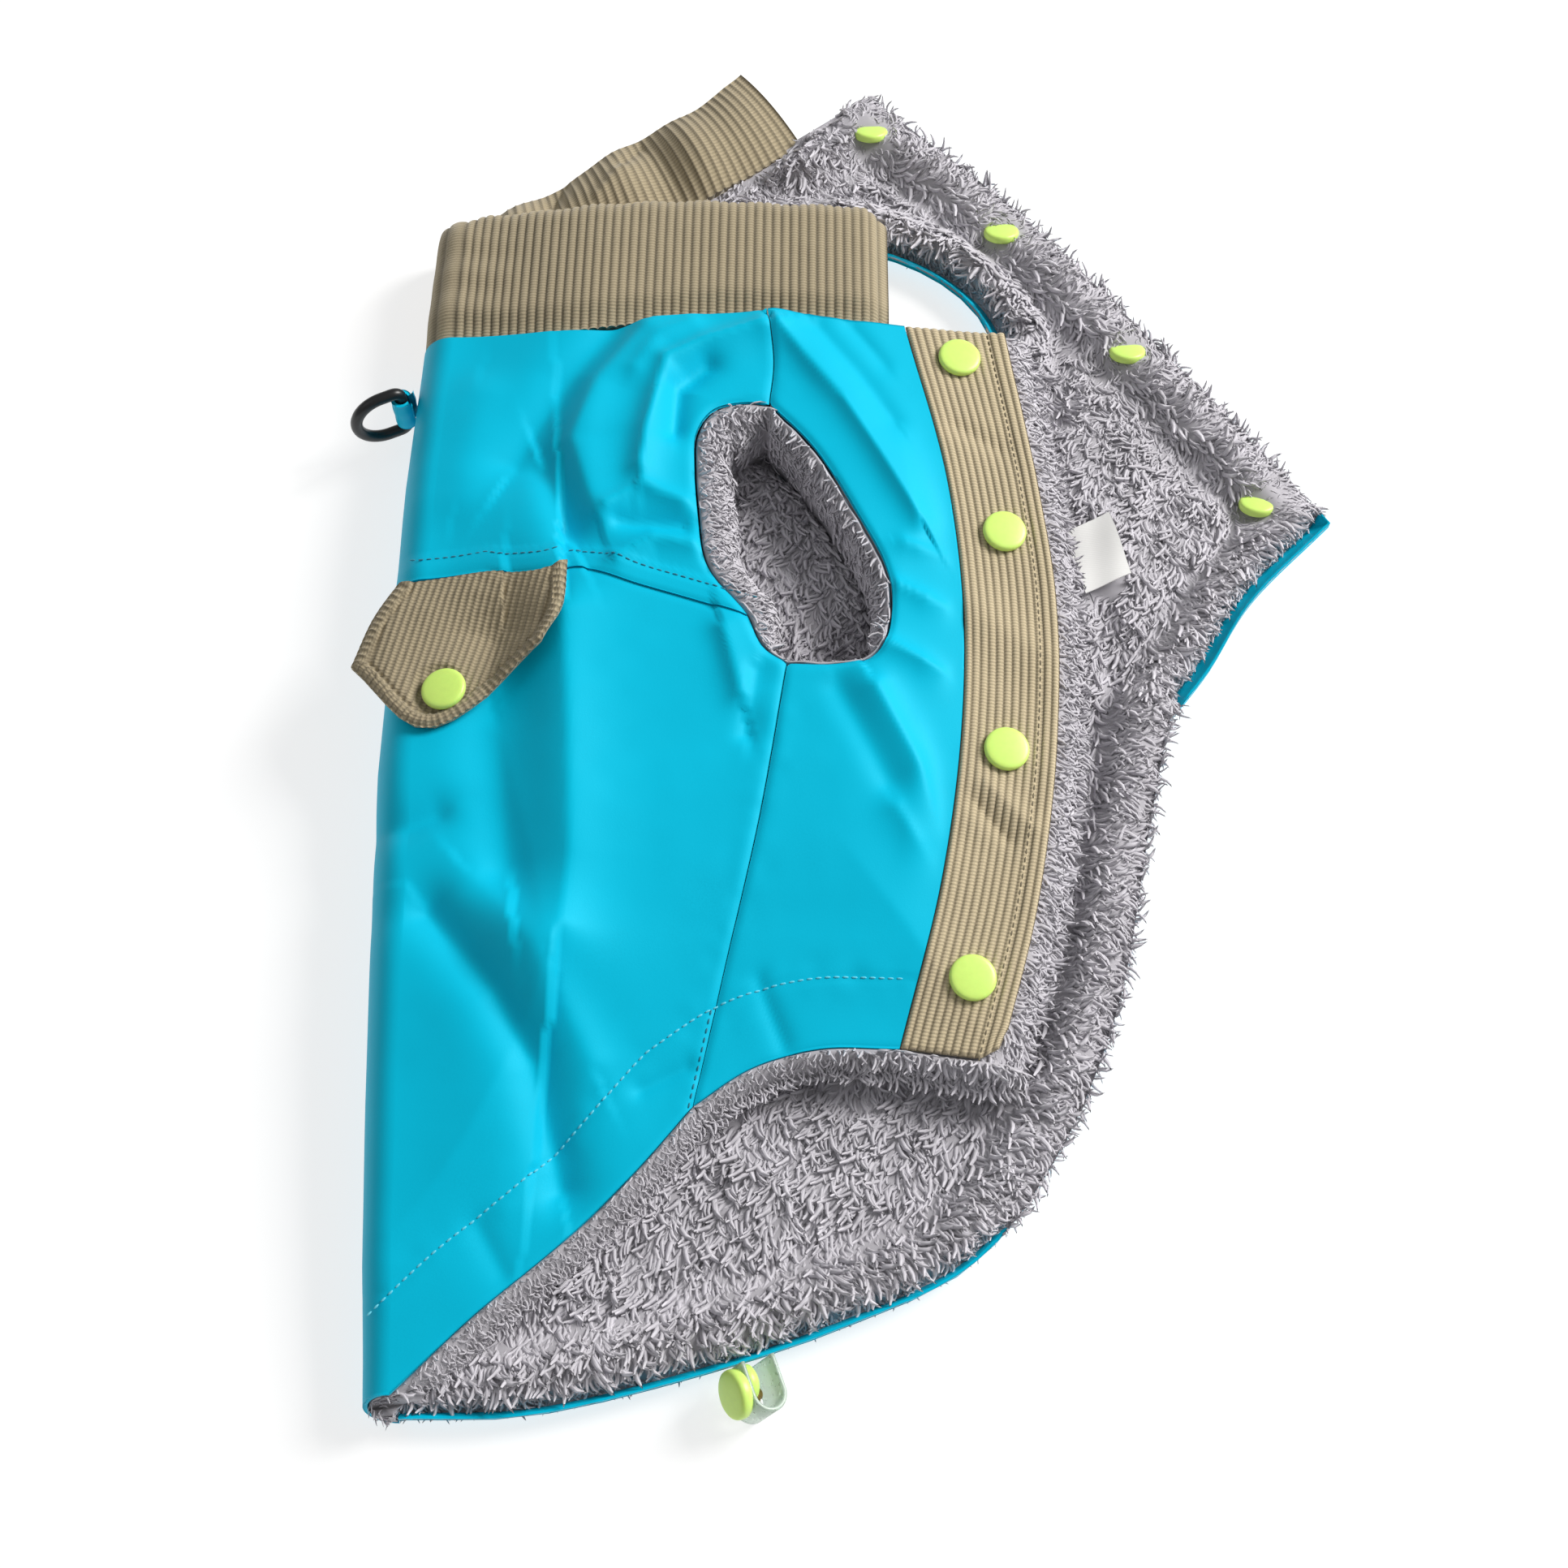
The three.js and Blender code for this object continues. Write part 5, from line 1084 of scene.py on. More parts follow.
def fur_tree():
    """Grows pile locks on the faces of a base, along its flow field, in random swirls."""
    tree, given = new_geometry_tree("Fur Pile", [
        ("Geometry", "Geometry"), ("Locks", "Collection"), ("Spacing", "Float"), ("Length", "Float"),
        ("Swirl Size", "Float"), ("Swirl Turn", "Float"), ("Spread", "Float"), ("Lift", "Float"),
        ("Seed", "Int"), ("Material", "Material")])
    pile, flow, curl, reach = (
        add_node(tree, "GeometryNodeInputNamedAttribute", {"data_type": kind}, {"Name": name})
        for name, kind in (
            ("pile", "FLOAT"), ("flow", "FLOAT_VECTOR"), ("curl", "FLOAT"), ("reach", "FLOAT")))
    spots = add_node(tree, "GeometryNodeDistributePointsOnFaces", {"distribute_method": "POISSON"}, {
        "Mesh": given["Geometry"], "Seed": given["Seed"], "Distance Min": given["Spacing"],
        "Density Max": 1.6e6, "Density Factor": pile})

    def random_value(low, high, seed):
        own_seed = add_node(tree, "ShaderNodeMath", {"operation": "ADD"}, {0: given["Seed"], 1: seed})
        return add_node(tree, "FunctionNodeRandomValue", {"data_type": "FLOAT"}, {
            2: low, 3: high, "Seed": own_seed}).outputs[1]

    def swirl_value(stretch, shift):
        moved = add_node(tree, "ShaderNodeVectorMath", {"operation": "ADD"}, {
            0: add_node(tree, "GeometryNodeInputPosition"), 1: (shift, shift, shift)})
        scale = add_node(tree, "ShaderNodeMath", {"operation": "DIVIDE"}, {
            0: stretch, 1: given["Swirl Size"]})
        noise = add_node(tree, "ShaderNodeTexNoise", inputs={
            "Vector": moved, "Scale": scale, "Detail": 1.0, "Roughness": 0.5})
        centred = add_node(tree, "ShaderNodeMath", {"operation": "SUBTRACT"}, {0: noise, 1: 0.5})
        return add_node(tree, "ShaderNodeMath", {"operation": "MULTIPLY"}, {0: centred, 1: 2.0})

    upright = add_node(tree, "FunctionNodeAlignRotationToVector", {"axis": "Z"}, {
        "Vector": spots.outputs["Normal"]})
    along = add_node(tree, "FunctionNodeAlignRotationToVector", {"axis": "X", "pivot_axis": "Z"}, {
        "Rotation": upright, "Vector": flow})
    broad, tight = (
        add_node(tree, "ShaderNodeMath", {"operation": "MULTIPLY"}, {0: swirl, 1: given["Swirl Turn"]})
        for swirl in (swirl_value(1.0, 0.0), swirl_value(3.2, 4.0)))
    swirl = add_node(tree, "ShaderNodeMath", {"operation": "ADD"}, {0: broad, 1: tight})
    swirl = add_node(tree, "ShaderNodeMath", {"operation": "MULTIPLY"}, {0: swirl, 1: curl})
    spread = add_node(tree, "ShaderNodeMath", {"operation": "MULTIPLY"}, {
        0: random_value(-1.0, 1.0, 1), 1: given["Spread"]})
    yaw = add_node(tree, "ShaderNodeMath", {"operation": "ADD"}, {0: swirl, 1: spread})
    pitch = add_node(tree, "ShaderNodeMath", {"operation": "ADD"}, {
        0: swirl_value(3.0, 9.0), 1: random_value(-0.35, 0.35, 2)})
    pitch = add_node(tree, "ShaderNodeMath", {"operation": "MULTIPLY"}, {0: pitch, 1: given["Lift"]})
    turn = add_node(tree, "FunctionNodeEulerToRotation", inputs={
        "Euler": add_node(tree, "ShaderNodeCombineXYZ", inputs={"Y": pitch, "Z": yaw})})
    facing = add_node(tree, "FunctionNodeRotateRotation", {"rotation_space": "LOCAL"}, {
        "Rotation": along, "Rotate By": turn})
    length = add_node(tree, "ShaderNodeMath", {"operation": "MULTIPLY"}, {0: given["Length"], 1: reach})
    length = add_node(tree, "ShaderNodeMath", {"operation": "MULTIPLY"}, {
        0: length, 1: random_value(0.72, 1.25, 3)})
    locks = add_node(tree, "GeometryNodeCollectionInfo", inputs={
        "Collection": given["Locks"], "Separate Children": True, "Reset Children": True})
    laid = add_node(tree, "GeometryNodeInstanceOnPoints", inputs={
        "Points": spots.outputs["Points"], "Instance": locks, "Pick Instance": True,
        "Rotation": facing, "Scale": length})
    toned = add_node(tree, "GeometryNodeStoreNamedAttribute", {"data_type": "FLOAT", "domain": "INSTANCE"}, {
        "Geometry": laid, "Name": "tone", "Value": random_value(0.0, 1.0, 4)})
    both = add_node(tree, "GeometryNodeJoinGeometry")
    tree.links.new(given["Geometry"], both.inputs[0])
    tree.links.new(toned.outputs[0], both.inputs[0])
    end_geometry_tree(tree, both, given["Material"])
    return tree


def lock_variants():
    """A few bent, tapering fur locks, each one unit long, to be scattered by the fur tree."""
    random = np.random.default_rng(RANDOM_SEED)
    collection = bpy.data.collections.new("fur_locks")
    along = np.array([0, 0.3, 0.6, 0.84])
    for number in range(10):
        hook = random.uniform(0.4, 1.25) * (-1) ** number
        rise, fall = random.uniform(0.38, 0.6), random.uniform(0.7, 1.0)
        half_width = random.uniform(0.09, 0.135)
        steps = np.linspace(0, 1, 26)
        yaw, pitch = hook * np.sin(2.3 * steps - 0.4), rise - fall * steps
        ahead = np.stack([np.cos(pitch) * np.cos(yaw), np.cos(pitch) * np.sin(yaw), np.sin(pitch)], axis=1)
        line = np.vstack([[0, 0, -0.06], np.cumsum(ahead[:-1] / 25, axis=0) + [0, 0, -0.06]])
        at = lambda values, t: np.stack([np.interp(t, steps, values[:, k]) for k in range(3)], axis=1)
        centre, forward = at(line, along), at(ahead, along)
        side = np.cross([0, 0, 1.0], forward)
        side /= np.linalg.norm(side, axis=1, keepdims=True)
        up = np.cross(forward, side)
        radius = half_width * np.array([0.85, 1.0, 0.78, 0.42])
        turn = np.radians([90, 210, 330])
        flatness = 0.55
        points = centre[:, None] + radius[:, None, None] * (
            np.cos(turn)[None, :, None] * side[:, None]
            + flatness * np.sin(turn)[None, :, None] * up[:, None])
        points = np.vstack([points.reshape(-1, 3), line[-1:]])
        ids = wrapped(np.arange(12).reshape(4, 3))
        faces = grid_faces(ids).tolist() + [[ids[3, k], ids[3, k + 1], 12] for k in range(3)] + [[2, 1, 0]]
        if not points_outwards(points, faces):
            faces = [face[::-1] for face in faces]
        mesh = bpy.data.meshes.new(f"fur_lock_{number}")
        mesh.from_pydata(points.tolist(), [], [[int(i) for i in face] for face in faces])
        store_fields(mesh, {
            "tip": np.append(np.repeat(along, 3), 1.0),
            "strand": np.append(np.tile([0.0, 1.0, 2.0], 4), 1.0)})
        collection.objects.link(bpy.data.objects.new(f"fur_lock_{number}", mesh))
    return collection


# Operators, one for each group of pieces

def sizes():
    return bpy.context.scene.coat_sizes


def colours():
    return bpy.context.scene.coat_colours


MATERIALS = {}
TREES = {}


def material_of(kind):
    """Each material is made once, when a piece first asks for it."""
    if kind not in MATERIALS:
        tint = colours()
        makers = {
            "softshell": lambda: softshell_material("softshell weave", tint.softshell),
            # One cloth in two copies: the collar's and flap's is darkened as painted shade, and the placket's
            # is lightened as painted light.
            "corduroy": lambda: corduroy_material("cotton corduroy", shaded(tint.corduroy, 0.92)),
            "lit_corduroy": lambda: corduroy_material("worn cotton corduroy", shaded(tint.corduroy, 1.32)),
            "fur": lambda: fur_material("plush fur", tint.fur),
            "lime": lambda: smooth_material("lime acetal", tint.lime, 0.36, {
                "Subsurface Weight": 0.08, "Subsurface Scale": 0.002}),
            "ring": lambda: smooth_material("black coated steel", tint.ring, 0.34),
            "strap": lambda: smooth_material("frosted clear elastic", tint.strap, 0.28, {
                "Transmission Weight": 0.6, "IOR": 1.45}),
            "brass": lambda: smooth_material("brass", tint.brass, 0.25, {"Metallic": 1.0}),
            "label": lambda: satin_material("white satin tape", tint.label),
            "teal_thread": lambda: thread_material("teal sewing thread", linear("#5fcfe4")),
            "dark_thread": lambda: thread_material("dark teal sewing thread", linear("#0b7f97")),
            "khaki_thread": lambda: thread_material("khaki sewing thread", linear("#7d7259")),
            "floor": lambda: floor_material("white paper", linear("#a8a8a8")),
        }
        MATERIALS[kind] = makers[kind]()
    return MATERIALS[kind]


def tree_of(kind):
    if kind not in TREES:
        TREES[kind] = {"wales": wale_tree, "stitches": stitch_tree, "fur": fur_tree}[kind]()
        if kind == "fur":
            TREES["locks"] = lock_variants()
    return TREES[kind]


class COAT_OT_stage(bpy.types.Operator):
    """White sweep, soft studio lights and the camera of the picture"""
    bl_idname = "coat.stage"
    bl_label = "Stage"

    def execute(self, context):
        half = 4.0
        mesh = bpy.data.meshes.new("paper_sweep")
        corners = [(-half, -half, 0), (half, -half, 0), (half, half, 0), (-half, half, 0)]
        mesh.from_pydata(corners, [], [(0, 1, 2, 3)])
        floor = linked_object("paper_sweep", mesh)
        floor.location.z = -0.0002
        mesh.materials.append(material_of("floor"))
        for name, place, side, power, colour in (
            ("key_light", (1.95, 0.95, 1.6), 1.1, 92, (1, 0.985, 0.965)),
            ("left_fill", (-1.6, -0.3, 1.7), 1.6, 3, (0.95, 0.98, 1)),
        ):
            lamp = bpy.data.lights.new(name, "AREA")
            lamp.shape, lamp.size, lamp.energy, lamp.color = "SQUARE", side, power, colour
            light = linked_object(name, lamp)
            light.location = place
            light.rotation_euler = (-Vector(place)).to_track_quat("-Z", "Y").to_euler()
        world = bpy.data.worlds.new("studio")
        world.use_nodes = True
        world.node_tree.nodes["Background"].inputs["Color"].default_value = (1, 1, 1, 1)
        world.node_tree.nodes["Background"].inputs["Strength"].default_value = 0.29
        context.scene.world = world
        context.scene.view_settings.view_transform = "Standard"
        lens = bpy.data.cameras.new("picture_camera")
        lens.lens, lens.sensor_width, lens.sensor_fit = PICTURE_LENS, 36, "HORIZONTAL"
        lens.clip_start, lens.clip_end = 0.01, 20
        camera = linked_object("picture_camera", lens)
        target = Vector(to_frame(CAMERA_TARGET)[0])
        tilt = math.radians(CAMERA_TILT)
        back = Vector((0, -math.cos(tilt), math.sin(tilt))) * CAMERA_DISTANCE * MM
        camera.location = target + back
        camera.rotation_euler = (-back).to_track_quat("-Z", "Y").to_euler()
        context.scene.camera = camera
        return {"FINISHED"}


class COAT_OT_shell_top(bpy.types.Operator):
    """Softshell yoke, back and chest of the upper half"""
    bl_idname = "coat.shell_top"
    bl_label = "Upper Softshell"

    def execute(self, context):
        flat = upper_panels(sizes().cloth_step / MM)
        wall = sizes().shell_wall / MM
        roll_columns = 26
        for name, grid in flat.items():
            lifted_grid = lifted(grid, shell_height(name))
            if name == "chest":
                outer, inner = lifted_grid, lowered(lifted_grid, wall)
            else:
                outer, inner = (rolled(lifted_grid, depth, roll_columns) for depth in (0, wall))
            for side in (outer, inner):
                side[..., 2] = np.maximum(side[..., 2], FLOOR_CLEARANCE)
            piece = cloth_piece(f"softshell_{name}_top", outer, coarser(inner, 2, 2))
            dress(piece, material_of("softshell"), [f"{name}_top"])
        return {"FINISHED"}


class COAT_OT_shell_bottom(bpy.types.Operator):
    """Softshell yoke, back and chest of the lower half, whose rims curl up round the fur"""
    bl_idname = "coat.shell_bottom"
    bl_label = "Lower Softshell"

    def execute(self, context):
        wall = sizes().shell_wall / MM
        for name, grid in lower_panels(4.0).items():
            x, y = grid[..., 0], grid[..., 1]
            outside = lifted(grid, rim_lift)
            edge = from_free_edge(x, y)
            bead = 0.4 * np.exp(-((edge / 2.2) ** 2))
            bead = bead + 2.3 * smooth(bare_band(x, y) / 1.2 + 0.5) * smooth(edge / 0.8 + 0.4)
            within = outside + np.stack([0 * bead, 0 * bead, wall + bead], axis=-1)
            piece = cloth_piece(f"softshell_{name}_bottom", within, coarser(outside, 2, 2))
            dress(piece, material_of("softshell"), [f"{name}_bottom"])
        return {"FINISHED"}


def ribbed_wall(name, node, outer, inner, wale, along, kind="corduroy"):
    """A corduroy wall: its ribs are raised by the wale tree from the wale field."""
    piece = cloth_piece(name, outer, inner, {"wale": wale, "along": along})
    grown_piece(piece, tree_of("wales"), {
        "Relief": sizes().wale_relief, "Roundness": WALE_ROUNDNESS, "Material": material_of(kind)})
    return dress(piece, material_of(kind), [node])


PLACKET_WALES = 12
PLACKET_DENTS = [
    fold("dent under third snap", [(62, -14), (72, -26)], (3, 3), -1.5, 1.5),
    fold("swell under third snap", [(66, -8), (80, -22)], (4, 4), 1.3, 1.5),
    fold("upper dent", [(60, 128), (74, 120)], (4, 4), -1.1, 1.6),
    fold("middle swell", [(66, 52), (86, 40)], (9, 9), 1.3, 1.8),
]


def placket_height(x, y):
    waves = 0.35 * soft_noise(x, y, 17, 51) + 0.15 * soft_noise(x, y, 7, 52)
    return upper_height(x, y) - SHELL_WALL + PLACKET_WALL + fold_relief(PLACKET_DENTS, x, y) + waves


class COAT_OT_placket(bpy.types.Operator):
    """Corduroy snap placket with its turned edges and its row of topstitching"""
    bl_idname = "coat.placket"
    bl_label = "Placket"

    def execute(self, context):
        cols, rows = with_edge(PLACKET_WALES * 8, 0.006), with_edge(230, 0.002)
        flat = inset(coons_patch(
            curve_points([PLACKET_LEFT[0], PLACKET_RIGHT[0]], cols),
            curve_points([PLACKET_LEFT[-1], PLACKET_RIGHT[-1]], cols),
            curve_points(PLACKET_LEFT, rows),
            curve_points(PLACKET_RIGHT, rows),
        ), SEAM_GAP)
        across, down = np.meshgrid(cols, rows)
        flat[..., 1] += 4 * smooth((across - 0.7) / 0.3) ** 2 * smooth((down - 0.95) / 0.05)
        outer = lifted(flat, placket_height)
        from_left = PLACKET_WIDTH * across
        from_right = PLACKET_WIDTH - from_left
        from_side = np.minimum(from_left, from_right)
        from_end = PLACKET_LENGTH * np.minimum(down, 1 - down)
        edge = np.minimum(from_side, from_end)
        turned_edge = 1.0 * np.exp(-((edge / 0.9) ** 2))
        stitch_groove = 0.45 * np.exp(-(((from_right - PLACKET_STITCH_INSET) / 0.7) ** 2))
        outer[..., 2] -= turned_edge + stitch_groove
        inner = lifted(flat, lambda x, y: upper_height(x, y) - SHELL_WALL)
        # The placket takes the corduroy copy that is lightened as painted light.
        placket = ribbed_wall("corduroy_placket", "placket", outer, coarser(inner, 8, 8),
                              across * PLACKET_WALES, down * PLACKET_LENGTH, "lit_corduroy")
        return {"FINISHED"}


COLLAR_WALES = 48


def neck_y(x):
    neck = join(dense_curve(NECK_YOKE, 20), dense_curve(NECK_FRONT, 10))
    return np.interp(x, neck[:, 0], neck[:, 1])


class COAT_OT_collar(bpy.types.Operator):
    """Padded stand collar of ribbed corduroy: the front band and the band behind it"""
    bl_idname = "coat.collar"
    bl_label = "Collar"

    def execute(self, context):
        self.front_band()
        self.rear_band()
        return {"FINISHED"}

    def front_band(self):
        roll_wales, samples, right_end = 4, 7, 37.5
        crown = 0.8 + 0.2 * np.sin(np.linspace(0, math.pi / 2, 20))
        v = np.concatenate([[0, 0.02, 0.05], np.linspace(0.08, 0.78, 28), crown])[:, None]
        u = np.linspace(0, 1, COLLAR_WALES * samples + 1)[None, :]
        section_y = COLLAR_TOP_Y - 50 * (1 - v)
        start = fold_start(section_y)
        x = start + (right_end - start) * u
        low = neck_y(x) + 0.6
        top = COLLAR_TOP_Y + 6.5 - 0.9 * np.sin(u * 9) - 3.5 * smooth((u - 0.93) / 0.07) * v
        top = top - 2.5 * smooth((0.06 - u) / 0.06) + 0.4 * np.sin(u * 47)
        y = low + (top - low) * v
        tuck = 3.2 * (1 - smooth(v / 0.2))
        crown_fall = COLLAR_DEPTH * (1 - np.sqrt(1 - clamp01((v - 0.8) / 0.2) ** 2.4))
        end_fall = 6 * smooth((u - 0.93) / 0.07) ** 2
        rumple = 0.35 * np.sin(y * 0.42 + 2 * np.sin(x * 0.05)) * smooth((-80 - x) / 35)
        pads = 0.35 * soft_noise(x, y, 26, 21) + 0.15 * soft_noise(x, y, 8, 22)
        calm = smooth(v / 0.15) * smooth((1 - v) / 0.1)
        z = upper_height(np.minimum(x, 36), np.full(x.shape, 172.0), folds=False) + 0.6
        z = z - tuck - crown_fall - end_fall + (rumple + pads) * calm
        flat_part = np.stack([x, y, z], axis=-1)
        turn = np.linspace(math.pi * 0.86, 0, roll_wales * samples + 1)[:-1][None, :]
        half = z[:, :1] / 2
        roll = np.stack([
            start - roll_at(section_y) * np.sin(turn),
            np.broadcast_to(y[:, :1], (len(v), turn.size)),
            half * (1 + np.cos(turn)),
        ], axis=-1)
        outer = np.concatenate([roll, flat_part], axis=1)
        inner = level_underside(outer, roll_wales * samples)
        wale = (np.arange(outer.shape[1]) / samples)[None, :] * np.ones((len(v), 1))
        band = ribbed_wall("corduroy_collar_top", "collar_top", outer, coarser(inner, 12, 14),
                           wale, outer[..., 1])

    def rear_band(self):
        wales, samples = 34, 7
        u = np.linspace(0, 1, wales * samples + 1)
        seam = curve_points(REAR_COLLAR_SEAM, u)
        far = curve_points(REAR_COLLAR_EDGE, u)
        v = np.linspace(0, 1, 44)[:, None]
        puff = 10.8 + 2.2 * np.sin(u * 19 + 0.6) + 1.0 * np.sin(u * 31)
        dome = np.sin(math.pi * (0.12 + 0.76 * v)) ** 0.7
        end_fall = 1 - 0.45 * smooth((u - 0.9) / 0.1)
        xy = seam[None] + (far - seam)[None] * v[..., None]
        crease = fold_relief([
            fold("left crease", [(-88, 243), (-84, 254)], (4, 3), -2.6, 1.3),
            fold("right crease", [(-62, 262), (-56, 272)], (4, 3), -2.0, 1.3),
            fold("swell between", [(-70, 246), (-62, 258)], (3, 5), 1.4, 1.5),
        ], xy[..., 0], xy[..., 1])
        z = 2 + puff[None] * dome * end_fall[None] + crease * dome
        outer = np.concatenate([xy, z[..., None]], axis=-1)
        inner = outer.copy()
        inner[..., 2] = FLOOR_CLEARANCE
        wale = (u * wales)[None, :] * np.ones(v.shape)
        band_depth = 32
        band = ribbed_wall("corduroy_collar_bottom", "collar_bottom", outer, coarser(inner, 43, 14),
                           wale, v * band_depth * np.ones(wale.shape))


def flap_grids():
    """Inner grid of the pocket flap, with its column and row fractions."""
    cols, rows = with_edge(150, 0.005), with_edge(104, 0.006)
    flat = coons_patch(
        curve_points(FLAP_OUTLINE["top"], cols), curve_points(FLAP_OUTLINE["bottom"], cols),
        curve_points(FLAP_OUTLINE["left"], rows), curve_points(FLAP_OUTLINE["right"], rows),
    )
    across, down = np.meshgrid(cols, rows)
    x, y = flat[..., 0], flat[..., 1]
    clear = fold_start(40.0) + 1
    on_back = lambda a, b: upper_height(np.maximum(a, clear), b)
    around = ((0, 0), (-2.5, 0), (2.5, 0), (0, 4), (0, -4))
    rest = np.maximum.reduce([on_back(x + dx, y + dy) for dx, dy in around])
    curl = 5 * smooth((across - 0.45) / 0.4) * smooth((down - 0.45) / 0.55)
    droop = 2.5 * smooth((section_at(40.0, "fold_x") + 6 - x) / 16)
    sag = 0.8 * fold_relief([
        fold("flap swell", [(-118, 52), (-104, 60)], (6, 6), 1.0, 1.6),
        fold("flap dip", [(-122, 34), (-108, 44)], (6, 6), -0.7, 1.8),
    ], x, y)
    z = rest + SEAM_GAP + 0.6 + curl - droop + sag
    seat, axis = seat_of("flap_snap")
    level = seat[2] - (axis[0] * (x - seat[0]) + axis[1] * (y - seat[1])) / axis[2]
    away = np.hypot(x - seat[0], y - seat[1])
    z = np.minimum(z, level - 2.6 + 0.7 * np.maximum(0, away - 8.2))
    inner = np.concatenate([flat, z[..., None]], axis=-1)
    return inner, across, down


class COAT_OT_flap(bpy.types.Operator):
    """Corduroy pocket flap with its thick turned rim"""
    bl_idname = "coat.flap"
    bl_label = "Pocket Flap"

    def execute(self, context):
        inner, across, down = flap_grids()
        x, y = inner[..., 0], inner[..., 1]
        rim, pitch = 4.0, 2.4
        border = np.vstack([inner[:, 0, :2], inner[-1, 1:, :2], inner[::-1, -1, :2][1:]])
        from_rim, _, near_x, near_y = nearest_on(border, x, y)
        run = np.concatenate([[0], np.cumsum(np.linalg.norm(np.diff(border, axis=0), axis=1))])
        apart = np.hypot(border[:, 0] - near_x[..., None], border[:, 1] - near_y[..., None])
        nearest = np.argmin(apart, axis=-1)
        in_rim = from_rim < rim
        lip = 0.9 * smooth(1 - (from_rim - rim) / 1.2)
        lip = lip - 0.7 * np.exp(-(((from_rim - rim - 0.9) / 0.7) ** 2))
        edge = -1.3 * np.exp(-((from_rim / 1.0) ** 2))
        outer = inner + np.stack([0 * lip, 0 * lip, 2.2 + lip + edge], axis=-1)
        straight = (x * 0.97 - y * 0.24) / pitch
        wale = np.where(in_rim, run[nearest] / pitch, straight)
        along = np.where(in_rim, from_rim, y * 0.97 + x * 0.24)
        flap = ribbed_wall("corduroy_flap", "pocket_flap", outer, coarser(inner, 10, 12), wale, along)
        return {"FINISHED"}


# Fur: a lumpy base, and locks where the fur can be seen

def flow_field(x, y):
    """Lie of the lower fur: outwards along the hem, and down towards the tail inside it."""
    hem, _, near_x, near_y = nearest_on(LOWER_HEM_LINE, x, y)
    front, _, front_x, front_y = nearest_on(dense_curve(LOWER_FRONT, 30), x, y)
    out = np.stack([near_x - x, near_y - y], axis=-1) / (hem[..., None] + 1e-6)
    forward = np.stack([front_x - x, front_y - y], axis=-1) / (front[..., None] + 1e-6)
    inner = np.stack([-0.35 + 0 * x, -0.9 + 0 * x], axis=-1)
    to_hem, to_front = smooth(1 - (hem - 16) / 14)[..., None], smooth(1 - (front - 10) / 14)[..., None]
    flow = inner * (1 - to_hem) * (1 - to_front) + out * to_hem + forward * to_front
    flow /= np.linalg.norm(flow, axis=-1, keepdims=True) + 1e-9
    return np.concatenate([flow, np.zeros(flow.shape[:-1] + (1,))], axis=-1)


def near_polygon(polygon, x, y):
    """Distance inside a polygon's border, below zero outside it."""
    ring = np.vstack([polygon, polygon[:1]])
    distance = nearest_on(ring, x, y)[0]
    return np.where(inside(polygon, x, y), distance, -distance)


def lower_pile(x, y):
    """How much fur grows at a point of the lower half: none where it stays hidden."""
    hidden = near_polygon(UPPER_FOOTPRINT, x, y)
    pile = smooth(1 - (hidden - 12) / 4)
    pile = np.maximum(pile, (near_polygon(ARMHOLE_RING[:-1], x, y) > -4).astype(float))
    for snap in FUR_SNAPS:
        pile = pile * (np.hypot(x - snap[0], y - snap[1] - 0.5) > 4.6)
    corners = np.array([LABEL_CORNERS[key] for key in ("left", "top", "right", "bottom")], float)
    return pile * (near_polygon(corners, x, y) < -2.5)


def fur_piece(name, nodes, base, spacing, length, lift=0.5, seed=0):
    """Grows locks on a base mesh and dresses the result."""
    grown_piece(base, tree_of("fur"), {
        "Locks": TREES["locks"], "Spacing": spacing * MM / sizes().fur_detail, "Length": length * MM,
        "Swirl Size": sizes().swirl_size, "Swirl Turn": 2.2, "Spread": 0.22, "Lift": lift,
        "Seed": RANDOM_SEED + seed, "Material": material_of("fur")})
    base.name = name
    return dress(base, material_of("fur"), nodes)


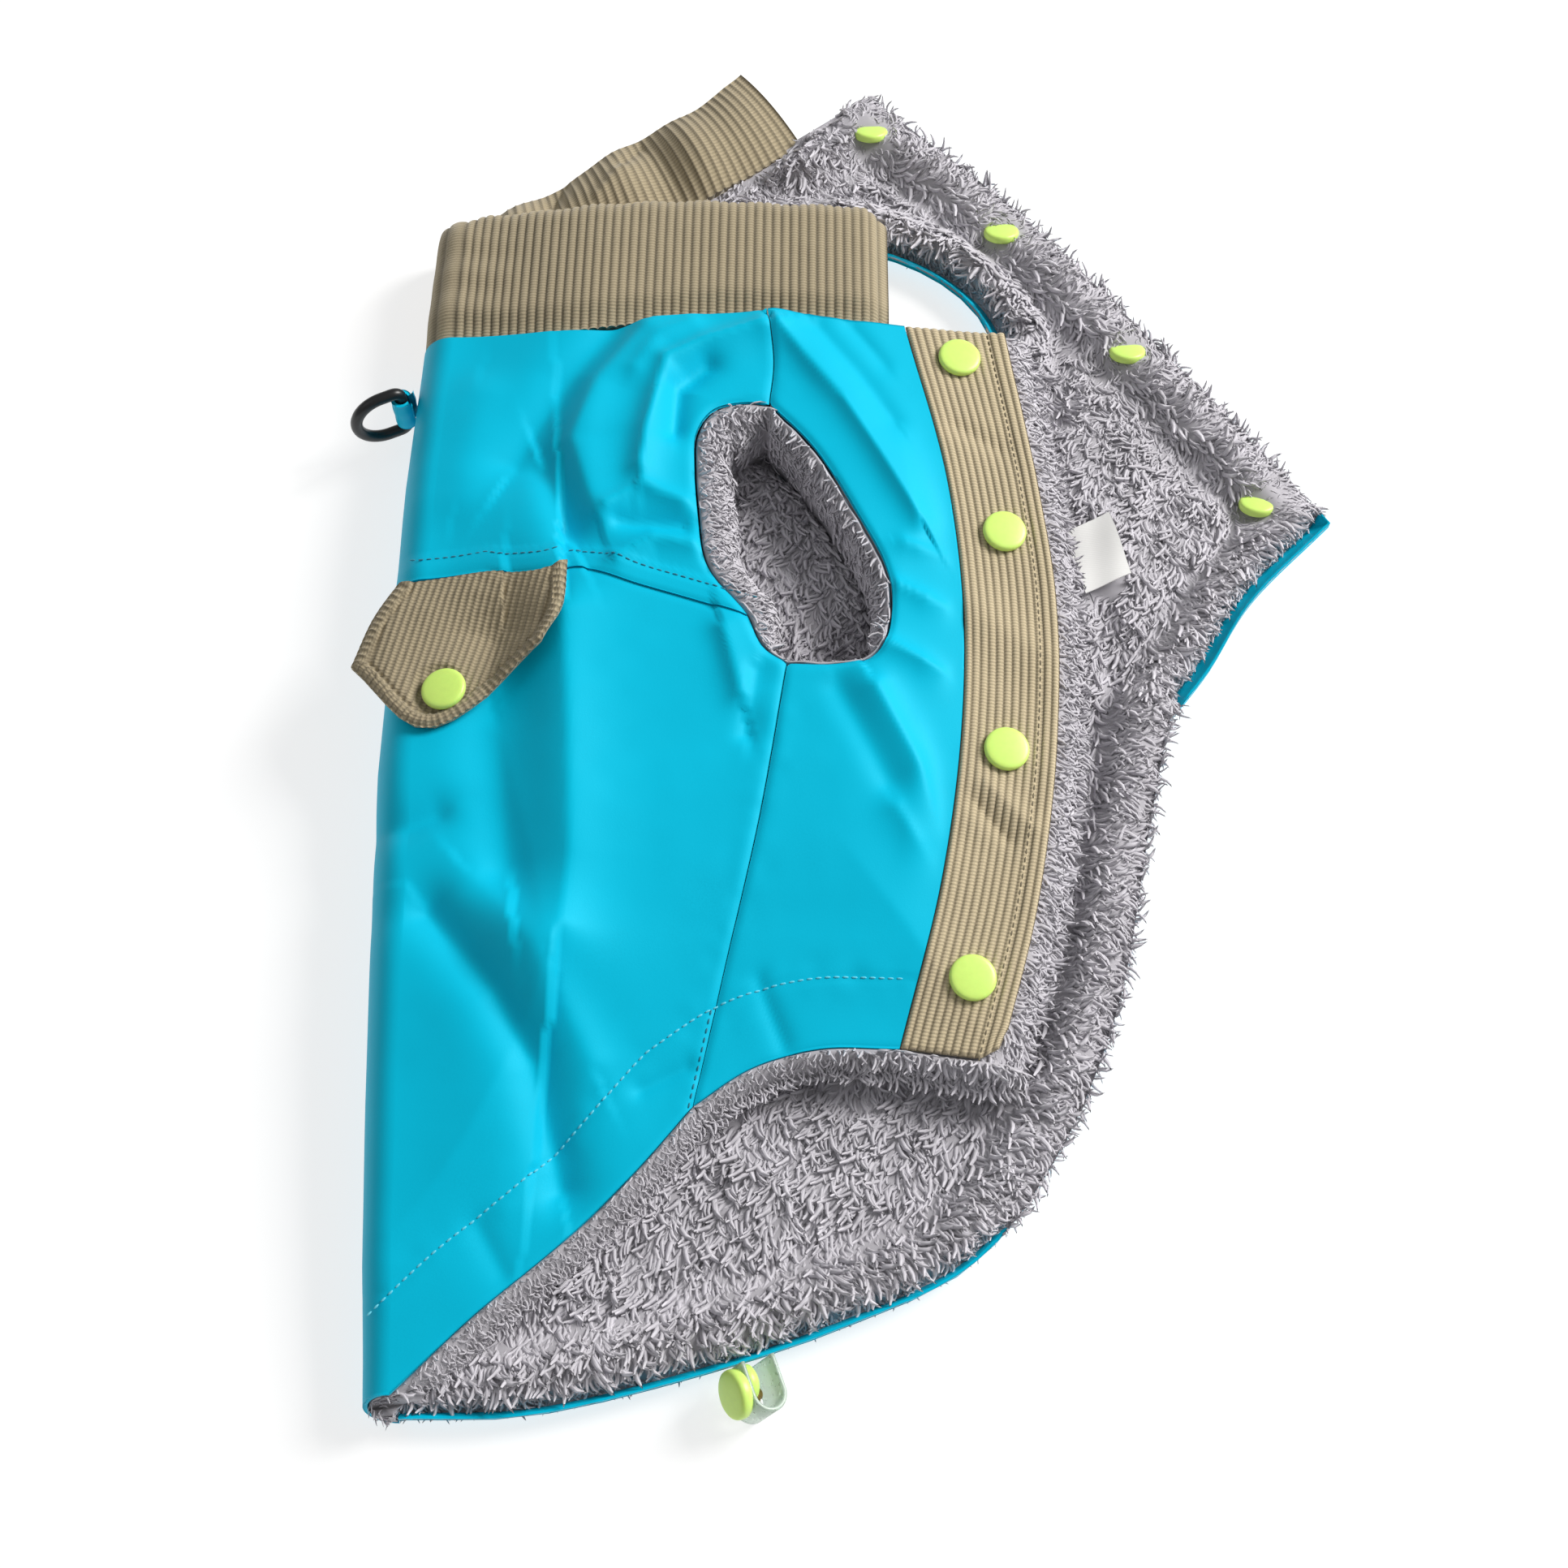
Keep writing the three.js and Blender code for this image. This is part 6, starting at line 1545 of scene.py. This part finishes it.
class COAT_OT_fur_bottom(bpy.types.Operator):
    """Fur lining of the lower half, which lies open to the right and at the tail"""
    bl_idname = "coat.fur_bottom"
    bl_label = "Lower Fur"

    def execute(self, context):
        tree_of("fur")
        length = sizes().fur_length / MM
        spacing = {"yoke": 1.2, "back": 1.0, "chest": 0.88}
        for seed, (name, grid) in enumerate(lower_panels(3.2).items()):
            x, y = grid[..., 0], grid[..., 1]
            edge = from_free_edge(x, y)
            back, band = set_back(x, y), bare_band(x, y)
            ridge = 1.4 * np.exp(-(((edge - 13) / 7) ** 2)) - 1.6 * np.exp(-(((edge - 27) / 7) ** 2))
            full = fur_height(x, y) - 1.6 + ridge
            foot = rim_lift(x, y) + SHELL_WALL + SEAM_GAP
            full = full - (full - foot - 0.8) * back * (1 - smooth((0.3 - band) / 4.5))
            lumps = 0.8 * soft_noise(x, y, 9, 31) + 0.4 * soft_noise(x, y, 5, 32)
            pressed = near_polygon(UPPER_FOOTPRINT, x, y) > -3
            z = np.where(pressed, np.minimum(full, FUR_PRESSED - 0.9), full + lumps * smooth(edge / 5))
            z = z + 7 * smooth(near_polygon(ARMHOLE_RING[:-1], x, y) / 12)
            under_collar = near_polygon(REAR_COLLAR, x, y) > -4
            z = np.where(under_collar, np.minimum(z, 6), z)
            for snap in FUR_SNAPS:
                away = np.hypot(x - snap[0], y - snap[1])
                z = z - 1.6 * np.exp(-((away / 6.0) ** 4))
            outer = np.concatenate([grid, np.maximum(z, foot + 0.8)[..., None]], axis=-1)
            inner = np.concatenate([grid, foot[..., None]], axis=-1)
            flow = flow_field(x, y)
            flow[..., 2] = -0.3 * smooth(1 - edge / 5)
            field = smooth((y - 110) / 40) * smooth((edge - 18) / 8)
            reach = 0.98 - 0.16 * field - 0.30 * smooth(1 - edge / 12)
            for snap in FUR_SNAPS:
                reach = np.minimum(reach, (np.hypot(x - snap[0], y - snap[1]) - 2.8) / length)
            reach = reach + (np.minimum(reach, (3.4 - band) / length) - reach) * back
            pile = lower_pile(x, y) * (band < 0.5) * (near_polygon(REAR_COLLAR, x, y) < 0.5)
            curl = 0.45 + 0.55 * smooth((y - 110) / 40)
            base = cloth_piece(f"fur_{name}_base", outer, coarser(inner, 3, 3), {
                "pile": pile, "flow": flow, "reach": np.maximum(reach, 0.26), "curl": curl})
            piece = fur_piece(f"fur_{name}_bottom", [f"{name}_lining_bottom"], base,
                              sizes().lock_spacing / MM * spacing[name], length, lift=0.34, seed=seed)
        return {"FINISHED"}


def hem_direction(x):
    turn = smooth((30 - x) / 80)
    dx = 0.1 + 0.62 * turn
    return np.stack([dx, -np.sqrt(1 - dx * dx)], axis=-1)


def fringe_rows(edge, steps, direction, weight=1.0):
    """Rows of points beyond an edge, each step further out and lower."""
    made = []
    for out, drop in steps:
        row = edge.copy()
        row[:, :2] += out * direction * np.reshape(weight, (-1, 1))
        row[:, 2] = np.maximum(row[:, 2] - drop * np.asarray(weight), UPPER_UNDERSIDE + FRINGE_WALL)
        made.append(row)
    return np.array(made)


def level_underside(outer, roll_columns):
    """The filled side under a rolled piece: up beside the lower half, then level over it."""
    inner = outer.copy()
    inner[..., 2] = UPPER_UNDERSIDE
    if roll_columns:
        foot = outer[:, roll_columns, 0] - 0.1
        corner = roll_columns / 2
        for k in range(roll_columns + 1):
            inner[:, k, 0] = foot + 8 * max(0, (k - corner) / (roll_columns - corner))
            inner[:, k, 2] = outer[:, 0, 2] + (UPPER_UNDERSIDE - outer[:, 0, 2]) * min(1, k / corner)
    return inner


class COAT_OT_fur_top(bpy.types.Operator):
    """Fur lining of the upper half, seen as a fringe at its hem, placket and armhole"""
    bl_idname = "coat.fur_top"
    bl_label = "Upper Fur"

    def execute(self, context):
        tree_of("fur")
        flat = upper_panels(3.6)
        depth = sizes().shell_wall / MM + 0.6
        roll_columns = 10
        fringe = [(0.4, -1.3), (1.5, -1.8), (2.9, -0.6), (4.5, 2.2), (FUR_FRINGE, 6.0)]
        for seed, name in enumerate(("yoke", "back", "chest")):
            grid = lifted(flat[name], upper_height)
            from_rim = np.minimum(nearest_on(HEM_LINE, grid[..., 0], grid[..., 1])[0],
                                  nearest_on(ARMHOLE_RING, grid[..., 0], grid[..., 1])[0])
            grid[..., 2] -= LINING_DROP * smooth(from_rim / 8)
            if name == "chest":
                outer = self.with_front_fringe(lowered(grid, depth))
            else:
                outer = rolled(grid, depth, roll_columns)[:, 1:]
            grown = np.zeros(outer.shape[:2])
            if name == "chest":
                grown[:, -5:] = 1
            if name != "yoke":
                weight = np.ones(outer.shape[1])
                if name == "back":
                    weight = clamp01((np.arange(outer.shape[1]) - roll_columns) / 3)
                rows = fringe_rows(outer[-1], fringe, hem_direction(outer[-1, :, 0]), weight)
                outer = np.concatenate([outer, rows], axis=0)
                grown = np.vstack([grown, np.ones((len(fringe), len(weight)))])
                grown[-len(fringe) - 1] = 1
                grown[-1, :roll_columns + 2] = 2
            columns = 0 if name == "chest" else roll_columns - 1
            inner = level_underside(outer, columns)
            x, y = outer[..., 0], outer[..., 1]
            along_front = np.stack([np.ones(x.shape), -0.3 + 0 * x, -0.35 + 0 * x], axis=-1)
            along_hem = np.concatenate([hem_direction(x), np.full(x.shape + (1,), -0.35)], axis=-1)
            to_front = smooth((y + 92) / 12)[..., None] * (x > 20)[..., None]
            reach = 0.55 + 0.4 * smooth((x - 5) / 25)
            reach[-1, :roll_columns + 2] = 0.8
            base = cloth_piece(f"fur_{name}_top_base", outer, coarser(inner, 2, 3), {
                "pile": grown, "flow": along_front * to_front + along_hem * (1 - to_front),
                "reach": reach, "curl": np.full(x.shape, 0.3)})
            piece = fur_piece(f"fur_{name}_top", [f"{name}_lining_top"], base, 1.15,
                              sizes().fur_length / MM * 0.8, lift=0.4, seed=10 + seed)
        return {"FINISHED"}

    def with_front_fringe(self, grid):
        """Carries the chest lining on under the placket and out beyond it."""
        edge = grid[:, -1].copy()
        right_line = dense_curve(PLACKET_RIGHT, 200)
        left_line = dense_curve(PLACKET_LEFT, 200)
        t = np.interp(-edge[:, 1], -left_line[:, 1], np.linspace(0, 1, 201))
        right = at_fractions(right_line, t)
        made = [grid]
        for part in (0.35, 0.7, 1.0):
            xy = edge[:, :2] + (right - edge[:, :2]) * part - np.array([0.5, 0]) * (part == 1.0)
            z = upper_height(xy[:, 0], xy[:, 1]) - PLACKET_RELIEF
            made.append(np.concatenate([xy, z[:, None]], axis=1)[:, None])
        last = made[-1][:, 0]
        for out, drop in ((2, 1.0), (4, 2.8), (6.2, 5.6), (FRONT_FRINGE, 9.5)):
            row = last + np.array([out, 0, 0])
            row[:, 2] = np.maximum(last[:, 2] - drop, UPPER_UNDERSIDE + FRINGE_WALL)
            made.append(row[:, None])
        return np.concatenate(made, axis=1)


class COAT_OT_fur_armhole(bpy.types.Operator):
    """Fur that rolls out of the armhole, all round its edge"""
    bl_idname = "coat.fur_armhole"
    bl_label = "Armhole Fur"

    def execute(self, context):
        tree_of("fur")
        ring = at_fractions(ARMHOLE_RING, np.linspace(0, 1, 150, endpoint=False))
        _, _, heart_x, heart_y = nearest_on(ARMHOLE_SPINE, ring[:, 0], ring[:, 1])
        toward = np.stack([heart_x, heart_y], axis=1) - ring
        toward /= np.linalg.norm(toward, axis=1, keepdims=True)
        height = upper_height(ring[:, 0], ring[:, 1])
        rim = 5.4 + 7.0 * smooth((-4 - ring[:, 0]) / 14) + 0.6 * soft_noise(ring[:, 0], ring[:, 1], 9, 42)
        rim = rim - 3.6 * smooth((46 - ring[:, 1]) / 9)
        # Each row's place, in mm for the first two and then as a share of the rim, and its drop
        profile = [
            (0.45, 2.2), (1.2, 1.2), (0.3, 1.2), (0.55, 3.2),
            (0.8, 6.4), (0.95, 10.5), (1.0, 15), (1.0, 21),
        ]
        rows = []
        for number, (share, drop) in enumerate(profile):
            out = share if number < 2 else share * rim
            lump = 0.6 * soft_noise(ring[:, 0] + drop, ring[:, 1], 6, 41)
            flat = ring + toward * np.reshape(out, (-1, 1))
            rows.append(np.concatenate([flat, np.maximum(height - drop + lump, 11.6)[:, None]], axis=1))
        for out in (rim, 0.45):
            flat = ring + toward * np.reshape(out, (-1, 1))
            rows.append(np.concatenate([flat, np.full((len(ring), 1), UPPER_UNDERSIDE)], axis=1))
        points = np.array(rows)
        count, around = points.shape[:2]
        ids = wrapped(np.arange(count * around).reshape(count, around), rows=True)
        pile = np.repeat([0.0, 0.9, 1.0, 1.0, 1.0, 0.8, 0.5, 0.3, 0.0, 0.0], around)
        flow = np.concatenate([toward + (0.25, -0.45), np.full((around, 1), -0.4)], axis=1)
        flow = np.tile(flow, (count, 1))
        base = mesh_piece("fur_armhole_base", points.reshape(-1, 3), grid_faces(ids).tolist(), {
            "pile": pile, "flow": flow, "reach": np.full(count * around, 0.8),
            "curl": np.full(count * around, 0.2)})
        piece = fur_piece("fur_armhole_rim", ["armhole_fur_rim"], base, 0.92,
                          sizes().fur_length / MM * 0.84, lift=0.3, seed=20)
        return {"FINISHED"}


# Hard fittings

def seat_of(node):
    """The middle of a CAD stud's lowest face and its axis, in layout millimetres."""
    points = np.array([v.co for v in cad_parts[node].data.vertices]) / MM - LAYOUT_SHIFT
    points = np.unique(points.round(4), axis=0)
    middle = points.mean(axis=0)
    axis = np.linalg.svd(points - middle)[2][2]
    axis = axis * np.sign(axis[2] if abs(axis[2]) > 0.3 else -axis[1])
    low = ((points - middle) @ axis).min()
    return middle + axis * low, axis


def placement(centre, axis):
    turn = Vector((0, 0, 1)).rotation_difference(Vector(axis)).to_matrix().to_4x4()
    return Matrix.Translation(Vector(centre)) @ turn


def cap_profile(radius, height):
    """Section of a pressed snap cap: flat foot, rolled rim and a low dome."""
    return [
        (0, 0), (radius * 0.93, 0), (radius * 0.98, height * 0.10), (radius, height * 0.30),
        (radius, height * 0.52), (radius * 0.985, height * 0.66), (radius * 0.95, height * 0.78),
        (radius * 0.89, height * 0.86), (radius * 0.78, height * 0.91), (radius * 0.55, height * 0.96),
        (radius * 0.28, height * 0.99), (0, height),
    ]


class COAT_OT_snaps(bpy.types.Operator):
    """Lime snap caps on placket and flap, and the studs sunk in the fur"""
    bl_idname = "coat.snaps"
    bl_label = "Snaps"

    def execute(self, context):
        caps = [f"placket_snap_{i}" for i in range(1, 5)] + ["flap_snap"]
        for node in caps:
            centre, axis = seat_of(node)
            lower = centre - axis * (0.35 if node != "flap_snap" else -0.1)
            profile = cap_profile(SNAP_RADIUS, SNAP_CAP_HEIGHT)
            cap = turned_piece(f"{node}_cap", profile, 56, placement(lower, axis))
            dress(cap, material_of("lime"), [node])
        lean = np.array(Matrix.Rotation(math.radians(-STUD_LEAN), 3, "X"))
        for i in range(1, 5):
            centre, axis = seat_of(f"lining_snap_{i}")
            axis = axis @ lean.T
            profile = cap_profile(FUR_SNAP_RADIUS, FUR_SNAP_HEIGHT)
            stud = turned_piece(f"lining_snap_{i}_stud", profile, 48, placement(centre - axis * 0.6, axis))
            dress(stud, material_of("lime"), [f"lining_snap_{i}"])
        return {"FINISHED"}


def ring_bar():
    return np.array([section_at(float(RING_Y), "fold_x") - SEAM_GAP - 4.1, RING_Y, RING_BAR_HEIGHT])


class COAT_OT_leash_ring(bpy.types.Operator):
    """Black leash ring and the webbing tab that holds its bar"""
    bl_idname = "coat.leash_ring"
    bl_label = "Leash Ring"

    def execute(self, context):
        corner = 3
        arcs = [
            (corner, RING_HALF_HEIGHT - corner, corner, 180, 90, 8),
            (RING_ARM, 0, RING_HALF_HEIGHT, 90, -90, 40),
            (corner, corner - RING_HALF_HEIGHT, corner, 270, 180, 8),
        ]
        path = []
        for cx, cz, radius, start, end, count in arcs:
            turn = np.radians(np.linspace(start, end, count + 1))
            path.append(np.stack([cx + radius * np.cos(turn), 0 * turn, cz + radius * np.sin(turn)], axis=1))
        path.append(np.stack([np.zeros(6), np.zeros(6), np.linspace(-7.5, 7.5, 6)], axis=1)[1:-1])
        rings = swept_points(np.vstack(path), 16, RING_WIRE_RADIUS, np.array([0.0, 1.0, 0.0]))
        turn = math.radians(RING_TURN)
        spin = np.array(Matrix.Rotation(turn, 3, "Z"))
        points = rings.reshape(-1, 3) @ spin.T + ring_bar()
        ids = wrapped(np.arange(len(points)).reshape(rings.shape[:2]), rows=True)
        ring = mesh_piece("leash_ring", points, grid_faces(ids).tolist())
        dress(ring, material_of("ring"), ["ring"], body="ring")
        self.webbing()
        return {"FINISHED"}

    def webbing(self):
        """A folded tape: two leaves from the fold that meet in an eye round the bar."""
        bore = RING_WIRE_RADIUS + 0.45
        wall = 1.2
        middle = ring_bar()
        tail = section_at(float(RING_Y), "fold_x") - SEAM_GAP - middle[0]
        neck = 1.6
        start = math.asin(neck / (bore + wall))
        turn = np.linspace(start, 2 * math.pi - start, 40)

        def eye(radius, spread):
            """Outline of one face of the tape: out to the ring's bar, round it and back."""
            arc = [(radius * math.cos(t), radius * math.sin(t)) for t in turn]
            return [(tail, neck + spread), *arc, (tail, -neck - spread)]

        outside, within = eye(bore + wall, 2), eye(bore, 0.8)
        heights = np.linspace(-TAB_HALF_WIDTH, TAB_HALF_WIDTH, 15)

        def leaf(outline):
            grid = np.zeros((len(heights), len(outline), 3))
            for j, height in enumerate(heights):
                swell = 1 + 0.02 * math.sin(height * 0.9)
                grid[j, :, 0] = [middle[0] + px * swell for px, _ in outline]
                grid[j, :, 1] = [middle[1] + py * swell for _, py in outline]
                grid[j, :, 2] = middle[2] + height
            return grid

        tab = cloth_piece("ring_webbing", leaf(outside), leaf(within))
        dress(tab, material_of("softshell"), ["ring_tab"])
        leaf(outside)


class COAT_OT_label(bpy.types.Operator):
    """Blank white care label at the side seam"""
    bl_idname = "coat.label"
    bl_label = "Label"

    def execute(self, context):
        corner = {key: np.array(value, float) for key, value in LABEL_CORNERS.items()}
        cols, rows = with_edge(20, 0.01), with_edge(26, 0.01)
        flat = coons_patch(
            curve_points([corner["left"], corner["top"]], cols),
            curve_points([corner["bottom"], corner["right"]], cols),
            curve_points([corner["left"], corner["bottom"]], rows),
            curve_points([corner["top"], corner["right"]], rows),
        )
        across, down = np.meshgrid(cols, rows)
        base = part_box("label")[0][2] / MM + 0.9
        lift = 3.0 * across + 0.9 * np.sin(down * 5.0) * across + 0.25 * np.sin(across * 7 + down * 3)
        inner = np.concatenate([flat, (base + lift)[..., None]], axis=-1)
        wall = 0.45
        label = cloth_piece("care_label", inner + np.array([0, 0, wall]), inner)
        dress(label, material_of("label"), ["label"])
        return {"FINISHED"}


class COAT_OT_leg_strap(bpy.types.Operator):
    """End loop of the clear elastic leg strap, with its snap and brass pin"""
    bl_idname = "coat.leg_strap"
    bl_label = "Leg Strap"

    def execute(self, context):
        bend = STRAP_HALF_LOOP + STRAP_WALL / 2
        turn = np.linspace(math.pi / 2, -math.pi / 2, 28)
        run = np.linspace(0.6, STRAP_LENGTH - bend - 0.8, 10)
        path = [(x, bend) for x in run]
        path += [(STRAP_LENGTH - bend - 0.7 + bend * math.cos(t), bend * math.sin(t)) for t in turn]
        path += [(x, -bend) for x in run[::-1]]
        path = np.array(path)
        ahead = np.gradient(path, axis=0)
        ahead /= np.linalg.norm(ahead, axis=1, keepdims=True)
        side = np.stack([-ahead[:, 1], ahead[:, 0]], axis=1)
        corner = 0.5
        section = []
        for cx, cz, start in ((1, 1, 0), (-1, 1, 90), (-1, -1, 180), (1, -1, 270)):
            for degrees in (0, 45, 90):
                t = math.radians(start + degrees)
                section.append((
                    cx * (STRAP_WALL / 2 - corner) + corner * math.cos(t),
                    cz * (STRAP_HEIGHT / 2 - corner) + corner * math.sin(t),
                ))
        grid = np.zeros((len(path), len(section), 3))
        for k, (offset, height) in enumerate(section):
            grid[:, k, :2] = path + side * offset
            grid[:, k, 2] = 0.5 + STRAP_HEIGHT / 2 + height
        spin = math.radians(STRAP_TURN)
        upright = Matrix.Translation(Vector((*STRAP_ROOT, 0))) @ Matrix.Rotation(spin, 4, "Z")
        middle_height = 0.5 + STRAP_HEIGHT / 2
        axis_point = Vector((0, 0, middle_height))
        lean = (Matrix.Translation(Vector((0, 0, STRAP_LIFT)) + axis_point)
                @ Matrix.Rotation(math.radians(-STRAP_LEAN), 4, "X") @ Matrix.Translation(-axis_point))
        place = upright @ lean
        moved = place @ upright.inverted()
        points = np.array([tuple(place @ Vector(p)) for p in grid.reshape(-1, 3)])
        ids = wrapped(np.arange(len(points)).reshape(grid.shape[:2]))
        faces = grid_faces(ids).tolist()
        faces += [ids[0, :-1].tolist(), ids[-1, :-1][::-1].tolist()]
        loop = mesh_piece("strap_loop", points, faces)
        dress(loop, material_of("strap"), ["strap"])
        across = place.to_3x3() @ Vector((0, 1, 0))
        cap = cap_profile(SNAP_RADIUS, STRAP_CAP_HEIGHT)
        socket = [(0, 0), (5.1, 0), (5.45, 0.35), (5.5, 1.6), (5.3, 3.0), (4.7, 3.5), (3.6, 3.6), (0, 3.6)]
        post = [
            (0, 0), (3.1, 0), (3.4, 0.4), (3.2, 0.95), (1.9, 1.15),
            (1.7, 1.5), (1.7, 2.7), (1.2, 3.1), (0, 3.2),
        ]
        rows = (
            ("strap_cap", "strap_cap_disc", cap, 56, "lime", "lime_plastic", -across),
            ("strap_stud", "strap_stud_socket", socket, 44, "lime", "lime_plastic", across),
            ("strap_pin", "strap_pin_post", post, 36, "brass", "brass", across),
        )
        for node, name, profile, sides, material, slot, axis in rows:
            low, high = (Vector(corner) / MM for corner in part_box(node))
            middle = moved @ ((low + high) / 2 - Vector(LAYOUT_SHIFT))
            foot = middle - axis * profile[-1][1] / 2
            fitting = turned_piece(name, profile, sides, placement(foot, axis))
            dress(fitting, material_of(material), [node])
        return {"FINISHED"}


# Sewing

def stitch_row(name, line, height, radius, spacing, length, material):
    """One row of stitches along a flat line, laid on the cloth by the stitch tree."""
    count = max(2, int(np.linalg.norm(np.diff(line, axis=0), axis=1).sum() / 1.0))
    flat = at_fractions(line, np.linspace(0, 1, count))
    z = height(flat[:, 0], flat[:, 1])
    points = np.concatenate([flat, z[:, None]], axis=1)
    mesh = bpy.data.meshes.new(name)
    mesh.from_pydata(to_frame(points).tolist(), [(i, i + 1) for i in range(count - 1)], [])
    row = linked_object(name, mesh)
    grown_piece(row, tree_of("stitches"), {
        "Spacing": spacing * MM, "Stitch Length": length * MM, "Thread Radius": radius * MM,
        "Material": material_of(material)})
    return row


def offset_line(line, distance):
    """A line moved to its left by a distance."""
    line = np.asarray(line, float)
    ahead = np.gradient(line, axis=0)
    ahead /= np.linalg.norm(ahead, axis=1, keepdims=True)
    return line + distance * np.stack([-ahead[:, 1], ahead[:, 0]], axis=1)


class COAT_OT_stitching(bpy.types.Operator):
    """Topstitching of hem, yoke band, side seam and placket"""
    bl_idname = "coat.stitching"
    bl_label = "Stitching"

    def execute(self, context):
        step, thread = sizes().stitch_step / MM, sizes().thread_radius / MM
        hem = join(dense_curve([(-124, -209), *HEM_BACK[1:]], 60), dense_curve(HEM_CHEST, 30))
        hem = offset_line(hem, HEM_BAND)
        hem = hem[(hem[:, 0] > -123) & (hem[:, 0] < 41)]
        on_back = lambda x, y: shell_height("back")(x, y) + thread * 0.4
        yoke_line = offset_line(YOKE_SEAM_LINE, YOKE_BAND)
        on_yoke = lambda x, y: shell_height("yoke")(x, y) + thread * 0.4
        side = dense_curve(SIDE_SEAM, 60)
        side = offset_line(side[side[:, 1] < -82], -1.2)
        right = dense_curve(PLACKET_RIGHT, 120)
        left = dense_curve(PLACKET_LEFT, 120)
        on_placket = lambda x, y: placket_height(x, y) + 0.1
        inwards = (left - right) / np.linalg.norm(left - right, axis=1, keepdims=True)
        placket_row = right + inwards * PLACKET_STITCH_INSET
        rows = [
            ("hem_stitches", hem, on_back, thread, step, step * 0.72, "teal_thread", "softshell"),
            ("yoke_stitches", yoke_line, on_yoke, thread * 0.9, step, step * 0.7, "dark_thread", "softshell"),
            ("side_stitches", side, on_back, thread * 0.9, step, step * 0.7, "dark_thread", "softshell"),
            ("placket_stitches", placket_row, on_placket,
             thread, step, step * 0.74, "khaki_thread", "corduroy"),
        ]
        for name, line, height, radius, spacing, length, material, slot in rows:
            row = stitch_row(name, line, height, radius, spacing, length, material)
            dress(row, material_of(material))
        return {"FINISHED"}


OPERATORS = (
    COAT_OT_stage, COAT_OT_shell_top, COAT_OT_shell_bottom, COAT_OT_placket, COAT_OT_collar, COAT_OT_flap,
    COAT_OT_fur_bottom, COAT_OT_fur_top, COAT_OT_fur_armhole, COAT_OT_snaps, COAT_OT_leash_ring,
    COAT_OT_label, COAT_OT_leg_strap, COAT_OT_stitching,
)


class CoatSizes(bpy.types.PropertyGroup):
    """Sizes that a user may change"""
    cloth_step: FloatProperty(
        name="Cloth Step", description="Distance between the points of the softshell",
        default=1.5 * MM, min=0.5 * MM, unit="LENGTH")
    shell_wall: FloatProperty(
        name="Softshell Wall", description="Thickness of the softshell",
        default=1.4 * MM, min=0.3 * MM, unit="LENGTH")
    wale_relief: FloatProperty(
        name="Wale Relief", description="Height of a corduroy rib above its groove",
        default=0.7 * MM, min=0, unit="LENGTH")
    fur_length: FloatProperty(
        name="Fur Length", description="Length of a fur lock",
        default=8.6 * MM, min=1 * MM, unit="LENGTH")
    lock_spacing: FloatProperty(
        name="Lock Spacing", description="Least distance between fur locks",
        default=1.33 * MM, min=0.5 * MM, unit="LENGTH")
    fur_detail: FloatProperty(
        name="Fur Detail", description="Lower values set the fur locks further apart",
        default=1.0, min=0.05, max=1.5)
    swirl_size: FloatProperty(
        name="Swirl Size", description="Distance between swirls in the fur",
        default=20 * MM, min=4 * MM, unit="LENGTH")
    stitch_step: FloatProperty(
        name="Stitch Step", description="Distance from one stitch to the next",
        default=2.8 * MM, min=1 * MM, unit="LENGTH")
    thread_radius: FloatProperty(
        name="Thread Radius", description="Half the thickness of the sewing thread",
        default=0.33 * MM, min=0.1 * MM, unit="LENGTH")


def colour_property(name, code):
    return FloatVectorProperty(
        name=name, description=f"Colour of the {name.lower()}", subtype="COLOR",
        size=3, min=0, max=1, default=linear(code))


class CoatColours(bpy.types.PropertyGroup):
    """Colours that a user may change"""
    softshell: colour_property("Softshell", "#02bbdd")
    corduroy: colour_property("Corduroy", "#a89b80")
    fur: colour_property("Fur", "#e3e0e7")
    lime: colour_property("Snaps", "#d6fb7c")
    ring: colour_property("Leash Ring", "#17181a")
    label: colour_property("Label", "#f4f4f2")
    strap: colour_property("Leg Strap", "#deeee1")
    brass: colour_property("Brass Pin", "#b7925a")


class COAT_PT_panel(bpy.types.Panel):
    """Lists the coat's sizes, colours and steps"""
    bl_idname = "COAT_PT_panel"
    bl_label = "Folded Dog Coat"
    bl_space_type = "VIEW_3D"
    bl_region_type = "UI"
    bl_category = "Coat"

    def draw(self, context):
        for group in (context.scene.coat_sizes, context.scene.coat_colours):
            box = self.layout.box()
            for key in group.__annotations__:
                box.prop(group, key)
        for operator in OPERATORS:
            self.layout.operator(operator.bl_idname)


CLASSES = (CoatSizes, CoatColours, *OPERATORS, COAT_PT_panel)


def register():
    for item in CLASSES:
        bpy.utils.register_class(item)
    bpy.types.Scene.coat_sizes = PointerProperty(type=CoatSizes)
    bpy.types.Scene.coat_colours = PointerProperty(type=CoatColours)


def unregister():
    del bpy.types.Scene.coat_colours
    del bpy.types.Scene.coat_sizes
    for item in reversed(CLASSES):
        bpy.utils.unregister_class(item)


def main():
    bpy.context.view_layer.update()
    register()
    for operator in OPERATORS:
        area, name = operator.bl_idname.split(".")
        getattr(getattr(bpy.ops, area), name)()
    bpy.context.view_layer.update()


if __name__ == "__main__":
    main()
